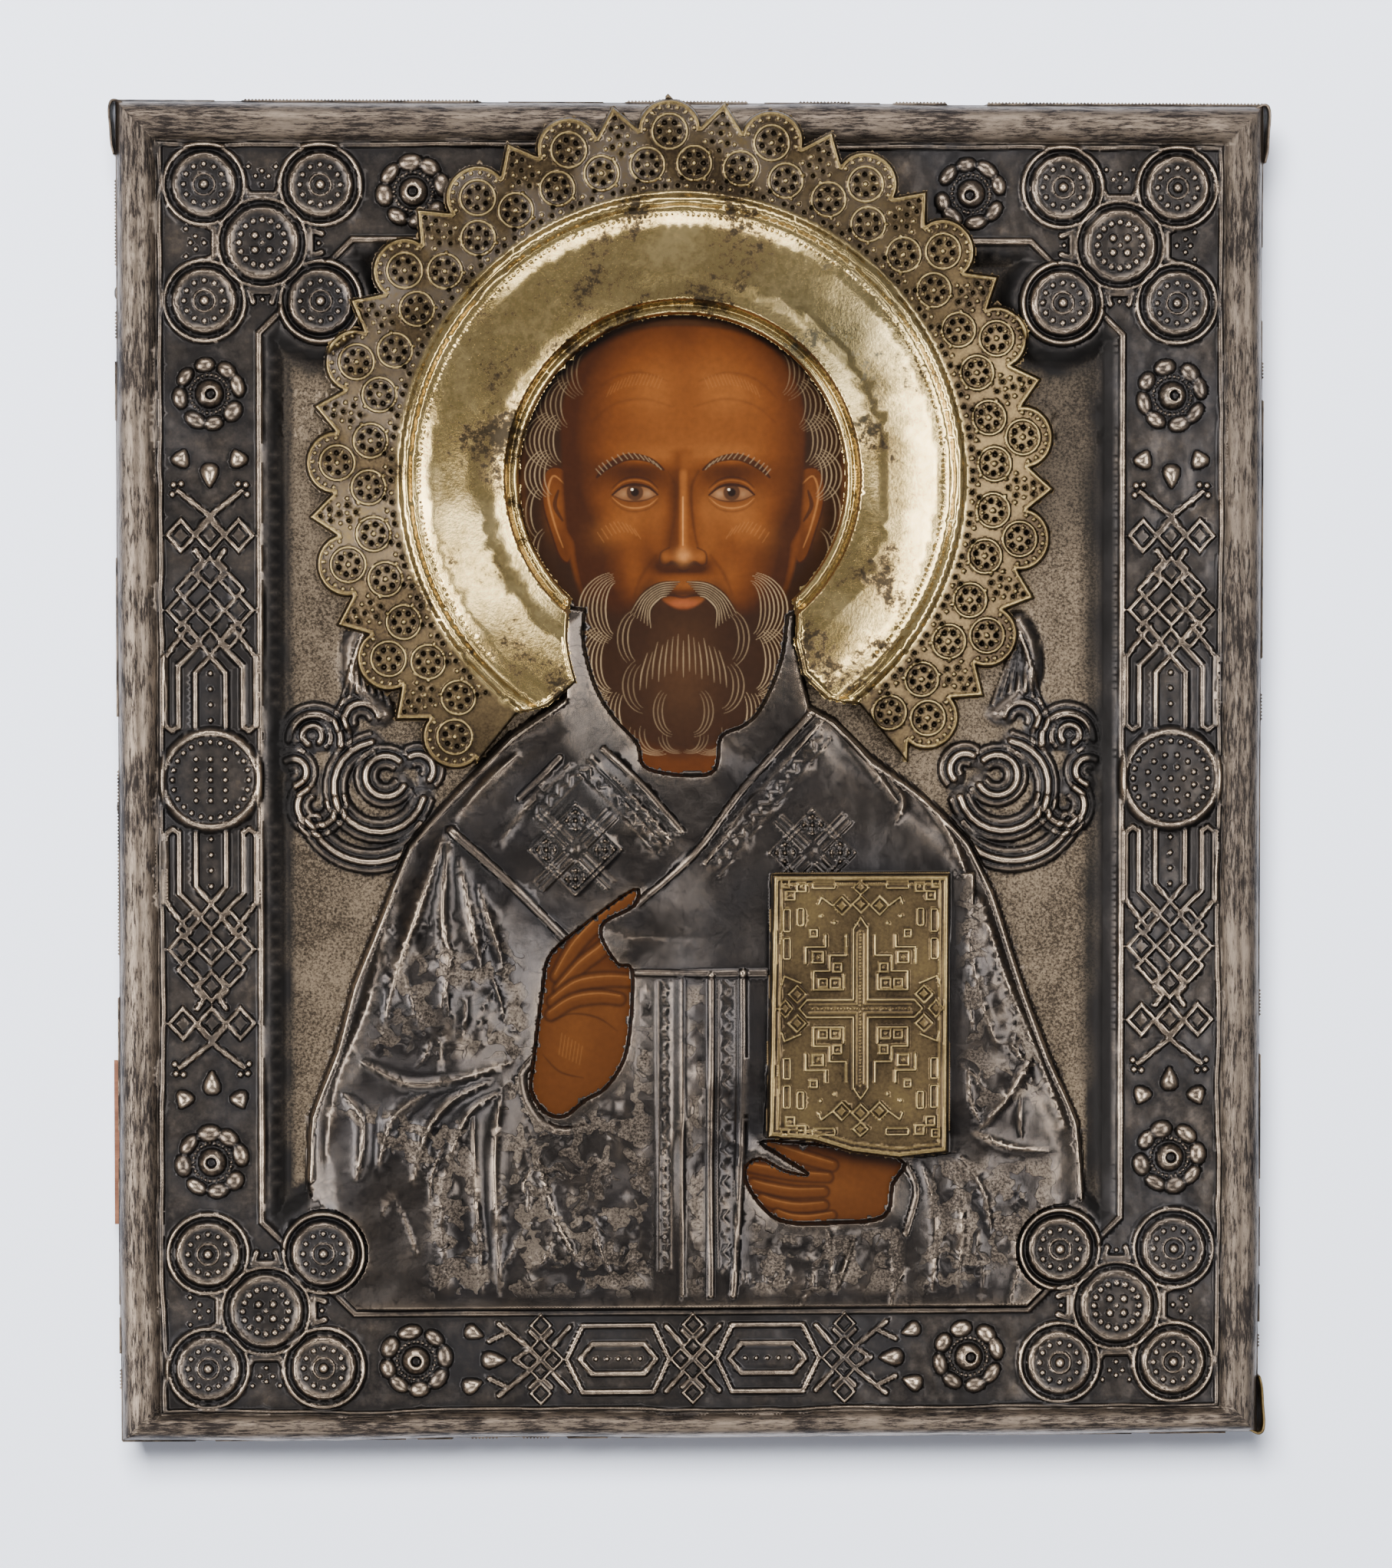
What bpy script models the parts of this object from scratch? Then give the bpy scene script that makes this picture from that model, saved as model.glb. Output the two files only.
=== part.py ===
"""An icon panel, lying face up: a wooden board held flat by two tapered slats, under a
chased silver cover with a gilt halo and a gilt book plate.

Sizes are in millimetres until the meshes are made. The panel lies in the XY plane with its
top towards +Y, and the slats rest on the plane z = 0.
"""

import math

import bmesh
import bpy
import numpy as np
from mathutils import Vector
from mathutils.geometry import delaunay_2d_cdt

MM = 0.001

# The panel and its board
PANEL_W = 266.7
PANEL_H = 311.2
BOARD_T = 24.0
RECESS_DEPTH = 2.0
RECESS_SLOPE = 2.4
SLAT_WIDE = 39.0
SLAT_NARROW = 31.0
SLAT_DEPTH = 8.0
SLAT_PROUD = 2.0
SLAT_END_PROUD = 2.6
SLAT_UNDERCUT = 1.6
SLAT_STOP = 22.0
SLAT_FROM_MIDDLE = 87.6
FIT_GAP = 0.3

# The cover: sheet, skirt and frame
SHEET = 0.8
SKIRT_ABOVE_SLATS = 1.0
TAB_LENGTH = 12.0
TAB_STAND_OFF = 1.2
MOULDING_W = 9.0
MOULDING_BOTTOM_W = 6.2
MOULDING_RISE = 2.9
BAND_W = 24.7
BAND_END_W = 21.4
BAND_RISE = 1.3
EDGE_BEAD_W = 1.5
EDGE_BEAD_RISE = 0.8
SLOPE_W = 5.6

# Ornament of the frame
KNOT_ARM = 13.4
KNOT_DISC_R = 6.9
KNOT_MIDDLE_R = 7.9
KNOT_RING_GAP = 2.5
KNOT_DIAGONAL = 5.6
DISC_RISE = 1.9
MEDALLION_R = 11.0
MEDALLION_Y = -1.2
FLOWER_R = 7.3
FLOWER_FROM_KNOT = 34.9
FLOWER_RISE = 1.9
STRAP_W = 1.9
STRAP_RISE = 1.0

# The figure: its height, and its hem's middle. Its outlines below are in units of a
# two hundredth of that height.
FIGURE_H = 200.0
FIGURE_X = 0.0
FIGURE_Y = 0.0
ROBE_RISE = 4.6
ROBE_EDGE = 6.0
ROBE_CROWN = 1.4
CLOUD_RISE = 1.9
CLOUD_W = 2.2

# The halo
HALO_X = -2.5
HALO_Y = 68.8
HALO_INNER_R = 38.3
HALO_BEAD_R = 64.0
LOBE_TURN = -2.2
LOBE_PITCH = 17.05
LOBE_R = 7.2
LOBE_CENTRE_R = 80.1
TIP_REACH = 6.9
HALO_LIP_RISE = 5.6
HALO_BAND_RISE = 10.4
HALO_BEAD_RISE = 9.6
HALO_RIM_TOP_RISE = 8.6
HALO_RIM_SIDE_RISE = 2.1
FACE_OPENING_MARGIN = 3.2

# The book plate
BOOK_RISE = 7.4
BOOK_PLATE_T = 1.0
BOOK_RELIEF = 0.7
BOOK_PAGES_W = 6.0
BOOK_PAGES_DROP = 3.0
BOOK_BORDER_W = 1.6
BOOK_BEVEL_W = 0.8
BOOK_DIAMOND_R = 1.9

# The nails through the skirt
NAIL_HEAD_R = 1.5
NAIL_HEAD_RISE = 0.8
NAIL_SHANK_R = 0.7
NAIL_LENGTH = 9.0
NAIL_SIDE_Y = (-112.0, -8.0, 112.0)
NAIL_END_X = (-70.0, 70.0)

# Levels and places that follow from them
HALF_W = PANEL_W / 2
HALF_H = PANEL_H / 2
BOARD_BACK = SLAT_PROUD
BOARD_FRONT = BOARD_BACK + BOARD_T
FIELD_BOARD = BOARD_FRONT - RECESS_DEPTH
FIELD_UNDER = FIELD_BOARD + FIT_GAP
FIELD_TOP = FIELD_UNDER + SHEET
BAND_UNDER = BOARD_FRONT + FIT_GAP
BAND_TOP = BAND_UNDER + SHEET + BAND_RISE
SLAT_TOP = BOARD_BACK + SLAT_DEPTH
SKIRT_FOOT = SLAT_TOP + SKIRT_ABOVE_SLATS
BOARD_HALF_W = HALF_W - SHEET - FIT_GAP
BOARD_HALF_H = HALF_H - SHEET - FIT_GAP
FIELD_X = HALF_W - MOULDING_W - BAND_W
FIELD_Y = HALF_H - MOULDING_W - BAND_END_W
BAND_MID_X = FIELD_X + BAND_W / 2
BAND_MID_Y = FIELD_Y + BAND_END_W / 2 + 1.2
DIAGONAL_SUM = FIELD_X + FIELD_Y - 2 * KNOT_ARM + KNOT_DIAGONAL
KNOT_BITE_R = KNOT_DISC_R + KNOT_RING_GAP + 0.9
BOOK_TOP = FIELD_TOP + BOOK_RISE

HALO_TIP_R = LOBE_CENTRE_R + TIP_REACH
HALO_BAND_W = HALO_BEAD_R - HALO_INNER_R
FIGURE_UNIT = FIGURE_H / 200

# Where the halo ends: a share of its band's width from the lip, then the angles from its top
# on the right and on the left. The last pair holds out to its points.
HALO_ENDS = [
    (0.0, 137, 137), (0.304, 145.5, 144), (0.584, 148.5, 152), (0.895, 146.5, 149), (1.113, 141.6, 144.5),
    (1.895, 141.2, 143.7),
]

# Outlines of the figure, in its units, from the middle of the panel
ROBE_LEFT = [
    (-86, -140), (-90.7, -95), (-90, -80), (-84, -64), (-80, -49), (-75.6, -38), (-70.9, -26),
    (-67, -16.6), (-61.6, -10), (-53, -0.8), (-42.8, 9.5), (-30.6, 18), (-30.2, 30), (-31, 42),
]
ROBE_RIGHT = [
    (24, 42), (24.4, 30), (27.9, 16), (33.5, 13), (42, 4.6), (52.4, -3), (60, -9.7), (65.6, -16),
    (71.3, -27.5), (75, -38.8), (79, -51), (85, -67), (91.5, -82), (93, -100), (90, -140),
]
BEARD = [
    (-25, 38.4), (-25.4, 31), (-22.7, 20.6), (-18.4, 13.2), (-12.9, 7.1), (-10.2, 1), (4.3, 0),
    (6.7, 8.4), (11.9, 11.1), (15.4, 14.2), (18.7, 20.5), (21.2, 28), (22.2, 36.8),
]
BLESSING_HAND = [
    (-13.8, -27.2), (-27.8, -37.4), (-33.5, -43), (-35, -50.4), (-37.3, -69), (-37.6, -74.5),
    (-34.4, -79.3), (-30, -80.3), (-25, -76.5), (-20.3, -73.7), (-16, -67), (-14.4, -57.7),
    (-14.2, -46), (-17.5, -44.6), (-21.3, -38.3), (-20.3, -34.6), (-13.7, -31),
]
HOLDING_HAND = [
    (17.8, -86.4), (48, -90.4), (47, -97), (45, -104.4), (33, -105.7), (20.6, -105.1),
    (13.9, -98.4), (12.5, -92.8), (16, -90.6), (22, -93.6), (27.3, -94.3), (20.6, -89.8),
]
BOOK_PLATE = [
    (18.5, -23.5), (17.4, -84.6), (28, -85.4), (37, -88.2), (48, -89.6), (59.3, -88.3), (59.6, -23.5),
]
# Ridges of the dress: how high and how wide each one is, then where it runs
FOLDS = [
    (1.3, 1.6, [(28.5, 14.5), (12, -3), (0, -18), (-13.5, -31)]),
    (1.1, 1.5, [(-21, 7.5), (-12, -2.5), (-3.2, -12)]),
    (1.2, 1.6, [(-57, -11), (-42, -26), (-30.5, -37)]),
    (0.9, 1.4, [(-41, -4.5), (-31.5, 6)]),
    (0.9, 1.3, [(4.2, -47), (4.2, -117)]),
    (0.9, 1.3, [(11.5, -46), (11.5, -88), (9.6, -117)]),
    (1.4, 2.6, [(-70.8, -38), (-75.3, -58), (-83, -74), (-86, -92)]),
    (1.3, 2.4, [(-62, -21), (-64, -36), (-60, -50)]),
    (1.2, 2.2, [(-57.5, -22), (-54.4, -42)]),
    (1.3, 2.2, [(-77, -68), (-66, -74), (-54, -71), (-41, -67)]),
    (1.3, 2.2, [(-69, -78), (-76, -92)]),
    (1.3, 2.2, [(-60, -78), (-66, -94)]),
    (1.1, 1.8, [(-51.5, -76), (-50, -117)]),
    (1.0, 1.8, [(-37, -88), (-25.6, -116)]),
    (1.3, 2.4, [(72, -47), (79, -60), (88, -82)]),
    (1.2, 2.0, [(79, -62), (66, -83)]),
    (1.2, 2.2, [(69, -85), (81, -88)]),
    (1.2, 1.8, [(51.5, -92), (55.6, -117)]),
    (1.1, 1.8, [(60, -93), (61, -117)]),
    (1.0, 1.8, [(38, -109), (32, -117)]),
    (1.3, 2.2, [(40, 2), (46, -5), (50.5, -14)]),
    (1.2, 2.0, [(-43, -6), (-50, -15)]),
]
# Scrolls of the clouds beside the shoulders: centre, radius, first and last angle
SCROLLS = [
    (70.0, -2.0, 6.0, -150, 110),
    (71.5, -4.0, 12.0, -170, 95),
    (86.5, -8.0, 5.0, -170, 60),
    (87.0, 8.0, 7.0, 15, 170),
    (76.0, 12.5, 5.0, -10, 150),
]
# One end of the strapwork on a side band: across it, and out from the medallion
STRAP_ARCH = [(3.5, 13.6), (3.5, 25.6), (0, 30)]
STRAP_RAIL = [(7.5, 13.2), (7.5, 28), (0, 36), (-6.8, 44), (0, 52), (6.8, 60)]
STRAP_ARM = [(0, 62), (7.8, 68.6)]
STRAP_DIAMONDS = [(6.7, 41), (0, 41), (6.7, 58)]
DIAMOND_ACROSS = 2.9
DIAMOND_ALONG = 3.9
STRAP_LEAVES = [(0, 71.6, 2.5), (6.4, 75.4, 2.5)]
# The bottom band's strapwork: across it, and out from the middle
END_HEXAGON = [(0, 6.5), (-8, 10), (-8, 25.5), (0, 29), (8, 25.5), (8, 10), (0, 6.5)]
END_INNER_HEXAGON = [(0, 9.5), (-3.6, 12.5), (-3.6, 23), (0, 26), (3.6, 23), (3.6, 12.5), (0, 9.5)]
END_DIAMONDS = [(8, 0), (-8, 0), (0, 0), (8, 35.8), (-8, 35.8), (0, 35.8)]
END_ARM = [(0, 40.5), (7.5, 46)]
END_LEAVES = [(0, 51.5, 2.4), (7, 54.5, 2.2)]


def in_figure_units(points):
    """Places a list of points given in the figure's units."""
    return [(FIGURE_X + x * FIGURE_UNIT, FIGURE_Y + y * FIGURE_UNIT) for x, y in points]


def smooth(t):
    """A soft step from 0 to 1."""
    t = np.clip(t, 0.0, 1.0)
    return t * t * (3 - 2 * t)


def circle(x, y, radius, count, turn=0.0):
    """Points of a circle, anticlockwise."""
    angles = [turn + 2 * math.pi * i / count for i in range(count)]
    return [(x + radius * math.cos(a), y + radius * math.sin(a)) for a in angles]


def inside_polygon(x, y, polygon):
    """Whether each point lies inside a polygon."""
    inside = np.zeros(np.shape(x), bool)
    for (x0, y0), (x1, y1) in zip(polygon, polygon[1:] + polygon[:1]):
        if y0 == y1:
            continue
        crosses = ((y0 > y) != (y1 > y)) & (x < (x1 - x0) * (y - y0) / (y1 - y0) + x0)
        inside ^= crosses
    return inside


def line_distance(x, y, points):
    """Distance from each point to a chain of straight lines."""
    best = np.full(np.shape(x), 1e9)
    for (x0, y0), (x1, y1) in zip(points[:-1], points[1:]):
        dx, dy = x1 - x0, y1 - y0
        share = np.clip(((x - x0) * dx + (y - y0) * dy) / (dx * dx + dy * dy), 0, 1)
        best = np.minimum(best, np.hypot(x - x0 - share * dx, y - y0 - share * dy))
    return best


def polygon_depth(x, y, polygon):
    """How deep each point lies inside a polygon, negative outside."""
    distance = line_distance(x, y, polygon + polygon[:1])
    return np.where(inside_polygon(x, y, polygon), distance, -distance)


# The frame's layout

def knot_centres():
    """Middles of the four corner knots."""
    return [(sx * FIELD_X, sy * FIELD_Y) for sx in (-1, 1) for sy in (-1, 1)]


def knot_discs():
    """Centre and radius of each disc in the four corner knots."""
    discs = []
    for x, y in knot_centres():
        discs.append((x, y, KNOT_MIDDLE_R))
        for sx in (-1, 1):
            for sy in (-1, 1):
                discs.append((x + sx * KNOT_ARM, y + sy * KNOT_ARM, KNOT_DISC_R))
    return discs


def medallions():
    """Centres of the medallions halfway up the sides."""
    return [(side * BAND_MID_X, MEDALLION_Y) for side in (-1, 1)]


def flowers():
    """Centres of the flowers next to the corner knots."""
    beside = [(sx * BAND_MID_X, sy * (FIELD_Y - FLOWER_FROM_KNOT)) for sx in (-1, 1) for sy in (-1, 1)]
    above = [(sx * (FIELD_X - FLOWER_FROM_KNOT), sy * BAND_MID_Y) for sx in (-1, 1) for sy in (-1, 1)]
    return beside + above


def side_places(points):
    """Places strapwork points at the four half lengths of the side bands, both ways across."""
    placed = []
    for side in (-1, 1):
        for end in (-1, 1):
            for mirror in (-1, 1):
                placed.append([
                    (side * BAND_MID_X + mirror * across, MEDALLION_Y + end * along)
                    for across, along in points
                ])
    return placed


def bottom_places(points):
    """Places strapwork points on both halves of the bottom band."""
    return [[(side * along, -BAND_MID_Y + across) for across, along in points] for side in (-1, 1)]


def without_repeats(chains):
    """Drops chains that cover the same points, as a mirrored middle line does."""
    kept = {}
    for chain in chains:
        key = frozenset((round(x, 3), round(y, 3)) for x, y in chain)
        kept.setdefault(key, chain)
    return list(kept.values())


def strap_chains():
    """Centre lines of all the raised straps."""
    chains = []
    for points in (STRAP_ARCH, STRAP_RAIL, STRAP_ARM):
        chains += side_places(points)
    for points in (END_HEXAGON, END_INNER_HEXAGON, END_ARM, [(-a, b) for a, b in END_ARM]):
        chains += bottom_places(points)
    return without_repeats(chains)


def diamonds():
    """Centres and half diagonals of the pierced diamonds."""
    sides = without_repeats(side_places(STRAP_DIAMONDS[i:i + 1])[j] for i in range(3) for j in range(8))
    ends = without_repeats(bottom_places(END_DIAMONDS[i:i + 1])[j] for i in range(6) for j in range(2))
    found = [(chain[0], DIAMOND_ACROSS, DIAMOND_ALONG) for chain in sides]
    return found + [(chain[0], DIAMOND_ALONG * 0.9, DIAMOND_ACROSS) for chain in ends]


def leaves():
    """Centres and radii of the leaf bosses at the ends of the strapwork."""
    found = {}
    for across, along, radius in STRAP_LEAVES:
        for chain in side_places([(across, along)]):
            found[tuple(round(c, 3) for c in chain[0])] = radius
    for across, along, radius in END_LEAVES + [(-a, b, r) for a, b, r in END_LEAVES[1:]]:
        for chain in bottom_places([(across, along)]):
            found[tuple(round(c, 3) for c in chain[0])] = radius
    return [(x, y, radius) for (x, y), radius in found.items()]


def bite_centres():
    """The knot discs that stand in the field's corners."""
    return [(math.copysign(abs(x) - KNOT_ARM, x), math.copysign(abs(y) - KNOT_ARM, y)) for x, y in knot_centres()]


def field_depth(x, y):
    """How far each point lies inside the field, negative on the frame."""
    depth = np.minimum(FIELD_X - np.abs(x), FIELD_Y - np.abs(y))
    depth = np.minimum(depth, (DIAGONAL_SUM - np.abs(x) - np.abs(y)) / math.sqrt(2))
    for cx, cy in bite_centres():
        depth = np.minimum(depth, np.hypot(x - cx, y - cy) - KNOT_BITE_R)
    return depth


def field_loop(depth):
    """The closed line where field_depth has one value: straight sides, and an arc round each bite."""
    side_x, side_y = FIELD_X - depth, FIELD_Y - depth
    diagonal = DIAGONAL_SUM - depth * math.sqrt(2)
    cx, cy = FIELD_X - KNOT_ARM, FIELD_Y - KNOT_ARM
    radius = KNOT_BITE_R + depth
    reach = (diagonal - cx - cy) / math.sqrt(2)
    spread = math.acos(max(-0.999, min(0.999, reach / radius)))
    corner = [(side_x, diagonal - side_x)]
    for i in range(9):
        angle = math.pi / 4 - spread - (2 * math.pi - 2 * spread) * i / 8
        corner.append((cx + radius * math.cos(angle), cy + radius * math.sin(angle)))
    corner.append((diagonal - side_y, side_y))
    corner = [(x, y) for x, y in corner if x <= side_x + 1e-6 and y <= side_y + 1e-6]
    loop = []
    for sx, sy in ((1, 1), (-1, 1), (-1, -1), (1, -1)):
        turned = [(sx * x, sy * y) for x, y in corner]
        loop += turned if sx * sy > 0 else turned[::-1]
    return loop


def moulding_share(x, y):
    """0 at the panel's edge and 1 at the moulding's inner side."""
    bottom = (HALF_H + y) / MOULDING_BOTTOM_W
    top = (HALF_H - y) / MOULDING_W
    return np.minimum(np.minimum(bottom, top), (HALF_W - np.abs(x)) / MOULDING_W)


def moulding_loop(share):
    """The rectangle where moulding_share has one value."""
    x, top, bottom = HALF_W - MOULDING_W * share, HALF_H - MOULDING_W * share, HALF_H - MOULDING_BOTTOM_W * share
    return [(x, -bottom), (x, top), (-x, top), (-x, -bottom)]


# Heights of the cover's face

def stepped(distance, steps):
    """Height read from pairs of distance and height."""
    return np.interp(distance, [d for d, _ in steps], [h for _, h in steps])


def disc_steps(radius):
    """Profile of a knot disc, from its middle outwards."""
    return [
        (0, DISC_RISE + 0.5), (radius * 0.27, 0.8), (radius * 0.66, 0.8),
        (radius, DISC_RISE), (radius + 1.2, 0), (radius + KNOT_RING_GAP, 0.9), (radius + KNOT_RING_GAP + 0.9, 0),
    ]


def medallion_steps():
    """Profile of a medallion, from its middle outwards."""
    return [(0, 1.5), (MEDALLION_R * 0.84, 1.2), (MEDALLION_R, 2.3), (MEDALLION_R + 1.6, 0)]


def flower_height(x, y):
    """Eight petals round a boss."""
    distance = np.hypot(x, y)
    petal = 0.5 + 0.5 * np.cos(8 * np.arctan2(y, x))
    ring = FLOWER_RISE * np.clip(1 - np.abs(distance - FLOWER_R * 0.76) / (FLOWER_R * 0.36), 0, 1)
    boss = (FLOWER_RISE + 0.9) * np.clip(1 - distance / (FLOWER_R * 0.42), 0, 1)
    return np.maximum(ring * (0.45 + 0.55 * petal), boss)


def scroll_lines():
    """Centre lines of the cloud scrolls, on both sides."""
    lines = []
    for side in (-1, 1):
        for x, y, radius, first, last in SCROLLS:
            angles = [math.radians(first + (last - first) * i / 7) for i in range(8)]
            line = [(side * (x + radius * math.cos(a)), y + radius * math.sin(a)) for a in angles]
            lines.append(in_figure_units(line))
    return lines


def robe_outline():
    return in_figure_units(ROBE_LEFT + ROBE_RIGHT)


def halo_place(radius, angle):
    """A point of the halo by its radius and its angle from the top, clockwise, in degrees."""
    turned = math.radians(angle)
    return HALO_X + radius * math.sin(turned), HALO_Y + radius * math.cos(turned)


def face_opening():
    """A round opening under the halo's lip, running down into the beard's outline."""
    radius = HALO_INNER_R + FACE_OPENING_MARGIN
    arc = [halo_place(radius, angle) for angle in np.linspace(136, -136, 25)]
    return in_figure_units(BEARD) + arc


def openings():
    return [face_opening(), in_figure_units(BLESSING_HAND), in_figure_units(HOLDING_HAND)]


def figure_height(x, y):
    """Height of the dressed figure and the clouds above the field."""
    depth = polygon_depth(x, y, robe_outline())
    cloud = np.zeros(np.shape(x))
    for line in scroll_lines():
        cloud = np.maximum(cloud, CLOUD_RISE * np.clip(1 - line_distance(x, y, line) / CLOUD_W, 0, 1))
    robe = ROBE_RISE * smooth(depth / ROBE_EDGE) + ROBE_CROWN * smooth(depth / (FIGURE_H * 0.21))
    folds = np.zeros(np.shape(x))
    for rise, width, line in FOLDS:
        away = line_distance(x, y, in_figure_units(line)) / (width * FIGURE_UNIT)
        folds = np.maximum(folds, rise * FIGURE_UNIT * np.clip(1 - away, 0, 1))
    robe = np.where(depth > 0, robe + folds, cloud)
    pages = in_figure_units(BOOK_PLATE)
    book = polygon_depth(x, y, pages)
    middle = (min(px for px, _ in pages) + max(px for px, _ in pages)) / 2
    page_edge = polygon_depth(x, y, [(px + BOOK_PAGES_W * (px > middle), py) for px, py in pages])
    robe = np.maximum(robe, (BOOK_RISE - BOOK_PAGES_DROP) * np.clip((page_edge + 1.2) / 1.2, 0, 1))
    robe = np.maximum(robe, BOOK_RISE - 1.0 * np.clip(-book - 0.6, 0, None) * 3.2)
    for opening, slope in zip(openings(), (1.05, 2.4, 2.4)):
        outside = -polygon_depth(x, y, opening)
        robe = np.minimum(robe, np.clip(outside - 0.5, 0, None) * slope)
    return robe


def frame_height(x, y):
    """Height of the frame's face, ornament included."""
    share = moulding_share(x, y)
    z = BAND_TOP + MOULDING_RISE * np.sin(np.pi * np.clip(share, 0, 1)) - 0.9 * np.clip(1 - share / 0.12, 0, 1)
    inward = (share - 1) * MOULDING_W
    z = z + EDGE_BEAD_RISE * np.clip(1 - np.abs(inward - EDGE_BEAD_W / 2) / (EDGE_BEAD_W / 2), 0, 1)
    band = np.clip(inward / 0.5, 0, 1)
    for cx, cy, radius in knot_discs():
        z = np.maximum(z, BAND_TOP + band * stepped(np.hypot(x - cx, y - cy), disc_steps(radius)))
    for cx, cy in medallions():
        z = np.maximum(z, BAND_TOP + stepped(np.hypot(x - cx, y - cy), medallion_steps()))
    for cx, cy in flowers():
        z = np.maximum(z, BAND_TOP + flower_height(x - cx, y - cy))
    for chain in strap_chains():
        distance = line_distance(x, y, chain)
        z = np.maximum(z, BAND_TOP + STRAP_RISE * np.clip(1.35 - 1.35 * distance / (STRAP_W / 2), 0, 1))
    for (cx, cy), across, along in diamonds():
        ring = np.abs(x - cx) / across + np.abs(y - cy) / along
        z = np.maximum(z, BAND_TOP + STRAP_RISE * stepped(ring, [(0, 0.15), (0.6, 1), (1.0, 0)]))
    for cx, cy, radius in leaves():
        z = np.maximum(z, BAND_TOP + 1.7 * np.clip(1 - np.hypot(x - cx, y - cy) / radius, 0, 1))
    bead = 1.0 - np.abs(field_depth(x, y) + 0.9) / 0.9
    return z + EDGE_BEAD_RISE * np.clip(bead, 0, 1)


def cover_height(x, y):
    """Top of the cover at each point."""
    x, y = np.asarray(x, float), np.asarray(y, float)
    depth = field_depth(x, y)
    field = FIELD_TOP + figure_height(x, y)
    slope = BAND_TOP - (BAND_TOP - FIELD_TOP) * np.clip(depth / SLOPE_W, 0, 1)
    return np.where(depth > 0, np.maximum(slope, field), frame_height(x, y))


def under_height(x, y):
    """Underside of the cover, which follows the board."""
    depth = field_depth(np.asarray(x, float), np.asarray(y, float))
    return BAND_UNDER - RECESS_DEPTH * np.clip(depth / RECESS_SLOPE, 0, 1)


def board_height(x, y):
    """Front of the board: a margin, and a field that lies a little lower."""
    depth = field_depth(np.asarray(x, float), np.asarray(y, float))
    return BOARD_FRONT - RECESS_DEPTH * np.clip(1 + depth / RECESS_SLOPE, 0, 1)


# Lines that a triangulation follows, so that edges stay crisp

def both_sides(chain, offset):
    """The two lines beside a chain of points, and so the feet of a ridge along it."""
    left, right = [], []
    for i, (x, y) in enumerate(chain):
        before, after = chain[max(i - 1, 0)], chain[min(i + 1, len(chain) - 1)]
        if chain[0] == chain[-1] and i in (0, len(chain) - 1):
            before, after = chain[-2], chain[1]
        away = Vector((after[1] - before[1], before[0] - after[0])).normalized() * offset
        left.append((x + away.x, y + away.y))
        right.append((x - away.x, y - away.y))
    return [left, right]


def ring_loops(x, y, steps, count):
    """Circles where a turned profile changes slope."""
    loops = []
    for i, (radius, _) in enumerate(steps):
        if radius > 0:
            points = count if radius > steps[-1][0] * 0.4 else max(6, count // 2)
            loops.append(circle(x, y, radius, points, math.pi / count * (i % 2)))
    return loops


def frame_lines():
    """Closed loops, open lines and single points of the frame's ornament."""
    bead = EDGE_BEAD_W / MOULDING_W
    loops = [moulding_loop(s) for s in (0.12, 0.3, 0.5, 0.7, 1.0, 1 + bead / 2, 1 + bead)]
    loops += [field_loop(depth) for depth in (-1.8, -0.9, 0.0, SLOPE_W)]
    points, lines = [], []
    for x, y, radius in knot_discs():
        loops += ring_loops(x, y, disc_steps(radius)[:5], 10)
        points.append((x, y))
    for x, y in medallions():
        loops += ring_loops(x, y, medallion_steps(), 16)
        points.append((x, y))
    for x, y in flowers():
        loops.append(circle(x, y, FLOWER_R * 1.12, 8))
        loops.append(circle(x, y, FLOWER_R * 0.76, 16))
        loops.append(circle(x, y, FLOWER_R * 0.42, 8))
        points.append((x, y))
    for chain in strap_chains():
        lines += both_sides(chain, STRAP_W / 2) + both_sides(chain, STRAP_W * 0.13)
    for (x, y), across, along in diamonds():
        for size in (0.6, 1.0):
            loops.append([(x + across * size, y), (x, y + along * size), (x - across * size, y), (x, y - along * size)])
        points.append((x, y))
    for x, y, radius in leaves():
        loops.append(circle(x, y, radius, 6))
        points.append((x, y))
    return loops, lines, points


def figure_lines():
    """Loops and lines of the figure, the book and the clouds."""
    outline = robe_outline()
    loops = [outline]
    lines = []
    for depth in (ROBE_EDGE / 2, ROBE_EDGE):
        left = [(x + depth, y - depth * 0.6) for x, y in in_figure_units(ROBE_LEFT)[1:12]]
        right = [(x - depth, y - depth * 0.6) for x, y in in_figure_units(ROBE_RIGHT)[3:13]]
        lines += [left, right]
    for _, width, line in FOLDS:
        placed = in_figure_units(line)
        lines += [placed] + both_sides(placed, width * FIGURE_UNIT)
    for line in scroll_lines():
        lines += [line] + both_sides(line, CLOUD_W * 0.95)
    plate = in_figure_units(BOOK_PLATE)
    for x_out, grow in ((BOOK_PAGES_W, 1.2), (0, 0.6), (0, 2.9)):
        loops.append(grown(plate, grow, x_out))
    return loops, lines


def grown(polygon, amount, right=0.0):
    """A polygon pushed outwards from its middle's lines, and further on its right side."""
    middle_x = (min(x for x, _ in polygon) + max(x for x, _ in polygon)) / 2
    middle_y = (min(y for _, y in polygon) + max(y for _, y in polygon)) / 2
    return [
        (x + math.copysign(amount, x - middle_x) + (right if x > middle_x else 0), y + math.copysign(amount, y - middle_y))
        for x, y in polygon
    ]


# From plan to solid

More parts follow.
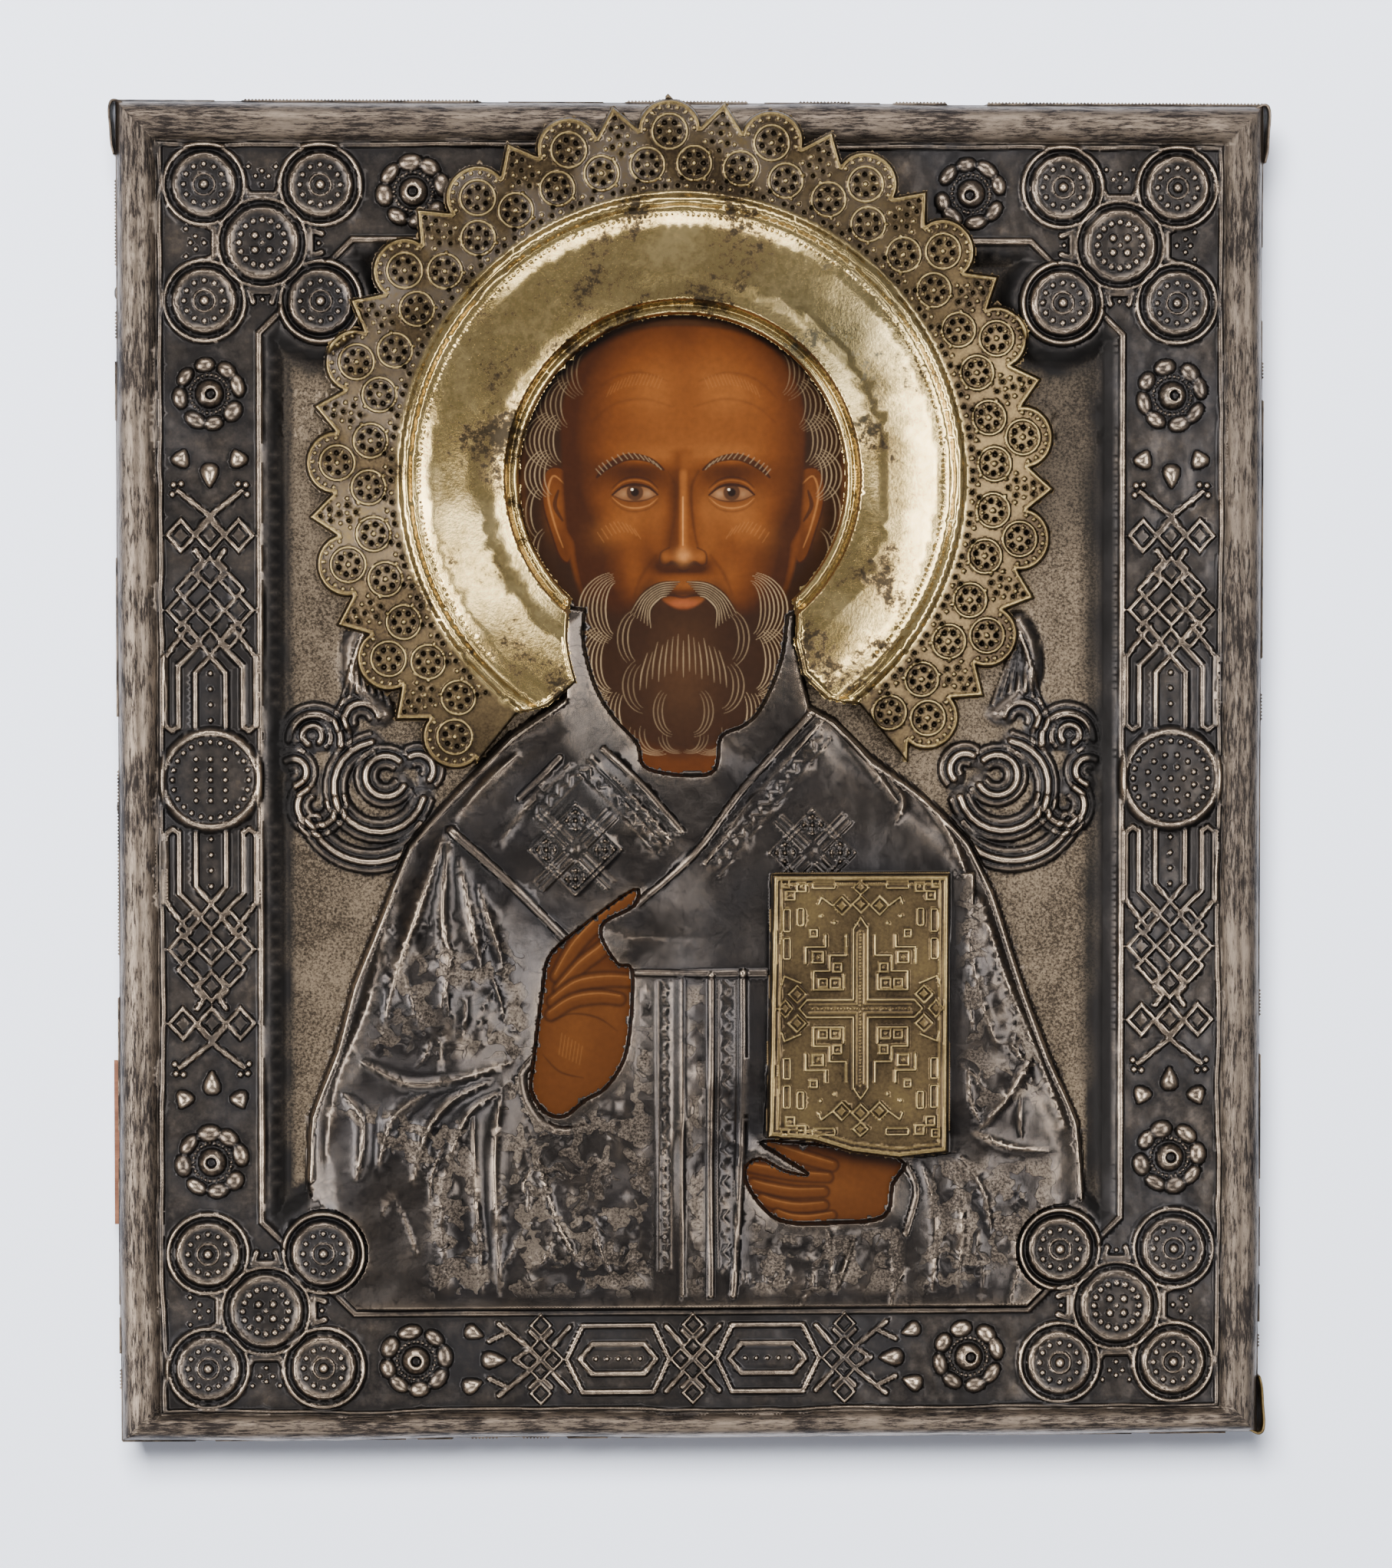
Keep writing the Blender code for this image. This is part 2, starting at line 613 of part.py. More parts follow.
class Plan:
    """A flat triangulation of an outline with holes."""

    def __init__(self, outline, holes=(), loops=(), lines=(), points=()):
        self.outline, self.holes = outline, list(holes)
        keep_out = [(outline, 1)] + [(hole, -1) for hole in self.holes]
        verts, edges = [], []
        for loop in [outline, *self.holes]:
            self._add(verts, edges, loop, True)
        for closed, chains in ((True, loops), (False, lines)):
            for chain in chains:
                self._add_clear(verts, edges, chain, closed, keep_out)
        clear = self._clear(np.array(points).reshape(-1, 2), keep_out)
        verts += [Vector(p) for p, good in zip(points, clear) if good]
        out = delaunay_2d_cdt(verts, edges, [], 0, 1e-4)
        self.points = np.array([tuple(v) for v in out[0]])
        triangles = np.array([f for f in out[2] if len(f) == 3])
        middle = self.points[triangles].mean(axis=1)
        keep = inside_polygon(middle[:, 0], middle[:, 1], outline)
        for hole in self.holes:
            keep &= ~inside_polygon(middle[:, 0], middle[:, 1], hole)
        self.triangles = triangles[keep]

    @staticmethod
    def _add(verts, edges, chain, closed):
        first = len(verts)
        verts += [Vector(p) for p in chain]
        edges += [(first + i, first + i + 1) for i in range(len(chain) - 1)]
        if closed:
            edges.append((first + len(chain) - 1, first))

    @staticmethod
    def _clear(points, keep_out, margin=0.45):
        """Whether each point keeps clear of the outline and the holes."""
        good = np.ones(len(points), bool)
        for polygon, sign in keep_out:
            good &= sign * polygon_depth(points[:, 0], points[:, 1], polygon) > margin
        return good

    def _add_clear(self, verts, edges, chain, closed, keep_out):
        """Adds the stretches of a line that keep clear of the outline and the holes."""
        points = np.array(chain + chain[:1] if closed else chain, float)
        middles = [points[:-1] * (1 - s) + points[1:] * s for s in (0.25, 0.5, 0.75)]
        clear = self._clear(points, keep_out)
        links = clear[:-1] & clear[1:]
        for middle in middles:
            links &= self._clear(middle, keep_out)
        for start, end, linked in zip(points[:-1], points[1:], links):
            if linked:
                self._add(verts, edges, [tuple(start), tuple(end)], False)

    def rims(self):
        """Each boundary as an ordered list of point numbers, with the material on its left."""
        corners = self.triangles
        directed = {}
        for a, b in np.concatenate([corners[:, [0, 1]], corners[:, [1, 2]], corners[:, [2, 0]]]):
            directed[(int(a), int(b))] = True
        ahead = {a: b for a, b in directed if (b, a) not in directed}
        rims = []
        while ahead:
            start, nxt = ahead.popitem()
            rim = [start]
            while nxt != start:
                rim.append(nxt)
                nxt = ahead.pop(nxt)
            rims.append(rim)
        return rims


class Shell:
    """Vertices and faces gathered for one solid."""

    def __init__(self):
        self.verts, self.faces = [], []

    def layer(self, points, heights, triangles, upward):
        """Adds a triangulated layer and returns the number of its first vertex."""
        first = len(self.verts)
        self.verts += [(x, y, z) for (x, y), z in zip(points, heights)]
        for a, b, c in triangles:
            face = (first + a, first + b, first + c)
            self.faces.append(face if upward else face[::-1])
        return first

    def wall(self, upper, lower):
        """Joins two rims of equal length, the upper one running with the material on its left."""
        count = len(upper)
        for i in range(count):
            j = (i + 1) % count
            self.faces.append((lower[i], lower[j], upper[j], upper[i]))

    def make(self, name, material):
        """Builds the object in metres."""
        mesh = bpy.data.meshes.new(name)
        mesh.from_pydata([tuple(c * MM for c in v) for v in self.verts], [], self.faces)
        solid = bmesh.new()
        solid.from_mesh(mesh)
        loose = [v for v in solid.verts if not v.link_faces]
        bmesh.ops.delete(solid, geom=loose, context="VERTS")
        bmesh.ops.recalc_face_normals(solid, faces=solid.faces)
        solid.to_mesh(mesh)
        solid.free()
        return place(name, mesh, material)


def place(name, mesh, material):
    """Links a new object with its material."""
    obj = bpy.data.objects.new(name, mesh)
    obj.data.materials.append(material)
    bpy.context.scene.collection.objects.link(obj)
    return obj


def plate_solid(name, plan, top, bottom, material):
    """A solid between two heights over one plan."""
    shell = Shell()
    x, y = plan.points[:, 0], plan.points[:, 1]
    upper = shell.layer(plan.points, top(x, y), plan.triangles, True)
    lower = shell.layer(plan.points, bottom(x, y), plan.triangles, False)
    for rim in plan.rims():
        shell.wall([upper + i for i in rim], [lower + i for i in rim])
    return shell.make(name, material)


# The pieces

def cover_outline():
    """The skirt's outer line: a rectangle with a bent tab round three corners."""
    gap, t, long = TAB_STAND_OFF, SHEET, TAB_LENGTH
    x, y = HALF_W, HALF_H
    return [
        (-x, -y), (x + gap, -y), (x + gap + t, -y + t), (x + gap + t, -y + long), (x + gap, -y + long),
        (x + gap, -y + 2 * t), (x, -y + t), (x, y - t),
        (x + gap, y - 2 * t), (x + gap, y - long), (x + gap + t, y - long), (x + gap + t, y - t), (x + gap, y),
        (-x - gap, y), (-x - gap - t, y - t), (-x - gap - t, y - long), (-x - gap, y - long), (-x - gap, y - 2 * t),
        (-x, y - t),
    ]


def make_cover(material):
    """The silver sheet: its chased face, the skirt round the board and the openings."""
    loops, lines, points = frame_lines()
    figure_loops, figure_open = figure_lines()
    face = Plan(cover_outline(), openings(), loops + figure_loops, lines + figure_open, points)
    rims = [[tuple(face.points[i]) for i in rim] for rim in face.rims()]
    rims.sort(key=lambda rim: -max(x for x, _ in rim))
    outer, holes = rims[0], rims[1:]
    x_in, y_in = HALF_W - SHEET, HALF_H - SHEET
    inner = [(x_in, -y_in), (x_in, y_in), (-x_in, y_in), (-x_in, -y_in)]
    under = Plan(inner, holes, [field_loop(0.0), field_loop(RECESS_SLOPE)])
    foot = Plan(outer, [inner])
    shell = Shell()
    x, y = face.points[:, 0], face.points[:, 1]
    heights = cover_height(x, y)
    tab = (np.abs(x) > HALF_W + 0.01) | (np.abs(y) > HALF_H + 0.01)
    heights = np.where(tab, BAND_TOP - 0.9, heights)
    top = shell.layer(face.points, heights, face.triangles, True)
    low = shell.layer(under.points, under_height(under.points[:, 0], under.points[:, 1]), under.triangles, False)
    base = shell.layer(foot.points, np.full(len(foot.points), SKIRT_FOOT), foot.triangles, False)
    numbers = [{tuple(np.round(p, 4)): first + i for i, p in enumerate(plan.points)}
               for first, plan in ((top, face), (low, under), (base, foot))]
    at_top, at_low, at_foot = [lambda p, n=n: n[tuple(np.round(p, 4))] for n in numbers]
    shell.wall([at_top(p) for p in outer], [at_foot(p) for p in outer])
    for hole in holes:
        shell.wall([at_top(p) for p in hole], [at_low(p) for p in hole])
    shell.wall([at_foot(p) for p in inner], [at_low(p) for p in inner])
    return shell.make("silver_cover", material)


def halo_edge(angle):
    """Radius of the halo's outline: round lobes with a point between each two."""
    offset = (angle - LOBE_TURN + LOBE_PITCH / 2) % LOBE_PITCH - LOBE_PITCH / 2
    across = abs(math.radians(offset)) * LOBE_CENTRE_R
    half_pitch = math.radians(LOBE_PITCH / 2) * LOBE_CENTRE_R
    if across < LOBE_R:
        return LOBE_CENTRE_R + math.sqrt(LOBE_R ** 2 - across ** 2)
    low = LOBE_CENTRE_R + 0.9
    return low + (HALO_TIP_R - low) * (across - LOBE_R) / (half_pitch - LOBE_R)


def halo_end(radius, side):
    """Angle from the top at which the halo ends on one side, where the shoulder begins."""
    shares, right, left = zip(*HALO_ENDS)
    share = (radius - HALO_INNER_R) / HALO_BAND_W
    return side * float(np.interp(share, shares, right if side > 0 else left))


def halo_arc(radius, count):
    """Points along the halo at one radius, from its left end to its right one."""
    angles = np.linspace(halo_end(radius, -1), halo_end(radius, 1), count)
    return [halo_place(radius, angle) for angle in angles]


def halo_outline():
    """The halo's plan: the inner lip, the two cut ends and the lobed edge."""
    first, last = halo_end(HALO_TIP_R, -1), halo_end(HALO_TIP_R, 1)
    marks = (0.0, 0.13, 0.24, 0.3, 0.5, 0.7, 0.76, 0.87)
    angles = sorted(LOBE_TURN + (k + m) * LOBE_PITCH for k in range(-12, 12) for m in marks)
    angles = [a for a in angles if first + 0.8 < a < last - 0.8]
    edge = [halo_place(halo_edge(a), a) for a in [last, *angles[::-1], first]]
    radii = [HALO_INNER_R + share * HALO_BAND_W for share, _, _ in HALO_ENDS[1:-1]]
    right = [halo_place(r, halo_end(r, 1)) for r in radii]
    left = [halo_place(r, halo_end(r, -1)) for r in radii[::-1]]
    return (halo_arc(HALO_INNER_R, 33) + right + edge + left)[::-1]


def halo_design(x, y):
    """Height of the halo's face above the field where nothing lies in its way."""
    dx, dy = x - HALO_X, y - HALO_Y
    radius, angle = np.hypot(dx, dy), np.degrees(np.abs(np.arctan2(dx, dy)))
    rim = HALO_RIM_TOP_RISE + (HALO_RIM_SIDE_RISE - HALO_RIM_TOP_RISE) * smooth((angle - 42) / 40)
    steps_r = [HALO_INNER_R + share * HALO_BAND_W for share in (0, 0.062, 0.383, 0.695, 0.883, 1, 1.093)]
    steps_z = [HALO_LIP_RISE, HALO_LIP_RISE * 1.16, HALO_BAND_RISE * 0.952, HALO_BAND_RISE, HALO_BEAD_RISE * 0.833,
               HALO_BEAD_RISE, HALO_BEAD_RISE * 0.854]
    inner = np.interp(radius, steps_r, steps_z)
    share = np.clip((radius - steps_r[-1]) / (HALO_TIP_R - steps_r[-1]), 0, 1)
    return inner + (rim - steps_z[-1]) * share


def highest_cover(x, y, reach=2.2):
    """The highest that the cover comes near each point."""
    best = cover_height(x, y)
    for distance in (reach / 2, reach):
        for ax, ay in circle(0, 0, distance, 8):
            px, py = np.clip(x + ax, -HALF_W, HALF_W), np.clip(y + ay, -HALF_H, HALF_H)
            best = np.maximum(best, cover_height(px, py))
    return best


def halo_under(x, y):
    """Underside of the halo: its own shape, lifted where the cover lies under it."""
    return np.maximum(FIELD_TOP + halo_design(x, y) - SHEET, highest_cover(x, y) + FIT_GAP)


def make_halo(material):
    """The gilt halo: a domed band between two beads, in a lobed rim."""
    rings = [(0.062, 33), (0.5, 31), (0.883, 35), (1, 35), (1.093, 35), (1.43, 40)]
    arcs = [halo_arc(HALO_INNER_R + share * HALO_BAND_W, count) for share, count in rings]
    plan = Plan(halo_outline(), [], [], arcs)
    return plate_solid("halo", plan, lambda x, y: halo_under(x, y) + SHEET, halo_under, material)


def make_book_plate(material):
    """The gilt front of the book: a raised border and a long cross."""
    outline = in_figure_units(BOOK_PLATE)
    left, right = min(x for x, _ in outline), max(x for x, _ in outline)
    bottom, top = min(y for _, y in outline), max(y for _, y in outline)
    cx, cy = (left + right) / 2, (top + bottom) / 2 + 0.03 * (top - bottom)
    arm, stem, half = 0.32 * (right - left), 0.27 * (top - bottom), 0.035 * (top - bottom)

    def cross(size):
        w = half * size
        return [
            (cx + w, cy + w), (cx + arm, cy + w), (cx + arm + w, cy), (cx + arm, cy - w), (cx + w, cy - w),
            (cx + w, cy - stem), (cx, cy - stem - w), (cx - w, cy - stem), (cx - w, cy - w),
            (cx - arm, cy - w), (cx - arm - w, cy), (cx - arm, cy + w), (cx - w, cy + w),
            (cx - w, cy + stem), (cx, cy + stem + w), (cx + w, cy + stem),
        ]

    ends = [(cx + dx, cy + dy) for dx, dy in (
        (arm + half, half * 1.9), (arm + half, -half * 1.9), (-arm - half, half * 1.9), (-arm - half, -half * 1.9),
        (half * 2, stem + half * 2), (-half * 2, stem + half * 2), (half * 2, -stem - half * 2), (-half * 2, -stem - half * 2),
    )]
    border, inner = [
        [(x + math.copysign(inset, cx - x), y + math.copysign(inset, cy - y)) for x, y in outline]
        for inset in (BOOK_BORDER_W, BOOK_BORDER_W + BOOK_BEVEL_W)
    ]
    wells = [circle(x, y, BOOK_DIAMOND_R, 4) for x, y in ends]

    def face(x, y):
        rim = 1 - smooth((polygon_depth(x, y, outline) - BOOK_BORDER_W) / BOOK_BEVEL_W)
        raised = np.maximum(rim, np.clip(1 + polygon_depth(x, y, cross(1.0)) / BOOK_BEVEL_W, 0, 1))
        for ex, ey in ends:
            inward = BOOK_DIAMOND_R - np.abs(x - ex) - np.abs(y - ey)
            raised = np.maximum(raised, np.clip(inward / BOOK_BEVEL_W, 0, 1))
        return BOOK_TOP + FIT_GAP + BOOK_PLATE_T + BOOK_RELIEF * raised

    def back(x, y):
        return np.full(np.shape(x), BOOK_TOP + FIT_GAP)

    inner_cross = [
        (x + math.copysign(BOOK_BEVEL_W, x - cx), y + math.copysign(BOOK_BEVEL_W, y - cy)) for x, y in cross(1.0)
    ]
    plan = Plan(outline, [], [border, inner, cross(1.0), inner_cross, *wells], [], ends)
    return plate_solid("book_plate", plan, face, back, material)


def block(name, section, run, material):
    """A prism: a closed section in YZ at each end of a run along X."""
    (x0, first), (x1, last) = run
    shell = Shell()
    shell.verts = [(x0, y, z) for y, z in section(first)] + [(x1, y, z) for y, z in section(last)]
    count = len(shell.verts) // 2
    shell.faces = [tuple(range(count))[::-1], tuple(range(count, 2 * count))]
    shell.faces += [(i, (i + 1) % count, count + (i + 1) % count, count + i) for i in range(count)]
    return shell.make(name, material)


def slat_section(middle, grow=0.0):
    """A dovetail: wider in the board than where it stands out of the back."""
    def section(width):
        half = width / 2 + grow
        neck = half - SLAT_UNDERCUT
        top = SLAT_TOP + grow
        return [
            (middle - neck, 0 - grow * 40), (middle + neck, 0 - grow * 40), (middle + neck, BOARD_BACK),
            (middle + half, top), (middle - half, top), (middle - neck, BOARD_BACK),
        ]
    return section


def slat_run(side, extra=0.0):
    """From the wide end, proud of the board's side, to the narrow end that stops short."""
    wide_x, narrow_x = side * (HALF_W + SLAT_END_PROUD + extra), -side * (BOARD_HALF_W - SLAT_STOP + min(extra, FIT_GAP))
    run = [(wide_x, SLAT_WIDE), (narrow_x, SLAT_NARROW)]
    return run if side < 0 else run[::-1]


def cut(target, cutter):
    """Subtracts a cutter, which stays in the file as a guide."""
    cutter.hide_render = True
    cutter.display_type = "WIRE"
    step = target.modifiers.new(cutter.name, "BOOLEAN")
    step.operation, step.solver, step.object = "DIFFERENCE", "EXACT", cutter


def nail_places():
    """Foot of each nail's head on the skirt, and the way it is driven."""
    z = (SKIRT_FOOT + BAND_UNDER) / 2
    sides = [((side * HALF_W, y, z), (-side, 0, 0)) for side in (-1, 1) for y in NAIL_SIDE_Y]
    ends = [((x, end * HALF_H, z), (0, -end, 0)) for end in (-1, 1) for x in NAIL_END_X]
    return sides + ends


def turned(name, profile, count, foot, way, material):
    """A solid turned round an axis: pairs of radius and depth along the way it is driven."""
    mesh = bpy.data.meshes.new(name)
    solid = bmesh.new()
    axis = Vector(way)
    across = Vector((0, 0, 1))
    aside = axis.cross(across)
    rings = []
    for radius, depth in profile:
        centre = Vector(foot) + axis * depth
        if radius == 0:
            rings.append([solid.verts.new(centre * MM)])
            continue
        spots = [
            centre + (across * math.cos(a) + aside * math.sin(a)) * radius
            for a in (2 * math.pi * i / count for i in range(count))
        ]
        rings.append([solid.verts.new(p * MM) for p in spots])
    for one, two in zip(rings[:-1], rings[1:]):
        for i in range(count):
            corners = [one[i % len(one)], one[(i + 1) % len(one)], two[(i + 1) % len(two)], two[i % len(two)]]
            solid.faces.new(list(dict.fromkeys(corners)))
    bmesh.ops.recalc_face_normals(solid, faces=solid.faces)
    solid.to_mesh(mesh)
    solid.free()
    return place(name, mesh, material)


def make_nails(material, drilled):
    """Small nails through the skirt into the board's edges."""
    clear = (NAIL_SHANK_R + FIT_GAP) / math.cos(math.pi / 6)
    for i, (foot, way) in enumerate(nail_places()):
        head = [(0, -NAIL_HEAD_RISE - FIT_GAP), (NAIL_HEAD_R * 0.7, -NAIL_HEAD_RISE * 0.7 - FIT_GAP), (NAIL_HEAD_R, -FIT_GAP)]
        shank = [(NAIL_SHANK_R, -FIT_GAP), (NAIL_SHANK_R, NAIL_LENGTH * 0.7), (0, NAIL_LENGTH)]
        turned(f"nail_{i + 1}", head + shank, 6, foot, way, material)
        hole = [(0, -2), (clear, -2), (clear, NAIL_LENGTH + FIT_GAP), (0, NAIL_LENGTH + FIT_GAP)]
        for target in drilled:
            cutter = turned(f"drill_{i + 1}_{target.name}", hole, 6, foot, way, material)
            cut(target, cutter)


def make_board(material):
    """The panel: a lower field in front, and two tapered grooves for the slats behind."""
    x, y = BOARD_HALF_W, BOARD_HALF_H
    outline = [(x, -y), (x, y), (-x, y), (-x, -y)]
    plan = Plan(outline, [], [field_loop(-RECESS_SLOPE), field_loop(0.0)])
    board = plate_solid("board", plan, board_height, lambda px, py: np.full(np.shape(px), BOARD_BACK), material)
    for name, side, middle in (("upper", 1, SLAT_FROM_MIDDLE), ("lower", -1, -SLAT_FROM_MIDDLE)):
        run = slat_run(side, extra=5.0)
        cut(board, block(f"{name}_groove", slat_section(middle, FIT_GAP), run, material))
    return board


def make_slats(material):
    """Two tapered slats, driven in from opposite sides."""
    for name, side, middle in (("upper_slat", 1, SLAT_FROM_MIDDLE), ("lower_slat", -1, -SLAT_FROM_MIDDLE)):
        block(name, slat_section(middle), slat_run(side), material)


def make_material(name, colour, roughness, metallic):
    """A plain Principled material."""
    material = bpy.data.materials.new(name)
    material.use_nodes = True
    shader = material.node_tree.nodes["Principled BSDF"]
    shader.inputs["Base Color"].default_value = (*colour, 1.0)
    shader.inputs["Roughness"].default_value = roughness
    shader.inputs["Metallic"].default_value = metallic
    return material


def main():
    for obj in list(bpy.data.objects):
        bpy.data.objects.remove(obj)
    wood = make_material("painted wood", (0.34, 0.15, 0.06), 0.6, 0.0)
    slat_wood = make_material("slat wood", (0.24, 0.12, 0.06), 0.7, 0.0)
    silver = make_material("tarnished silver", (0.33, 0.31, 0.29), 0.38, 0.9)
    gilt = make_material("gilt silver", (0.62, 0.48, 0.2), 0.3, 1.0)
    iron = make_material("nail brass", (0.3, 0.24, 0.14), 0.5, 0.9)
    board = make_board(wood)
    make_slats(slat_wood)
    cover = make_cover(silver)
    make_halo(gilt)
    make_book_plate(gilt)
    make_nails(iron, (board, cover))


main()
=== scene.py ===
"""Looks of an icon panel that lies face up: a chased silver cover with a gilt halo and a gilt
book plate over a painted board.

Sizes are in millimetres, and a mesh turns them into metres when it is made. Each chased piece
is a height field on a fine grid, thinned to triangles where it is plain.
"""

import math

import bpy
import numpy as np
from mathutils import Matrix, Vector


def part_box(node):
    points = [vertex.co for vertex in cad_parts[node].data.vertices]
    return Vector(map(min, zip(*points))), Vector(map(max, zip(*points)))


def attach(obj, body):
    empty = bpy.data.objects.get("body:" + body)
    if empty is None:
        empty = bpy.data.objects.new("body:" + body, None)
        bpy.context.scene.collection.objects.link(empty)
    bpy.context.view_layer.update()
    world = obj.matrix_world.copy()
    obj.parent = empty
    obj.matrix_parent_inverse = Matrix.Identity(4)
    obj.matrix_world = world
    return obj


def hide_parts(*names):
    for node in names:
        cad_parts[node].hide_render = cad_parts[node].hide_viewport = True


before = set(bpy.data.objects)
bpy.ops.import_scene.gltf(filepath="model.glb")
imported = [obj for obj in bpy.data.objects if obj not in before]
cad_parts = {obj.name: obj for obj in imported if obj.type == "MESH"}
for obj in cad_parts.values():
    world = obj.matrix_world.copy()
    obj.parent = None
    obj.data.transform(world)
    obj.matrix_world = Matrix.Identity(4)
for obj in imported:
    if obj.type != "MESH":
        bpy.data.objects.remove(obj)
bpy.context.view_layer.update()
MM = 0.001


def node_box(name):
    """Lowest and highest corner of a CAD node in millimetres."""
    low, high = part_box(name)
    return np.array(low) / MM, np.array(high) / MM


BOARD_HIGH = node_box("board")[1]
COVER_LOW = node_box("silver_cover")[0]
HALO_LOW = node_box("halo")[0]
BOOK_LOW, BOOK_HIGH = node_box("book_plate")

# The frame of the cover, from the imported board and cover
FIT_GAP = 0.3
SHEET = 0.8
HALF_W = BOARD_HIGH[0] + FIT_GAP + SHEET
HALF_H = BOARD_HIGH[1] + FIT_GAP + SHEET
BOARD_FRONT = BOARD_HIGH[2]
RECESS_DEPTH = 2.0
BOARD_FIELD = BOARD_FRONT - RECESS_DEPTH
FIELD_TOP = BOARD_FIELD + FIT_GAP + SHEET
BAND_TOP = BOARD_FRONT + FIT_GAP + SHEET + 1.3
SKIRT_FOOT = COVER_LOW[2]
MOULDING_W = 9.0
MOULDING_BOTTOM_W = 6.2
MOULDING_RISE = 3.0
BAND_W = 24.7
BAND_END_W = 21.4
SLOPE_W = 5.6
FIELD_X = HALF_W - MOULDING_W - BAND_W
FIELD_Y = HALF_H - MOULDING_W - BAND_END_W
BAND_MID_X = FIELD_X + BAND_W / 2
BAND_MID_Y = FIELD_Y + BAND_END_W / 2 + 1.2

# Up to this height the field and the figure are one piece of mesh, and above it another
DRESS_TOP = 20

# Ornament of the frame
KNOT_ARM = 13.4
KNOT_DISC_R = 6.9
KNOT_MIDDLE_R = 7.9
KNOT_DIAGONAL = 5.6
DIAGONAL_SUM = FIELD_X + FIELD_Y - 2 * KNOT_ARM + KNOT_DIAGONAL
KNOT_BITE_R = KNOT_DISC_R + 3.4
MEDALLION_R = 11.0
MEDALLION_Y = -1.2
FLOWER_FROM_KNOT = 34.9

# The halo
HALO_X, HALO_Y = -2.5, 68.8
HALO_INNER_R = 38.3
HALO_RIM_R = 66.2
HALO_TIP_R = 87.0
LOBE_TURN = -2.2
LOBE_PITCH = 17.05
LOBE_R = 7.2
LOBE_CENTRE_R = 80.1
INNER_RING_R = 72.8
FACE_OPENING_R = HALO_INNER_R + 3.2

# Heights over the field: the halo's inner lip, its crest, its outer bead, its rim at the top and low down
LIP_RISE, CREST_RISE, BEAD_RISE = 5.6, 10.6, 8.9
RIM_RISE_TOP, RIM_RISE_LOW = 8.4, 2.1

# The band's profile as radius and height
HALO_PROFILE = [
    (HALO_INNER_R - 0.4, LIP_RISE - 0.2), (HALO_INNER_R + 0.3, LIP_RISE + 0.5),
    (HALO_INNER_R + 1.1, LIP_RISE + 0.75), (HALO_INNER_R + 1.9, LIP_RISE + 0.2),
    (HALO_INNER_R + 3.0, LIP_RISE + 3.7), (44.4, CREST_RISE - 0.55),
    (47.5, CREST_RISE - 0.2), (53, CREST_RISE - 0.9), (58.5, BEAD_RISE - 0.2), (61.8, BEAD_RISE - 1.4),
    (62.6, BEAD_RISE - 1.5), (63.2, BEAD_RISE - 0.7), (64.0, BEAD_RISE), (65.0, BEAD_RISE - 0.4),
    (65.8, BEAD_RISE - 1.5), (66.4, BEAD_RISE - 1.6),
]

# Where the halo ends: radius, then the angle from the top at the right and at the left
HALO_ENDS = [
    (HALO_INNER_R, 137, 137), (HALO_INNER_R + 7.8, 145.5, 144), (HALO_INNER_R + 15, 148.5, 152),
    (HALO_INNER_R + 23, 146.5, 149), (HALO_INNER_R + 28.6, 141.6, 144.5), (HALO_TIP_R, 141.2, 143.7),
]

# Outlines of the figure
ROBE_LEFT = [
    (-86, -140), (-90.7, -95), (-90, -80), (-84, -64), (-80, -49), (-75.6, -38), (-70.9, -26),
    (-67, -16.6), (-61.6, -10), (-53, -0.8), (-42.8, 9.5), (-30.6, 18), (-30.2, 30), (-31, 42),
]
ROBE_RIGHT = [
    (24, 42), (24.4, 30), (27.9, 16), (33.5, 13), (42, 4.6), (52.4, -3), (60, -9.7), (65.6, -16),
    (71.3, -27.5), (75, -38.8), (79, -51), (85, -67), (91.5, -82), (93, -100), (90, -140),
]
BEARD_EDGE = [
    (-25, 38.4), (-25.4, 31), (-22.7, 20.6), (-18.4, 13.2), (-12.9, 7.1), (-10.2, 1), (4.3, 0),
    (6.7, 8.4), (11.9, 11.1), (15.4, 14.2), (18.7, 20.5), (21.2, 28), (22.2, 36.8),
]
BLESSING_HAND = [
    (-13.8, -27.2), (-27.8, -37.4), (-33.5, -43), (-35, -50.4), (-37.3, -69), (-37.6, -74.5),
    (-34.4, -79.3), (-30, -80.3), (-25, -76.5), (-20.3, -73.7), (-16, -67), (-14.4, -57.7),
    (-14.2, -46), (-17.5, -44.6), (-21.3, -38.3), (-20.3, -34.6), (-13.7, -31),
]
HOLDING_HAND = [
    (17.8, -86.4), (48, -90.4), (47, -97), (45, -104.4), (33, -105.7), (20.6, -105.1),
    (13.9, -98.4), (12.5, -92.8), (16, -90.6), (22, -93.6), (27.3, -94.3), (20.6, -89.8),
]
BOOK_PLATE = [
    (18.5, -23.5), (17.4, -84.6), (28, -85.4), (37, -88.2), (48, -89.6), (59.3, -88.3), (59.6, -23.5),
]


# Fineness of the grids, and how many triangles each piece or group of pieces may have
COVER_STEP, HALO_STEP, BOOK_STEP, HEAD_STEP, HAND_STEP = 0.2, 0.16, 0.14, 0.17, 0.2
COVER_BUDGET, HALO_BUDGET, BOOK_BUDGET = 445000, 215000, 55000
HEAD_BUDGET, LEFT_HAND_BUDGET, RIGHT_HAND_BUDGET = 172000, 28000, 24000


# Numbers on a grid

def smooth(t):
    """A soft step from 0 to 1."""
    t = np.clip(t, 0.0, 1.0)
    return t * t * (3 - 2 * t)


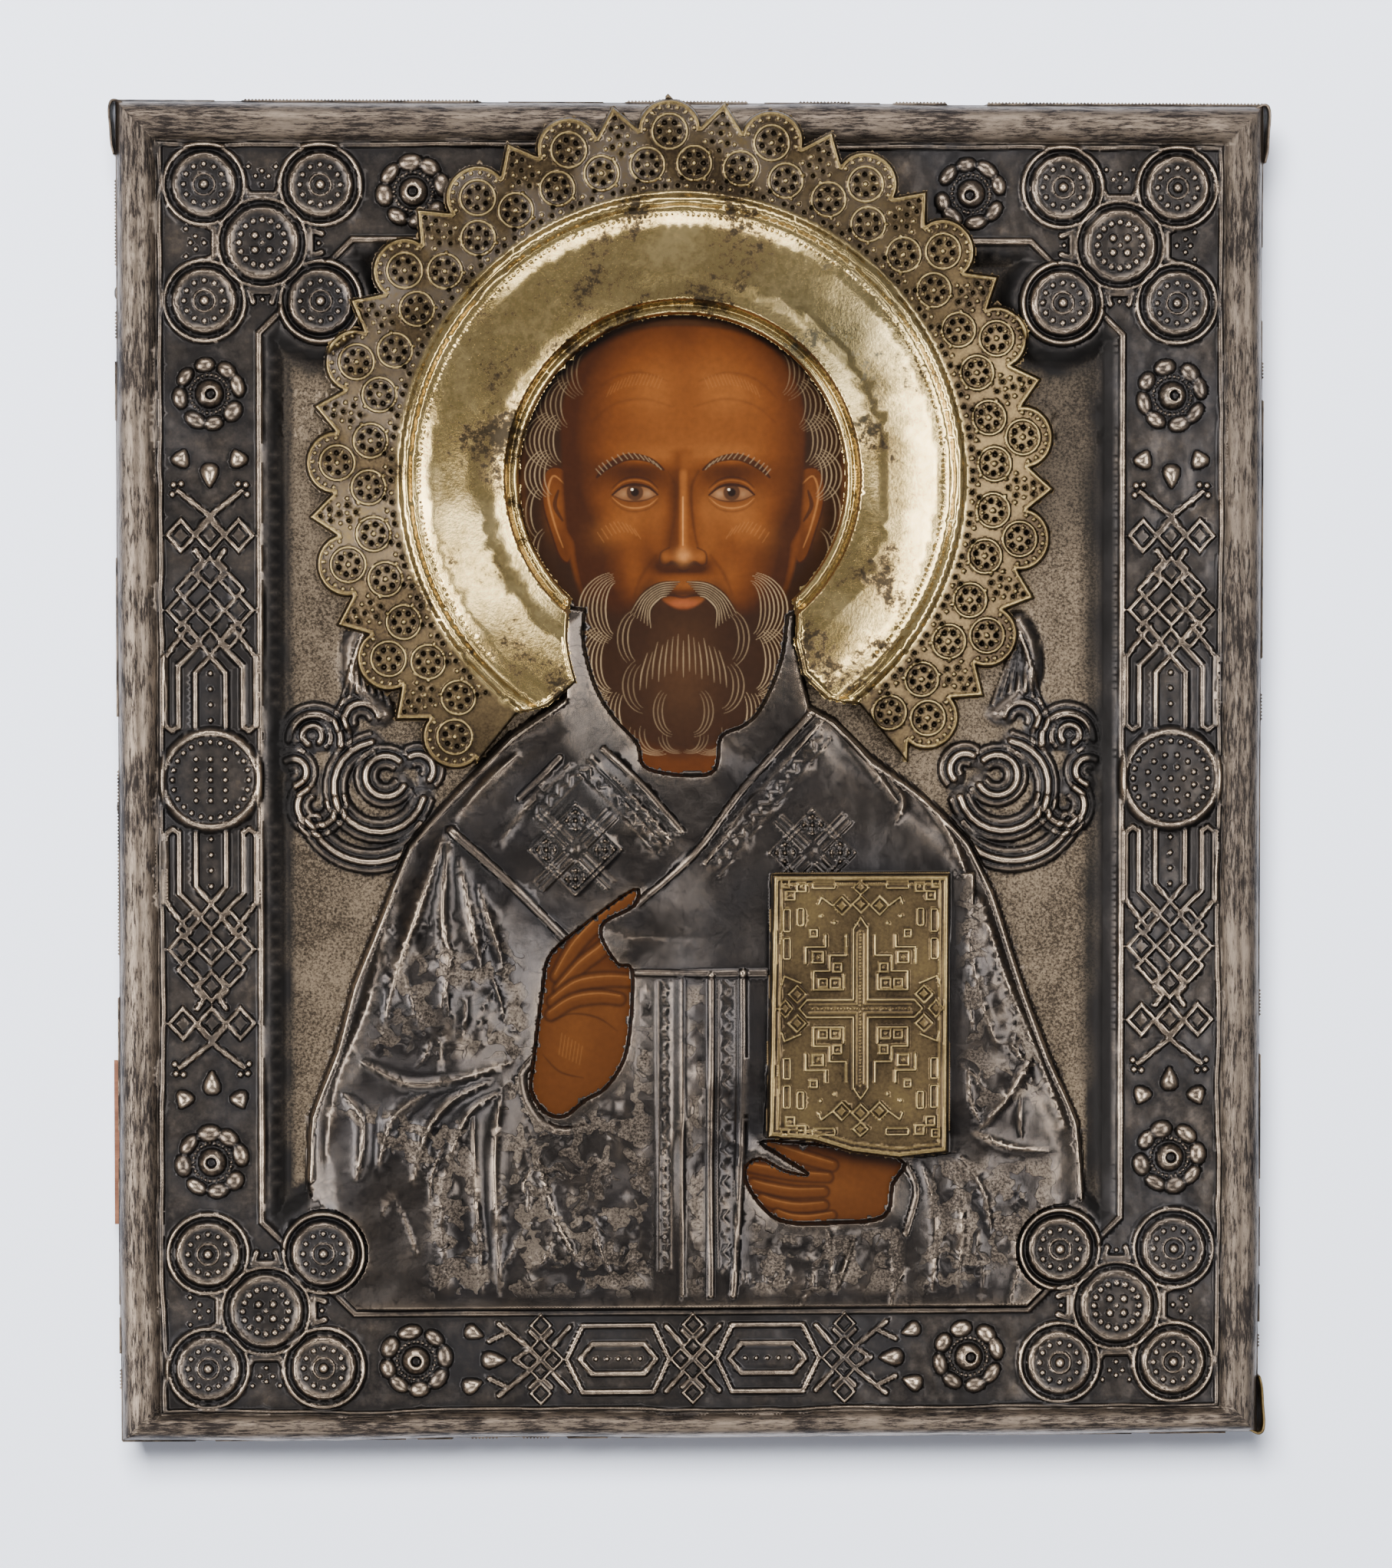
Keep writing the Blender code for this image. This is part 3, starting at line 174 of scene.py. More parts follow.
def noise(x, y, size, seed):
    """Smooth noise from -1 to 1 whose features are about one size across."""
    table = np.random.default_rng(seed).uniform(-1, 1, (64, 64))
    gx, gy = np.asarray(x) / size, np.asarray(y) / size
    ix, iy = np.floor(gx).astype(int), np.floor(gy).astype(int)
    fx, fy = smooth(gx - ix), smooth(gy - iy)
    near = table[iy % 64, ix % 64] * (1 - fx) + table[iy % 64, (ix + 1) % 64] * fx
    far = table[(iy + 1) % 64, ix % 64] * (1 - fx) + table[(iy + 1) % 64, (ix + 1) % 64] * fx
    return near * (1 - fy) + far * fy


def line_distance(x, y, points):
    """Distance from each point to a chain of straight lines."""
    best = np.full(np.shape(x), 1e9)
    for (x0, y0), (x1, y1) in zip(points[:-1], points[1:]):
        dx, dy = x1 - x0, y1 - y0
        share = np.clip(((x - x0) * dx + (y - y0) * dy) / (dx * dx + dy * dy + 1e-12), 0, 1)
        best = np.minimum(best, np.hypot(x - x0 - share * dx, y - y0 - share * dy))
    return best


def inside_polygon(x, y, polygon):
    """Whether each point lies inside a polygon."""
    inside = np.zeros(np.shape(x), bool)
    for (x0, y0), (x1, y1) in zip(polygon, polygon[1:] + polygon[:1]):
        if y0 != y1:
            inside ^= ((y0 > y) != (y1 > y)) & (x < (x1 - x0) * (y - y0) / (y1 - y0) + x0)
    return inside


def polygon_depth(x, y, polygon):
    """How deep each point lies inside a polygon, negative outside."""
    distance = line_distance(x, y, polygon + polygon[:1])
    return np.where(inside_polygon(x, y, polygon), distance, -distance)


def blurred(values, cells):
    """The mean over a square of that half width, twice, for a soft edge."""
    for _ in range(2):
        for axis in (0, 1):
            padded = np.pad(values, [(cells + 1, cells) if a == axis else (0, 0) for a in (0, 1)], "edge")
            total = np.cumsum(padded, axis=axis)
            width = 2 * cells + 1
            ends = (slice(width, None), slice(None)) if axis == 0 else (slice(None), slice(width, None))
            starts = (slice(None, -width), slice(None)) if axis == 0 else (slice(None), slice(None, -width))
            values = (total[ends] - total[starts]) / width
    return values


def curve(points, per_span=8, closed=False):
    """A smooth curve through the given points."""
    places = [np.array(p, float) for p in points]
    places = [places[-1], *places, places[0], places[1]] if closed else [places[0], *places, places[-1]]
    out = []
    for a, b, c, d in zip(places, places[1:], places[2:], places[3:]):
        for i in range(per_span):
            t = i / per_span
            bend = 2 * b + (c - a) * t + (2 * a - 5 * b + 4 * c - d) * t * t
            bend = bend + (3 * b - a - 3 * c + d) * t ** 3
            out.append(tuple(bend / 2))
    return out if closed else out + [tuple(places[-2])]


def arc(x, y, radius, first, last, count=12):
    """Points along an arc, angles in degrees anticlockwise from +X."""
    angles = np.radians(np.linspace(first, last, count))
    return [(x + radius * math.cos(a), y + radius * math.sin(a)) for a in angles]


def offset_line(points, amount):
    """A line beside a chain of points, to its right for a positive amount."""
    places = np.array(points, float)
    along = np.gradient(places, axis=0)
    along /= np.linalg.norm(along, axis=1)[:, None] + 1e-9
    return [tuple(p) for p in places + amount * np.stack([along[:, 1], -along[:, 0]], 1)]


# Profiles of a ridge: its height by the share of its half width

def round_top(t):
    return np.sqrt(np.clip(1 - t * t, 0, 1))


def soft_top(t):
    return smooth(1 - t)


def flat_top(t):
    return np.clip(1.7 - 1.7 * t, 0, 1)


class Sheet:
    """A chased sheet: its ground height, the detail on it, and how far each point lies inside it."""

    TILE = 128

    def __init__(self, low, high, step):
        self.step = step
        cells = [math.ceil((b - a) / step / self.TILE) * self.TILE for a, b in zip(low, high)]
        self.low = low
        xs, ys = (low[i] + step * np.arange(cells[i] + 1) for i in (0, 1))
        self.x, self.y = np.meshgrid(xs, ys)
        self.ground = np.zeros(self.x.shape)
        self.detail = np.zeros(self.x.shape)
        self.inside = np.full(self.x.shape, 1e3)
        self.layers = {}

    def window(self, points, reach):
        """The grid's rows and columns round some points."""
        places = np.array(points, float)
        low = (places.min(0) - reach - self.low) / self.step
        high = (places.max(0) + reach - self.low) / self.step
        bounds = [(max(0, int(a)), max(0, int(b) + 2)) for a, b in zip(low, high)]
        return slice(*bounds[1]), slice(*bounds[0])

    def raise_by(self, points, reach, height, pile=False):
        """Raises the detail to a height that is a function of x and y, or piles it on top."""
        area = self.window(points, reach)
        found = height(self.x[area], self.y[area])
        self.detail[area] = self.detail[area] + found if pile else np.maximum(self.detail[area], found)

    def ridge(self, points, width, rise, shape=round_top, closed=False, pile=False):
        """A ridge along a line; width is half its foot's width."""
        chain = list(points) + [points[0]] if closed else list(points)
        self.raise_by(chain, width, lambda x, y: rise * shape(line_distance(x, y, chain) / width), pile)

    def bead(self, x, y, radius, rise, pile=True, shape=round_top):
        """A round grain."""
        self.raise_by([(x, y)], radius, lambda px, py: rise * shape(np.hypot(px - x, py - y) / radius), pile)

    def bead_ring(self, x, y, ring, count, radius, rise, turn=0.0):
        """Grains in a ring; turn is a share of the way from one grain to the next."""
        for i in range(count):
            angle = 2 * math.pi * (i + turn) / count
            self.bead(x + ring * math.cos(angle), y + ring * math.sin(angle), radius, rise)

    def turned(self, x, y, steps, pile=False):
        """A form turned round an upright axis, from pairs of radius and height."""
        radii, heights = zip(*steps)
        self.raise_by(
            [(x, y)], radii[-1],
            lambda px, py: np.interp(np.hypot(px - x, py - y), radii, heights, right=0.0), pile,
        )

    def hole(self, x, y, radius):
        """Pierces the sheet."""
        area = self.window([(x, y)], radius + 3)
        away = np.hypot(self.x[area] - x, self.y[area] - y)
        self.inside[area] = np.minimum(self.inside[area], away - radius)

    def height(self):
        """The sheet's face, with a short fall at its edges."""
        fall = np.clip(-self.inside / self.step, 0, 1.6) * self.edge_depth
        return self.ground + self.detail - fall

    edge_depth = 0.45


def split_errors(z, tile, weight):
    """For each grid point, how much the surface would miss without it or its finer neighbours."""
    error = np.zeros(z.shape)
    size = 2
    while size <= tile:
        half, quarter = size // 2, size // 4
        for rows, cols, ends in (
            (slice(0, None, size), slice(half, None, size), (0, half)),
            (slice(half, None, size), slice(0, None, size), (half, 0)),
        ):
            if ends[1]:
                one, two = z[0::size, 0:-1:size], z[0::size, size::size]
            else:
                one, two = z[0:-1:size, 0::size], z[size::size, 0::size]
            found = np.abs(z[rows, cols] - (one + two) / 2) * weight[rows, cols]
            if quarter:
                padded = np.pad(error, quarter)
                for dy in (-quarter, quarter):
                    for dx in (-quarter, quarter):
                        top, left = rows.start + quarter + dy, cols.start + quarter + dx
                        near = padded[
                            slice(top, top + size * found.shape[0], size),
                            slice(left, left + size * found.shape[1], size),
                        ]
                        found = np.maximum(found, near[:found.shape[0], :found.shape[1]])
            error[rows, cols] = found
        corners = z[0::size, 0::size]
        rising = (corners[:-1, :-1] + corners[1:, 1:]) / 2
        falling = (corners[:-1, 1:] + corners[1:, :-1]) / 2
        row, col = np.indices(rising.shape)
        diagonal = np.where((row + col) % 2 == 0, rising, falling)
        found = np.abs(z[half::size, half::size] - diagonal) * weight[half::size, half::size]
        for near in (
            error[0:-1:size, half::size], error[size::size, half::size],
            error[half::size, 0:-1:size], error[half::size, size::size],
        ):
            found = np.maximum(found, near)
        error[half::size, half::size] = found
        size *= 2
    return error


def thin_triangles(error, tile, limit):
    """Right triangles that are split wherever the error is over the limit."""
    rows, cols = error.shape
    flat = error.ravel()
    row, col = np.indices(((rows - 1) // tile, (cols - 1) // tile))
    start = (row * tile * cols + col * tile).ravel()
    even = ((row + col) % 2 == 0).ravel()
    low, right, up, far = start, start + tile, start + tile * cols, start + tile * cols + tile
    one = np.where(even[:, None], np.stack([far, low, right], 1), np.stack([up, right, far], 1))
    two = np.where(even[:, None], np.stack([low, far, up], 1), np.stack([right, up, low], 1))
    waiting = np.concatenate([one, two])
    done = []
    while len(waiting):
        a, b, c = waiting.T
        span = np.maximum(np.abs(a % cols - b % cols), np.abs(a // cols - b // cols))
        middle = (a // cols + b // cols) // 2 * cols + (a % cols + b % cols) // 2
        split = (span >= 2) & (flat[middle] > limit)
        done.append(waiting[~split])
        a, b, c, middle = a[split], b[split], c[split], middle[split]
        waiting = np.concatenate([np.stack([c, a, middle], 1), np.stack([b, c, middle], 1)])
    return np.concatenate(done)


def make_mesh(name, verts, faces, normals=None, layers=None):
    """An object from arrays: places in millimetres, faces of three or four corners."""
    mesh = bpy.data.meshes.new(name)
    corners = faces.shape[1]
    mesh.vertices.add(len(verts))
    mesh.vertices.foreach_set("co", (np.asarray(verts, float) * MM).astype(np.float32).ravel())
    mesh.loops.add(faces.size)
    mesh.loops.foreach_set("vertex_index", faces.astype(np.int32).ravel())
    mesh.polygons.add(len(faces))
    mesh.polygons.foreach_set("loop_start", np.arange(0, faces.size, corners, dtype=np.int32))
    mesh.update(calc_edges=True)
    mesh.validate()
    mesh.shade_smooth()
    for layer, values in (layers or {}).items():
        if values.ndim == 1:
            made = mesh.attributes.new(layer, "FLOAT", "POINT")
            made.data.foreach_set("value", values.astype(np.float32))
        else:
            made = mesh.attributes.new(layer, "FLOAT_COLOR", "POINT")
            rgba = np.concatenate([values, np.ones((len(values), 1))], 1)
            made.data.foreach_set("color", rgba.astype(np.float32).ravel())
    if normals is not None:
        mesh.normals_split_custom_set_from_vertices([tuple(n) for n in normals])
    obj = bpy.data.objects.new(name, mesh)
    bpy.context.scene.collection.objects.link(obj)
    return obj


def dress(obj, material, slot, *nodes):
    """Gives a piece its material and its place in the frame."""
    obj.data.materials.append(material)
    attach(obj, "root")
    if nodes:
        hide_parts(*nodes)
    return obj


def sheet_pieces(sheet, budget, zones, weight=None, extra=None):
    """Meshes of a sheet: zones maps a name to a function that picks the points of one piece."""
    z = sheet.height()
    weight = np.ones(z.shape) if weight is None else weight
    weight = np.where(sheet.inside < -2 * sheet.step, 0.0, weight)
    shape = z if extra is None else z + extra
    error = split_errors(shape, sheet.TILE, weight)
    wanted = min(budget // 2, error.size - 1)
    limit = max(float(np.partition(error.ravel(), -wanted)[-wanted]), 1e-5)
    faces = thin_triangles(error, sheet.TILE, limit)
    depth = sheet.inside.ravel()
    faces = faces[(depth[faces] > -1.7 * sheet.step).any(axis=1)]
    slope_y, slope_x = np.gradient(z, sheet.step)
    normals = np.stack([-slope_x.ravel(), -slope_y.ravel(), np.ones(z.size)], 1)
    normals /= np.linalg.norm(normals, axis=1)[:, None]
    places = np.stack([sheet.x.ravel(), sheet.y.ravel(), z.ravel()], 1)
    middle = places[faces].mean(axis=1)
    made = []
    for name, zone in zones.items():
        part = faces[zone(middle[:, 0], middle[:, 1])]
        used, numbers = np.unique(part, return_inverse=True)
        layers = {key: values.reshape(-1, *values.shape[2:])[used] for key, values in sheet.layers.items()}
        made.append(make_mesh(name, places[used], numbers.reshape(-1, 3), normals[used], layers))
        print(name, len(part), "triangles")
    return made


def add_wear(sheet, near=0.6, far=2.6):
    """How worn each point is, from how far it stands above what lies round it."""
    z = sheet.ground + sheet.detail
    fine = z - blurred(z, max(1, round(near / sheet.step)))
    broad = z - blurred(z, max(2, round(far / sheet.step)))
    sheet.layers["wear"] = np.clip(0.47 + 0.95 * fine + 0.21 * broad, 0, 1)


# The frame's layout

TOP_DROP = 2.1


def field_depth(x, y):
    """How far each point lies inside the field, negative on the frame."""
    y = y + TOP_DROP * smooth((y - 50) / 30)
    depth = np.minimum(FIELD_X - np.abs(x), FIELD_Y - np.abs(y))
    depth = np.minimum(depth, (DIAGONAL_SUM - np.abs(x) - np.abs(y)) / math.sqrt(2))
    for sx in (-1, 1):
        for sy in (-1, 1):
            reach = np.hypot(x - sx * (FIELD_X - KNOT_ARM), y - sy * (FIELD_Y - KNOT_ARM))
            depth = np.minimum(depth, reach - KNOT_BITE_R)
    return depth


def edge_waves(x, y):
    """How far the cover's bent edges stray at the sides, the top and the bottom."""
    side = 0.28 * noise(y, x * 0 + 3.3, 37, 11)
    top = 0.25 * noise(x, y * 0 + 8.1, 31, 12)
    bottom = 0.3 * noise(x, y * 0 + 5.7, 43, 13)
    return side, top, bottom


def edge_distances(x, y):
    """Distance to the cover's bent edges at the sides, the top and the bottom."""
    side, top, bottom = edge_waves(x, y)
    return HALF_W + side - np.abs(x), HALF_H + top - y, HALF_H + bottom + y


def moulding_share(x, y):
    """0 at the cover's edge and 1 at the moulding's inner edge."""
    side, top, bottom = edge_distances(x, y)
    waves = 1 + 0.045 * noise(x, y, 19, 14) + 0.02 * noise(x, y, 6, 15)
    return np.minimum(np.minimum(side, top) / MOULDING_W, bottom / MOULDING_BOTTOM_W) * waves


def frame_ground(x, y):
    """The frame without its ornament: a half-round moulding, then a flat band."""
    side, top, bottom = edge_distances(x, y)
    share = moulding_share(x, y)
    z = BAND_TOP + MOULDING_RISE * np.sin(np.pi * np.clip(share, 0, 1)) ** 0.8
    edge = np.clip(1 - np.minimum(np.minimum(side, top), bottom) / 1.5, 0, 1)
    z = z - 1.9 * (1 - np.sqrt(1 - 0.98 * edge ** 2))
    inward = (share - 1) * MOULDING_W
    z = z + 0.85 * round_top(np.abs(inward - 0.8) / 0.75)
    dents = 0.20 * noise(x, y, 17, 21) + 0.10 * noise(x, y, 5, 22) + 0.07 * noise(x, y, 2.3, 23)
    return z + dents * np.clip(share * 2, 0, 1)


def halo_place(radius, angle):
    """A point of the halo by its radius and its angle from the top, clockwise, in degrees."""
    turned = math.radians(angle)
    return HALO_X + radius * math.sin(turned), HALO_Y + radius * math.cos(turned)


def face_opening():
    """The opening for the painted head: round under the halo's lip, then the beard's outline."""
    top = [halo_place(FACE_OPENING_R, angle) for angle in np.linspace(136, -136, 61)]
    return curve(BEARD_EDGE, 6) + top


def main_ornament(sheet):
    """The frame's chased ornament."""
    for sx in (-1, 1):
        for sy in (-1, 1):
            corner_knot(sheet, sx, sy)
    for side in (-1, 1):
        medallion(sheet, side * BAND_MID_X, MEDALLION_Y, side)
        for end in (-1, 1):
            side_strapwork(sheet, side * BAND_MID_X, MEDALLION_Y, end)
            drop_here = TOP_DROP * (end > 0)
            flower(sheet, side * BAND_MID_X, end * (FIELD_Y - FLOWER_FROM_KNOT) - drop_here, side * 3 + end)
            flower(sheet, side * (FIELD_X - FLOWER_FROM_KNOT), end * BAND_MID_Y - drop_here, side * 5 + end)
        bottom_strapwork(sheet, side)


def rosette(sheet, x, y, radius, beads, middle_beads):
    """A raised disc with a ring of beads round a boss, inside a raised ring."""
    sheet.turned(x, y, [
        (0, 1.15), (radius * 0.78, 1.0), (radius * 0.88, 1.35), (radius * 0.97, 1.65), (radius * 1.06, 1.2),
        (radius * 1.16, 0.2), (radius * 1.24, 0.0), (radius * 1.25, 0),
    ])
    ring = radius + 2.35
    sheet.ridge(arc(x, y, ring, 0, 360, 49), 1.35, 1.0, soft_top)
    sheet.ridge(arc(x, y, ring + 0.1, 0, 360, 49), 0.5, 0.28, round_top, pile=True)
    sheet.bead_ring(x, y, radius * 0.68, beads, radius * 0.105, 0.75)
    if middle_beads:
        sheet.bead_ring(x, y, radius * 0.3, middle_beads, 0.95, 1.0, 0.5)
        sheet.bead(x, y, 0.6, 0.5)
    else:
        sheet.ridge(arc(x, y, radius * 0.36, 0, 360, 25), 0.45, 1.5)
        sheet.bead(x, y, radius * 0.17, 1.25)


def corner_knot(sheet, sx, sy):
    """Five rosettes in a square, tied by rings and links, with grains between them."""
    x, y = sx * FIELD_X, sy * FIELD_Y - TOP_DROP * (sy > 0)
    rosette(sheet, x, y, KNOT_MIDDLE_R, 16, 4)
    for dx in (-1, 1):
        for dy in (-1, 1):
            rosette(sheet, x + dx * KNOT_ARM, y + dy * KNOT_ARM, KNOT_DISC_R, 12, 0)
    grains = [(0, 13.4), (-1.5, 15.4), (1.5, 15.4), (0, 16.6), (-3.2, 17.6), (3.2, 17.6)]
    for turn, outer in ((0, sy > 0), (90, sx < 0), (180, sy < 0), (270, sx > 0)):
        c, s = round(math.cos(math.radians(turn))), round(math.sin(math.radians(turn)))

        def place(across, along):
            return x + across * c - along * s, y + across * s + along * c

        sheet.ridge([place(-3.0, 11.0), place(3.0, 11.0)], 1.1, 1.1)
        if outer:
            sheet.ridge([place(-3.2, 11.2), place(-4.2, 13.4)], 0.9, 1.0)
            sheet.ridge([place(3.2, 11.2), place(4.2, 13.4)], 0.9, 1.0)
            for across, along in grains:
                sheet.bead(*place(across, along), 0.62, 0.8)
        else:
            sheet.ridge([place(-3.0, 11.2), place(-2.2, 13.6)], 0.9, 1.0)
            sheet.ridge([place(3.0, 11.2), place(2.2, 13.6)], 0.9, 1.0)
            sheet.bead(*place(0, 13.0), 0.62, 0.8)


def medallion(sheet, x, y, side):
    """A round boss set with rows of grains."""
    r = MEDALLION_R
    sheet.turned(x, y, [
        (0, 1.0), (r * 0.78, 0.9), (r * 0.9, 1.2), (r * 0.97, 2.1), (r * 1.04, 1.7), (r * 1.15, 0.1),
        (r * 1.16, 0),
    ])
    sheet.bead_ring(x, y, r * 0.8, 24, 0.68, 0.8)
    if side < 0:
        places = [(column * 3.4, row * 2.4) for column in (-1, 0, 1) for row in (-2, -1, 0, 1, 2)]
    else:
        places = [(0, 0)] + arc(0, 0, 3.0, 0, 300, 6) + arc(0, 0, 5.6, 15, 345, 12)
    for px, py in places:
        sheet.bead(x + px, y + py, 0.68, 0.85)


def flower(sheet, x, y, seed):
    """Lobed petals round a hollow boss."""
    wild = np.random.default_rng(100 + seed)
    sheet.turned(x, y, [(0, 0.4), (3.4, 0.3), (4.6, 0.6), (5.6, 0.1), (8.2, 0.05), (8.3, 0)])
    for i in range(8):
        angle = 2 * math.pi * (i + 0.25) / 8 + wild.uniform(-0.12, 0.12)
        cx, cy = x + 6.7 * math.cos(angle), y + 6.7 * math.sin(angle)
        long, wide = wild.uniform(2.5, 3.1), wild.uniform(1.8, 2.3)

        def petal(px, py):
            across = (px - cx) * math.cos(angle) + (py - cy) * math.sin(angle)
            along = -(px - cx) * math.sin(angle) + (py - cy) * math.cos(angle)
            return 1.9 * round_top(np.hypot(across / wide, along / long))

        sheet.raise_by([(cx, cy)], long, petal)
    sheet.bead_ring(x, y, 4.4, 26, 0.4, 0.45)
    ox, oy = wild.uniform(-0.5, 0.5), wild.uniform(-0.5, 0.5)
    sheet.turned(x, y, [(0, 2.6), (1.8, 2.5), (2.9, 1.6), (3.4, 0.5), (3.5, 0)])
    sheet.turned(x + ox, y + oy, [(0, -1.3), (0.9, -1.2), (1.35, 0.2), (1.9, 0.15), (2.3, 0)], pile=True)


def drop(sheet, x, y, angle, long, wide, rise):
    """A pear-shaped bud whose tip points along an angle."""
    c, s = math.cos(math.radians(angle)), math.sin(math.radians(angle))

    def height(px, py):
        along = ((px - x) * c + (py - y) * s) / long
        across = (-(px - x) * s + (py - y) * c) / (wide * (1.05 - 0.55 * np.clip(along, -1, 1)))
        return rise * round_top(np.hypot(along, across))

    sheet.raise_by([(x, y)], long, height)


def diamond(sheet, x, y, across, along, width=0.78, rise=0.95, fill=0.4):
    """A diamond-shaped eyelet with a raised rim."""
    scale = across * along / math.hypot(across, along)

    def height(px, py):
        ring = np.abs(px - x) / across + np.abs(py - y) / along
        rim = rise * flat_top(np.abs(ring - 1) * scale / width)
        return np.maximum(rim, fill * np.clip((0.62 - ring) * 8, 0, 1))

    sheet.raise_by([(x, y)], max(across, along) + 2, height)


def bar(sheet, x, y, angle, long, wide, width=0.75, rise=0.95):
    """A long eyelet with round ends and a raised rim, turned by an angle."""
    c, s = math.cos(math.radians(angle)), math.sin(math.radians(angle))

    def height(px, py):
        along = np.abs((px - x) * c + (py - y) * s) - long
        across = np.abs(-(px - x) * s + (py - y) * c) - wide
        out = np.hypot(np.maximum(along, 0), np.maximum(across, 0)) + np.minimum(np.maximum(along, across), 0)
        rim = rise * flat_top(np.abs(out - 0.3) / width)
        return np.maximum(rim, 0.3 * np.clip(-out * 2 - 0.6, 0, 1))

    sheet.raise_by([(x, y)], long + wide + 2, height)


def side_strapwork(sheet, x, y, end):
    """Knotted straps from the medallion out to the buds, on half a side band."""
    def place(across, along):
        return x + across, y + end * along

    def strap(points, mirror=True, width=0.95, rise=0.95):
        for side in ((-1, 1) if mirror else (1,)):
            sheet.ridge([place(side * a, b) for a, b in points], width, rise, flat_top)

    strap([(3.5, 12.2), (3.5, 24.8), (0, 28.8)])
    strap([(7.4, 12.2), (7.4, 26.4), (2.6, 31.4)])
    strap([(10.4, 12.6), (10.4, 28.4), (9.2, 30.2), (5.0, 35.6)])
    strap([(7.4, 12.4), (8.9, 11.4), (10.4, 12.6)])
    strap([(2.3, 31.8), (6.4, 36.6)])
    strap([(3.3, 53.2), (1.7, 50.8), (3.6, 48.9)])
    strap([(0, 61.2), (7.4, 67.0)])
    strap([(0, 61.2), (3.3, 57.2)])
    for row in (39.4, 56.7):
        for across in (-6.65, 0, 6.65):
            diamond(sheet, *place(across, row), 3.2, 3.5)
    diamond(sheet, *place(0, 48.1), 3.0, 3.4)
    diamond(sheet, *place(0, 31.9), 2.6, 3.0)
    for side in (-1, 1):
        bar(sheet, *place(side * 5.0, 45.2), end * side * -48, 2.4, 1.0)
        bar(sheet, *place(side * 5.2, 33.6), end * side * 50, 2.4, 1.0)
        for across, along in ((8.6, 66.2), (8.3, 68.4), (6.6, 68.6)):
            sheet.bead(*place(side * across, along), 0.85, 1.2, pile=False)
        drop(sheet, *place(side * 6.5, 74.6), 90 * end + side * 24, 2.3, 2.0, 2.0)
    drop(sheet, *place(0, 70.6), -90 * end, 3.0, 1.9, 2.3)
    for i in range(4):
        sheet.bead(*place(0, 13.8 + 3.65 * i), 0.68, 0.9)


def bottom_strapwork(sheet, side):
    """Knotted straps on half of the bottom band, out to the buds."""
    y = -BAND_MID_Y

    def place(along, across):
        return side * along, y + across

    def strap(points, width=0.9, rise=0.9):
        for way in (-1, 1):
            sheet.ridge([place(a, way * b) for a, b in points], width, rise, flat_top)

    strap([(5.6, 0), (9.2, 7.8), (25.8, 7.8), (29.6, 0)])
    strap([(8.6, 0), (11.4, 3.5), (23.6, 3.5), (26.4, 0)])
    strap([(2.4, 3.2), (6.2, 7.6)])
    strap([(32.6, 3.4), (28.9, 7.6)])
    strap([(38.6, 3.0), (45.4, 8.4)])
    strap([(38.4, 2.2), (41.8, 0)])
    strap([(43.2, 6.6), (47.6, 4.4)])
    for middle in ((0, 35.6) if side > 0 else (35.6,)):
        for dx, dy in ((0, 2.7), (0, -2.7), (2.9, 0), (-2.9, 0), (0, 8.0), (0, -8.0)):
            diamond(sheet, *place(middle + dx, dy), 2.3, 2.4, 0.5, 0.9)
        for dx in (-1, 1):
            strap([(middle + dx * 0.7, 4.9), (middle + dx * 2.4, 6.6)])
    for i in range(5):
        sheet.bead(*place(12.3 + 2.6 * i, 0), 0.55, 0.75)
    drop(sheet, *place(46.6, 0), 0 if side < 0 else 180, 3.1, 1.9, 2.2)
    drop(sheet, *place(51.2, 6.4), 200 if side > 0 else -20, 2.5, 1.7, 1.9)
    drop(sheet, *place(51.6, -5.9), 160 if side > 0 else 20, 2.6, 1.8, 2.0)


# The figure

# Lines of the dress: how high and how wide each ridge is, then where it runs
BORDERS = [
    (1.0, 1.1, [(28.5, 15), (12, -3.2), (0.3, -18.6), (-13.2, -30.8)]),
    (0.5, 0.7, [(31.2, 13.4), (14.6, -5.0), (2.6, -20.8)]),
    (0.9, 1.1, [(-20.7, 5.7), (-12, -2.5), (-2.8, -13.1)]),
    (0.45, 0.6, [(-23.4, 3.6), (-14.6, -4.8), (-5.2, -15.6)]),
    (1.1, 1.4, [(-56.3, -13.1), (-42, -26), (-29.2, -39.2)]),
    (0.8, 1.0, [(-40.5, -5.6), (-31, 3.9)]),
    (0.45, 0.6, [(-38.8, -8), (-28.9, 2.1)]),
    (0.8, 1.0, [(4.2, -47), (4.2, -122)]),
    (0.5, 0.7, [(-2.6, -48), (-2.6, -122)]),
    (0.8, 1.0, [(11.5, -46), (11.5, -90), (9.4, -122)]),
    (0.8, 1.1, [(-13, -46.6), (17, -46.4)]),
    (1.0, 1.3, [(-36.4, -66), (-40, -71), (-37.6, -79), (-32, -83.4), (-24.6, -83)]),
    (0.9, 1.1, [(50, -108), (52.6, -98), (50.4, -92.4)]),
    (0.8, 1.0, [(30.6, 21), (41, 8.4), (52, -1.6)]),
]
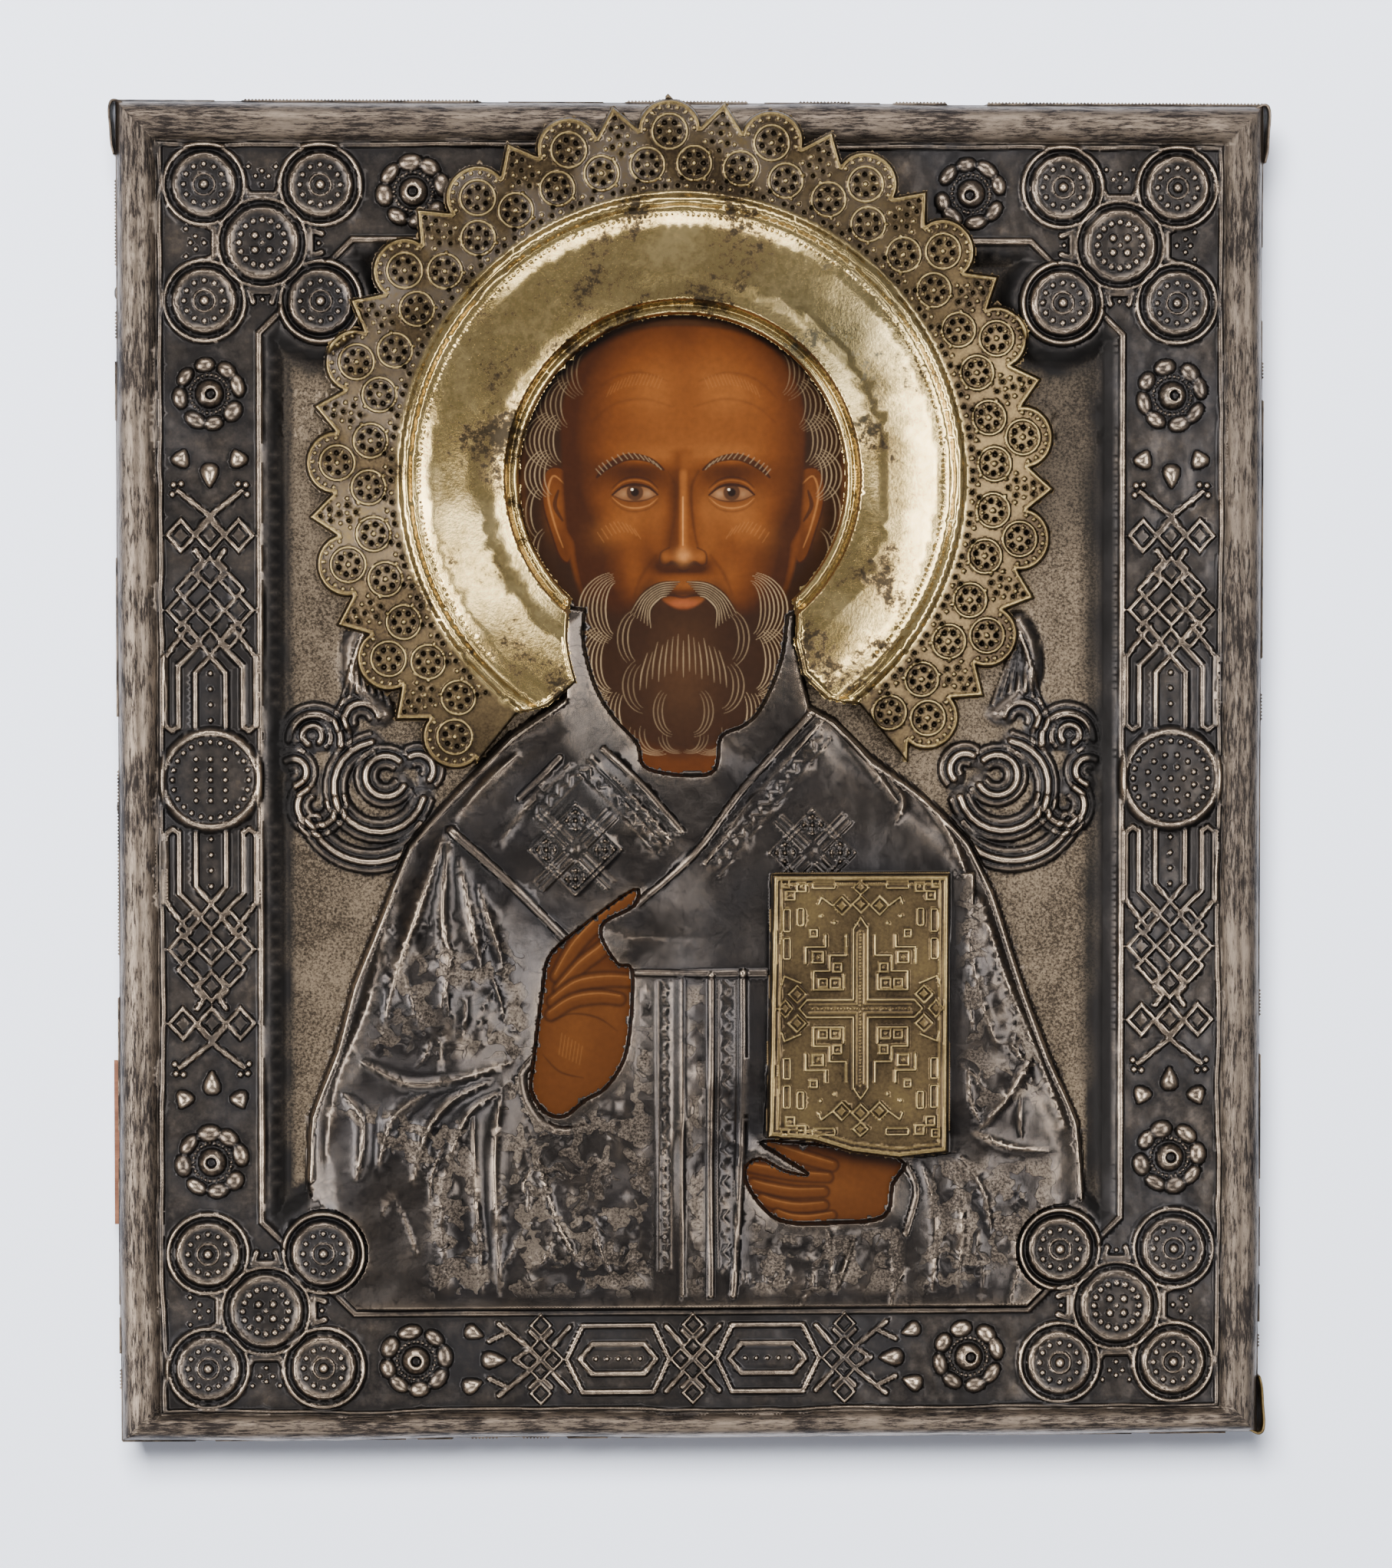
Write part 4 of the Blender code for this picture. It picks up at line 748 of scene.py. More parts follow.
FOLDS = [
    (1.5, 4.4, [(-70.8, -30), (-75.3, -52), (-83, -72), (-86, -92)]),
    (1.7, 3.6, [(-58.5, -15), (-63.5, -30), (-69, -46), (-72, -58)]),
    (1.4, 3.2, [(-57, -16), (-58.4, -32), (-57, -44), (-59, -56)]),
    (1.2, 3.0, [(-54.5, -20), (-51.6, -34), (-49, -48)]),
    (1.0, 2.6, [(-50, -26), (-45.6, -40), (-43, -50)]),
    (1.5, 3.4, [(-77, -67), (-66, -72), (-54, -70.6), (-41, -67)]),
    (1.7, 3.2, [(-82, -74), (-77, -81), (-78.5, -95)]),
    (1.5, 2.8, [(-62, -74), (-70, -80), (-73.5, -92)]),
    (1.6, 3.0, [(-47, -71.5), (-56, -75.6), (-62, -83), (-65.5, -96)]),
    (1.2, 2.4, [(-44.6, -74), (-52.5, -79), (-57, -90)]),
    (1.1, 2.6, [(-44.4, -72), (-46.4, -90), (-45, -122)]),
    (1.0, 2.2, [(-51.5, -78), (-50.8, -96), (-49, -122)]),
    (0.9, 3.4, [(-57.6, -92), (-58.6, -104), (-57, -122)]),
    (1.1, 1.8, [(-36.6, -88), (-32, -104), (-25.6, -116)]),
    (1.4, 3.2, [(67.5, -30), (73.5, -48), (81, -66), (88, -84)]),
    (1.0, 2.6, [(64, -36), (67, -52), (72, -66)]),
    (1.3, 2.6, [(81, -64), (74, -75), (66.5, -84)]),
    (1.2, 2.6, [(66, -84), (74, -87.4), (84, -88.6)]),
    (1.1, 2.2, [(63, -90), (68, -98), (70, -108)]),
    (1.1, 2.0, [(54, -92), (57, -104), (56, -122)]),
    (1.0, 2.0, [(61.5, -92), (63, -104), (62, -122)]),
    (1.0, 1.8, [(38, -109), (33, -122)]),
    (1.6, 3.4, [(36, 9), (43, 0), (49.5, -9)]),
    (1.1, 2.4, [(44.5, 0.5), (49, -6), (47, -12)]),
    (1.3, 3.0, [(54, -6), (60, -14), (65, -26)]),
    (1.5, 3.4, [(-41, 4.6), (-50, -4), (-55.5, -11)]),
    (0.9, 2.6, [(-33, 1), (-40, -9), (-46, -17)]),
]


# Large swells of the body: their middle, their half sizes and their height
SWELLS = [(-62, -48, 15, 30, 2.2), (69, -62, 12, 30, 1.6), (-2, -75, 30, 40, 1.2)]


def figure_ground(x, y):
    """The dressed figure above the field, before its chasing, and how deep inside it a point lies."""
    depth = polygon_depth(x, y, ROBE_LEFT + ROBE_RIGHT)
    collar = smooth((y - 4) / 10)
    robe = (2.0 + 2.4 * collar) * smooth(depth / 1.5) + 2.4 * (1 - collar) * smooth(depth / 8.0)
    robe = robe + 1.3 * smooth(depth / 42)
    for cx, cy, across, along, rise in SWELLS:
        robe = robe + rise * np.exp(-((x - cx) / across) ** 2 - ((y - cy) / along) ** 2) * smooth(depth / 9)
    robe = robe + 0.45 * noise(x, y, 13, 31) * smooth(depth / 9)
    robe = robe + 0.11 * noise(x, y, 5, 32) * smooth(depth / 7)
    return np.where(depth > 0, robe, 0.0), depth


PAGES_W = 6.0
BOOK_RISE = BOOK_LOW[2] - FIT_GAP - FIELD_TOP


def book_block(x, y, robe):
    """The book that the hand holds: its pages show beyond the gilt plate."""
    pages = polygon_depth(x, y, [(px + PAGES_W * (px > 40), py) for px, py in BOOK_PLATE])
    plate = polygon_depth(x, y, BOOK_PLATE)
    leaves_of_book = 0.22 * np.abs(((x - 59.5) / 0.95) % 2 - 1) * (x > 59.5)
    robe = np.maximum(robe, (BOOK_RISE - 2.6 + leaves_of_book) * smooth((pages + 1.3) / 1.3))
    return np.maximum(robe, BOOK_RISE * smooth((plate + 1.0) / 1.0))


def round_openings(x, y, reach):
    """Each opening of the cover: the points near it, and how far outside it they lie."""
    for outline in (face_opening(), curve(BLESSING_HAND, 4, True), curve(HOLDING_HAND, 4, True)):
        places = np.array(outline)
        near = (x > places[:, 0].min() - reach) & (x < places[:, 0].max() + reach)
        near &= (y > places[:, 1].min() - reach) & (y < places[:, 1].max() + reach)
        yield near, -polygon_depth(x[near], y[near], outline)


def soft_least(a, b):
    """The smaller of two heights, with a rounded change from one to the other."""
    return -np.logaddexp(-a * 3, -b * 3) / 3


def cut_openings(x, y, robe, inside):
    """Brings the sheet down to the painting round each opening, and pierces it."""
    for near, out in round_openings(x, y, 9):
        robe[near] = soft_least(robe[near], 0.05 + np.clip(out - 0.1, 0, None) * 8)
        inside[near] = np.minimum(inside[near], out)
    return robe, inside


# Curls of the clouds at the right: their middle, their radius, then their first and last angle
SCROLLS = [
    (71.5, -0.5, 6.2, -150, 130), (73.0, -3.0, 12.0, -165, 80), (75.0, -5.0, 17.0, -150, -20),
    (87.5, -7.5, 6.0, -200, 60), (88.0, 8.0, 7.5, 0, 190), (88.5, 9.0, 3.6, -60, 220),
    (77.0, 12.5, 5.5, -20, 165), (64.0, 1.0, 5.0, 60, 220), (93.0, 0.5, 4.5, 60, 260),
]


def clouds(sheet):
    """Curling clouds on both sides under the halo, each a lobe with lines along it."""
    for side in (-1, 1):
        def around(cx, cy, radius, first, last, count=18):
            return [(side * (cx + radius * math.cos(a)), cy + radius * math.sin(a))
                    for a in np.radians(np.linspace(first, last, count))]

        for cx, cy, radius, first, last in SCROLLS:
            sheet.ridge(around(cx, cy, radius - 1.6, first, last), 3.4, 1.5, soft_top)
        for cx, cy, radius, first, last in SCROLLS:
            for out, rise, width in ((0.2, 0.8, 0.9), (-2.2, 0.6, 0.8), (2.3, 0.6, 0.7)):
                line = around(cx, cy, radius - 1.6 + out, first, last)
                sheet.ridge(line, width, rise, round_top, pile=True)
        peak = curve([(side * 72, 14), (side * 79, 22), (side * 79.0, 30), (side * 76.5, 35)], 6)
        sheet.ridge(peak, 3.6, 2.0, soft_top)
        for i in range(7):
            foot = (side * (70.5 + 1.9 * i), 19.5 - 0.35 * (i - 3) ** 2)
            sheet.ridge([foot, (side * (76.6 + 0.25 * i), 33 - 0.6 * i)], 0.55, 0.5, round_top, pile=True)


def fold(sheet, rise, width, points):
    """A fold with a sharp crest that dies away at both ends."""
    line = curve(points, 6)
    (ax, ay), (bx, by) = line[0], line[-1]

    def height(x, y):
        along = ((x - ax) * (bx - ax) + (y - ay) * (by - ay)) / ((bx - ax) ** 2 + (by - ay) ** 2)
        share = np.sin(np.pi * np.clip(along * 0.94 + 0.06, 0, 1)) ** 0.6
        far = line_distance(x, y, line) / (width * (0.2 + 0.35 * share))
        return rise * share * np.exp(-1.5 * (np.sqrt(far ** 2 + 0.06) - 0.25))

    sheet.raise_by(line, 2.4 * width, height)


# Areas of small creases: their lower left and upper right corner, how many, and which way they lean
CREASES = [
    ((-80, -62), (-44, -30), 16, -100), ((58, -80), (84, -34), 12, -72),
    ((-70, -112), (-20, -86), 14, -95), ((14, -116), (80, -92), 12, -100),
]


def chasing(sheet):
    """Folds, borders, crosses and leaves of the dress."""
    for rise, width, points in FOLDS:
        fold(sheet, rise, width, points)
    wild = np.random.default_rng(34)
    for low, high, count, lean in CREASES:
        for _ in range(count):
            x, y = wild.uniform(low, high)
            turn, long = math.radians(lean + wild.uniform(-28, 28)), wild.uniform(6, 15)
            bend = wild.uniform(-1.5, 1.5)
            c, s = math.cos(turn), math.sin(turn)
            middle = (x + long / 2 * c - bend * s, y + long / 2 * s + bend * c)
            end = (x + long * c, y + long * s)
            fold(sheet, wild.uniform(0.25, 0.6), wild.uniform(0.7, 1.4), [(x, y), middle, end])
    sheet.detail *= 1 + 0.25 * noise(sheet.x, sheet.y, 9, 33)
    for rise, width, points in BORDERS:
        sheet.ridge(curve(points, 6), width * 0.85, rise * 0.7, round_top, pile=True)
    for line in (curve(ROBE_LEFT[1:12], 4), curve(ROBE_RIGHT[2:14], 4)):
        sheet.ridge(offset_line(line, 1.4), 0.8, 0.6, round_top, pile=True)
    zigzag(sheet, [(-14.6, -4.8), (-5.2, -15.6)], 1.6, 1.5)
    zigzag(sheet, [(30.6, 9.6), (16, -8.0), (4.4, -22.5)], 1.6, 1.5)
    zigzag(sheet, [(-25.5, 1.6), (-16.5, -7.0), (-7.2, -17.8)], 1.4, 1.4)
    zigzag(sheet, [(7.8, -48), (7.8, -116)], 1.5, 1.9)
    zigzag(sheet, [(-36.6, -9.4), (-27.0, 0.4)], 1.3, 1.4)
    zigzag(sheet, [(-6.5, -48.5), (-6.5, -116)], 1.1, 1.9)
    for cx, cy, size in ((-27.4, -17.6, 9.5), (27.8, -18.4, 9.0)):
        pattern_cross(sheet, cx, cy, size)


# Areas of brocade: outline, spacing of the leaves, seed, and how much of the area is matt ground
BROCADE_AREAS = [
    ([(-44, -52), (-9, -49), (-9, -122), (-46, -122)], 5.4, 5, 1.0),
    ([(13, -92), (50, -106), (50, -122), (13, -122)], 4.4, 6, 1.0),
    ([(-86, -76), (-62, -96), (-62, -122), (-46, -122), (-52, -80)], 5.0, 7, 0.75),
    ([(56, -90), (86, -90), (82, -112), (60, -122), (52, -122)], 4.8, 8, 0.8),
    ([(-72, -34), (-46, -30), (-39, -48), (-40, -66), (-76, -66)], 5.0, 9, 0.15),
    ([(62, -22), (70, -30), (84, -72), (64, -84), (62, -40)], 5.0, 10, 0.40),
    ([(-2, -49), (3, -49), (3, -122), (-2, -122)], 4.0, 11, 0.8),
]


def brocade(sheet):
    """Leaves and flowers woven in the dress: polished shapes on a matt ground."""
    sheet.layers["brocade"] = np.zeros(sheet.x.shape)
    for area, spacing, seed, share in BROCADE_AREAS:
        wild = np.random.default_rng(seed)
        window = sheet.window(area, 0)
        x, y = sheet.x[window], sheet.y[window]
        ground = smooth(polygon_depth(x, y, area) / 1.5)
        for hand in (BLESSING_HAND, HOLDING_HAND):
            ground = ground * smooth(-polygon_depth(x, y, hand) / 1.5 - 1.4)
        patch = smooth((noise(x, y, 9, seed + 200) + 1.25 * share + 0.3 * noise(x, y, 2.4, seed + 230)) / 0.4)
        leaf = np.zeros(x.shape)
        relief = np.zeros(x.shape)
        low, high = np.array(area).min(0), np.array(area).max(0)
        for row in range(int((high[1] - low[1]) / spacing) + 1):
            for column in range(int((high[0] - low[0]) / spacing) + 1):
                px = low[0] + (column + 0.5 * (row % 2) + wild.uniform(-0.3, 0.3)) * spacing
                py = low[1] + (row + wild.uniform(-0.3, 0.3)) * spacing
                bow, first = wild.uniform(3.4, 6.0), wild.uniform(0, 360)
                spine = arc(px, py, bow, first, first + wild.uniform(55, 85), 7)
                wide = wild.uniform(1.2, 2.1)
                places = np.array(spine)
                near = (x > places[:, 0].min() - 3) & (x < places[:, 0].max() + 3)
                near &= (y > places[:, 1].min() - 3) & (y < places[:, 1].max() + 3)
                nx, ny = x[near], y[near]
                inside = np.full(nx.shape, -9.0)
                for i, (ax, ay) in enumerate(spine):
                    half = wide * math.sin(math.pi * (i + 0.6) / 7.2) ** 0.8
                    inside = np.maximum(inside, half - np.hypot(nx - ax, ny - ay))
                leaf[near] = np.maximum(leaf[near], smooth(inside / 0.3))
                edge = 0.15 * round_top(np.abs(inside - 0.1) / 0.45)
                edge = edge - 0.10 * np.exp(-(line_distance(nx, ny, spine) / 0.25) ** 2)
                relief[near] = np.maximum(relief[near], np.where(inside > -0.4, edge, 0))
        sheet.layers["brocade"][window] = np.maximum(sheet.layers["brocade"][window], ground * patch)
        sheet.detail[window] += relief * ground


def zigzag(sheet, points, width, pitch):
    """A running zigzag between two lines."""
    places = np.array(points, float)
    steps = np.r_[0, np.cumsum(np.hypot(*np.diff(places, axis=0).T))]
    count = int(steps[-1] / pitch)
    at = np.linspace(0, steps[-1], count)
    line = np.stack([np.interp(at, steps, places[:, i]) for i in (0, 1)], 1)
    along = np.gradient(line, axis=0)
    along /= np.linalg.norm(along, axis=1)[:, None]
    across = np.stack([along[:, 1], -along[:, 0]], 1)
    sway = np.where(np.arange(count) % 2 == 0, 1, -1)[:, None]
    sheet.ridge([tuple(p) for p in line + across * sway * width * 0.6], 0.38, 0.22, round_top, pile=True)
    for out in (-1.35, 1.35):
        sheet.ridge([tuple(p) for p in line + across * out * width], 0.35, 0.2, round_top, pile=True)


def pattern_cross(sheet, cx, cy, size):
    """A cross set on its corner, with small crosses in its arms."""
    for turn in range(4):
        a = math.radians(45 + 90 * turn)
        c, s = math.cos(a), math.sin(a)

        def place(along, across):
            return cx + along * c - across * s, cy + along * s + across * c

        for across in (-1.5, -0.7, 0.7, 1.5):
            sheet.ridge([place(2.4, across), place(size * 1.25, across)], 0.36, 0.28, round_top, pile=True)
        b = a + math.pi / 4
        ex, ey = cx + size * 0.72 * math.cos(b), cy + size * 0.72 * math.sin(b)
        for quarter in range(4):
            g = b + quarter * math.pi / 2
            tip = (ex + 2.1 * math.cos(g), ey + 2.1 * math.sin(g))
            sheet.ridge([(ex, ey), tip], 0.45, 0.32, round_top, pile=True)
            for side in (-1, 1):
                fork = (tip[0] + 0.9 * math.cos(g + side * 1.9), tip[1] + 0.9 * math.sin(g + side * 1.9))
                sheet.ridge([tip, fork], 0.38, 0.30, round_top, pile=True)
    for reach in (0.95, 1.12):
        for turn in range(4):
            a = math.radians(90 * turn)
            corner = [(size * reach * math.cos(a), size * reach * math.sin(a)),
                      (size * reach * math.cos(a + math.pi / 2), size * reach * math.sin(a + math.pi / 2))]
            sheet.ridge([(cx + px, cy + py) for px, py in corner], 0.36, 0.26, round_top, pile=True)
    sheet.bead(cx, cy, 1.1, 0.3)


# Rows of strokes: their left end, their foot, their width, their number and a seed

STROKE_ROWS = [
    (82.5, 77.4, 13.0, 3, 71), (-95.0, 78.6, 12.0, 3, 72), (11.0, -119.2, 11.0, 1, 73),
    (63.6, 19.5, 9.0, 1, 74),
]


def stroke_rows(sheet):
    """Rows of shallow strokes scratched where the real cover has its marks."""
    for x, y, wide, rows, seed in STROKE_ROWS:
        wild = np.random.default_rng(seed)
        for row in range(rows):
            place = x
            while place < x + wide:
                low = y + row * 4.2
                high = low + wild.uniform(1.6, 2.6)
                lean = wild.uniform(-0.5, 0.5)
                sheet.ridge([(place, low), (place + lean, high)], 0.32, -0.22, round_top, pile=True)
                place += wild.uniform(1.0, 1.9)


def chased_detail(sheet, *jobs):
    """The detail that some jobs leave on the empty sheet."""
    sheet.detail = np.zeros(sheet.x.shape)
    for job in jobs:
        job(sheet)
    return sheet.detail


def cover_shade_and_tarnish(x, y, depth, robe_depth):
    """Painted shade, with some tarnish on the side slopes, along the figure, under the halo and on the right
    moulding; the field darker at the top right.
    """
    # Painted shade, with some tarnish, on the slopes at the sides
    side_slope = smooth((FIELD_Y - SLOPE_W - np.abs(y)) / 4 + 0.5)
    shade_and_tarnish = smooth(depth - 0.5) * smooth((SLOPE_W + 2.2 - depth) / 1.6) * side_slope
    shade_and_tarnish = shade_and_tarnish * (robe_depth < 0.5) * (0.86 + 0.3 * noise(x, y, 7, 61))
    for more in (
        # painted shade along the foot of the figure
        0.15 * np.exp(-((robe_depth + 0.6) / 0.7) ** 2) * (depth > 4),
        # painted shadow under the halo
        0.92 * smooth(under_halo(x, y)) * (robe_depth < 0),
        # darker towards the field's top right corner
        0.6 * smooth((x - 62) / 12) * smooth((y - 46) / 20) * (depth > 3),
        # painted shade on the right moulding
        0.25 * smooth((x - HALF_W + MOULDING_W + 1) / 1.5),
    ):
        shade_and_tarnish = np.maximum(shade_and_tarnish, more)
    return np.clip(shade_and_tarnish, 0, 1)


def cover_layers(sheet, depth, robe_depth, cloud_height):
    """The layers that the silver's colours follow."""
    x, y, layers = sheet.x, sheet.y, sheet.layers
    add_wear(sheet)
    dressed = (depth > 0) & (robe_depth > 0)
    bare = (depth > 0) & (robe_depth <= 0)
    # On the slope the wear is lowered, which darkens it: painted shade with some tarnish
    on_slope = smooth(depth / 0.8 - 0.3) * smooth((SLOPE_W + 1.5 - depth) / 1.5) * (robe_depth < 0)
    wear = layers["wear"] * (1 - 0.45 * on_slope)
    # On the dress the wear swings wider, so crests are brighter and hollows darker: painted highlight and shade
    # over the wear
    wear = np.where(dressed, np.clip(0.45 + 1.35 * (wear - 0.47), 0, 1), wear)
    wear = np.where((sheet.inside < 2.2) & dressed, np.clip(wear, 0.52, 0.64), wear)
    rising = dressed & (robe_depth < 4.5) & (y < DRESS_TOP)
    layers["wear"] = np.where(rising, np.maximum(wear, 0.52), wear)
    layers["moulding"] = np.clip((1.02 - moulding_share(x, y)) * 20, 0, 1)
    cloud = smooth(blurred(cloud_height, 4) / 0.35 - 0.2)
    layers["field"] = np.where(bare, smooth(depth / 2 - 1.6), 0.0) * (1 - cloud)
    layers["brocade"] *= dressed
    layers["robe"] = smooth(robe_depth / 0.8) * (depth > 0)
    # painted shade, with some tarnish on the side slopes
    layers["shade_and_tarnish"] = cover_shade_and_tarnish(x, y, depth, robe_depth)


COVER_PARTS = ["cover_dress", "cover_field", "cover_left", "cover_right", "cover_bottom", "cover_top"]


def cover_part(x, y):
    """The number in COVER_PARTS of the piece that each place belongs to."""
    at_side = np.abs(x) - FIELD_X > np.abs(y) - FIELD_Y
    on_frame = np.where(at_side, np.where(x > 0, 3, 2), np.where(y > 0, 5, 4))
    return np.where(field_depth(x, y) > 0, np.where(y < DRESS_TOP, 0, 1), on_frame)


def make_cover(silver):
    """The silver cover: its frame, its field and the dressed figure."""
    sheet = Sheet((-HALF_W - 0.6, -HALF_H - 0.6), (HALF_W + 0.6, HALF_H + 0.6), COVER_STEP)
    x, y = sheet.x, sheet.y
    depth = field_depth(x, y)
    robe, robe_depth = figure_ground(x, y)
    for near, out in round_openings(x, y, 19):
        robe[near] = soft_least(robe[near], 1.1 + 0.3 * np.clip(out, 0, None))
    robe = np.where(robe_depth > 0, robe, 0.0)
    ornament = chased_detail(sheet, main_ornament) * np.clip(-depth / 0.4, 0, 1)
    dress_detail = chased_detail(sheet, chasing, brocade) * smooth(robe_depth / 1.2)
    cloud_height = chased_detail(sheet, clouds)
    figure = robe + np.where(robe_depth > 0, dress_detail, cloud_height * smooth(1 - robe_depth))
    figure = book_block(x, y, figure)
    figure, sheet.inside = cut_openings(x, y, figure, sheet.inside)
    band = frame_ground(x, y) + 0.8 * round_top(np.abs(depth + 0.9) / 0.85)
    slope = BAND_TOP - (BAND_TOP - FIELD_TOP) * smooth(depth / SLOPE_W)
    field = FIELD_TOP + figure + 0.1 * noise(x, y, 11, 41)
    sheet.ground = np.where(depth > 0, np.maximum(slope, field), band)
    sheet.detail = np.where(depth > 0, 0.0, ornament)
    stroke_rows(sheet)
    side, top, bottom = edge_distances(x, y)
    sheet.inside = np.minimum(sheet.inside, np.minimum(np.minimum(side, top), bottom))
    cover_layers(sheet, depth, robe_depth, cloud_height)
    zones = {
        name: lambda px, py, number=number: cover_part(px, py) == number
        for number, name in enumerate(COVER_PARTS)
    }
    for piece in sheet_pieces(sheet, COVER_BUDGET, zones):
        dress(piece, silver, "silver", "silver_cover")


SKIRT_TOP = BAND_TOP - 1.25
CORNER_R = 1.4


def skirt_line(count_side, count_end):
    """Points round the skirt with their outward direction, anticlockwise from the lower right."""
    w, h, r = HALF_W - 0.12, HALF_H - 0.12, CORNER_R
    points, ways = [], []
    for cx, cy, first, straight in (
        (w - r, -h + r, -90, [(w, y, 1, 0) for y in np.linspace(-h + r, h - r, count_side)[1:-1]]),
        (w - r, h - r, 0, [(x, h, 0, 1) for x in np.linspace(w - r, -w + r, count_end)[1:-1]]),
        (-w + r, h - r, 90, [(-w, y, -1, 0) for y in np.linspace(h - r, -h + r, count_side)[1:-1]]),
        (-w + r, -h + r, 180, [(x, -h, 0, -1) for x in np.linspace(-w + r, w - r, count_end)[1:-1]]),
    ):
        for angle in np.radians(np.linspace(first, first + 90, 6)):
            points.append((cx + r * math.cos(angle), cy + r * math.sin(angle)))
            ways.append((math.cos(angle), math.sin(angle)))
        points += [p[:2] for p in straight]
        ways += [p[2:] for p in straight]
    return np.array(points), np.array(ways)


def make_skirt(silver):
    """The cover's edge, bent down round the board and hammered against it."""
    points, ways = skirt_line(150, 130)
    count = len(points)
    steps = np.r_[0, np.cumsum(np.hypot(*np.diff(points, axis=0).T))]
    side, top, bottom = edge_waves(points[:, 0], points[:, 1])
    edge = side * np.abs(ways[:, 0]) + 1.08 * top * (ways[:, 1] > 0.5) + bottom * (ways[:, 1] < -0.5)
    down, up = np.linspace(SKIRT_TOP, SKIRT_FOOT, 12), np.linspace(SKIRT_FOOT, SKIRT_TOP - 1, 4)
    rows = []
    for inset, heights in ((0.0, down), (SHEET - 0.25, up)):
        for z in heights:
            level = np.full(count, z)
            dents = 0.30 * noise(steps, level, 21, 91) + 0.10 * noise(steps, level, 5, 92)
            share = np.clip((SKIRT_TOP - z) / 4, 0, 1)
            out = edge * (1 - share) + np.clip(dents, -0.3, 0.12) * share - inset
            foot = 0.35 * noise(steps, np.full(count, 0.7), 27, 93) * (z < SKIRT_FOOT + 0.2)
            rows.append(np.column_stack([points + ways * out[:, None], level + np.maximum(foot, 0)]))
    verts = np.concatenate(rows)
    faces = []
    for row in range(len(rows) - 1):
        a = row * count + np.arange(count)
        b = row * count + (np.arange(count) + 1) % count
        faces.append(np.stack([a, a + count, b + count, b], 1))
    skirt = make_mesh("skirt", verts, np.concatenate(faces), None, {"moulding": np.ones(len(verts))})
    dress(skirt, silver, "silver", "silver_cover")


TABS = [("tab_top_left", -1, 1, 12.0), ("tab_top_right", 1, 1, 13.0), ("tab_bottom_right", 1, -1, 13.0)]


def make_tabs(silver, brass):
    """Spare sheet at three corners, folded down along the sides in a hook."""
    levels = [
        (SKIRT_TOP + 0.9, 0.0), (SKIRT_TOP - 2.5, 0.1), (SKIRT_TOP - 7, -0.15), (SKIRT_FOOT + 0.5, -0.35),
    ]
    for name, sx, sy, long in TABS:
        material = brass if sy < 0 else silver
        hook = curve([
            (-2.2, -0.5), (0.2, 0.75), (1.6, 0.2), (2.05, -2.0), (1.75, -0.5 * long), (1.5, -0.8 * long),
            (0.9, -long),
        ], 6)
        count = len(hook)
        rows = []
        for depth in (0.0, 0.5):
            line = offset_line(hook, depth)
            for z, lean in levels:
                rows.append([
                    (sx * (HALF_W + px + lean - 0.2), sy * (HALF_H + py - 0.1), z) for px, py in line
                ])
        verts = np.array(rows).reshape(-1, 3)
        faces = []

        def strip(one, two, flip):
            for i in range(count - 1):
                a, b = one * count + i, two * count + i
                faces.append((a, a + 1, b + 1, b) if flip else (a, b, b + 1, a + 1))

        for row in range(3):
            strip(row, row + 1, sx * sy > 0)
            strip(4 + row, 5 + row, sx * sy < 0)
        strip(0, 4, sx * sy < 0)
        strip(3, 7, sx * sy > 0)
        for end in (0, count - 1):
            for row in range(3):
                a, b = row * count + end, (row + 1) * count + end
                c, d = (4 + row) * count + end, (5 + row) * count + end
                faces.append((a, b, d, c) if (end == 0) == (sx * sy > 0) else (a, c, d, b))
        ones = np.ones(len(verts))
        layers = {"moulding": ones, "wear": 0.55 * ones, "rim": ones}
        dress(make_mesh(name, verts, np.array(faces), None, layers), material, "silver", "silver_cover")


def make_nails(iron):
    """Small round-headed nails through the skirt."""
    for number in range(1, 11):
        low, high = node_box(f"nail_{number}")
        size = high - low
        middle = (low + high) / 2
        axis = int(np.argmax(size))
        way = 1.0 if middle[axis] > 0 else -1.0
        radius = max(size[a] for a in range(3) if a != axis) / 2
        head = high[axis] if way > 0 else low[axis]
        profile = [(0, 0.0), (0.45, 0.03), (0.75, 0.16), (0.94, 0.36), (1.0, 0.62), (0.96, 0.74)]
        other = [a for a in range(3) if a != axis]
        verts, faces = [], []
        for share, depth in profile:
            for i in range(20):
                angle = 2 * math.pi * i / 20
                place = np.zeros(3)
                place[axis] = head - way * depth * 1.05
                place[other[0]] = middle[other[0]] + radius * share * math.cos(angle)
                place[other[1]] = middle[other[1]] + radius * share * math.sin(angle)
                verts.append(place)
        turn = way * (1 if axis == 0 else -1)
        for row in range(len(profile) - 1):
            for i in range(20):
                a, b = row * 20 + i, row * 20 + (i + 1) % 20
                faces.append((a, a + 20, b + 20, b) if turn > 0 else (a, b, b + 20, a + 20))
        head = make_mesh(f"nail_head_{number}", np.array(verts), np.array(faces))
        dress(head, iron, "nail", f"nail_{number}")


def halo_polar(x, y):
    """Radius and angle from the halo's top, clockwise in degrees."""
    dx, dy = x - HALO_X, y - HALO_Y
    return np.hypot(dx, dy), np.degrees(np.arctan2(dx, dy))


def from_ends(radius, angle):
    """How far a place lies from the halo's open ends, along its circle."""
    radii, right, left = zip(*HALO_ENDS)
    last = np.where(angle > 0, np.interp(radius, radii, right), np.interp(radius, radii, left))
    return (last - np.abs(angle)) * np.radians(1) * radius


def under_halo(x, y):
    """How deep a point lies under the halo's rim and band."""
    radius, angle = halo_polar(x, y)
    return np.minimum(HALO_TIP_R - 5 - radius, from_ends(radius, angle) - 1.5)


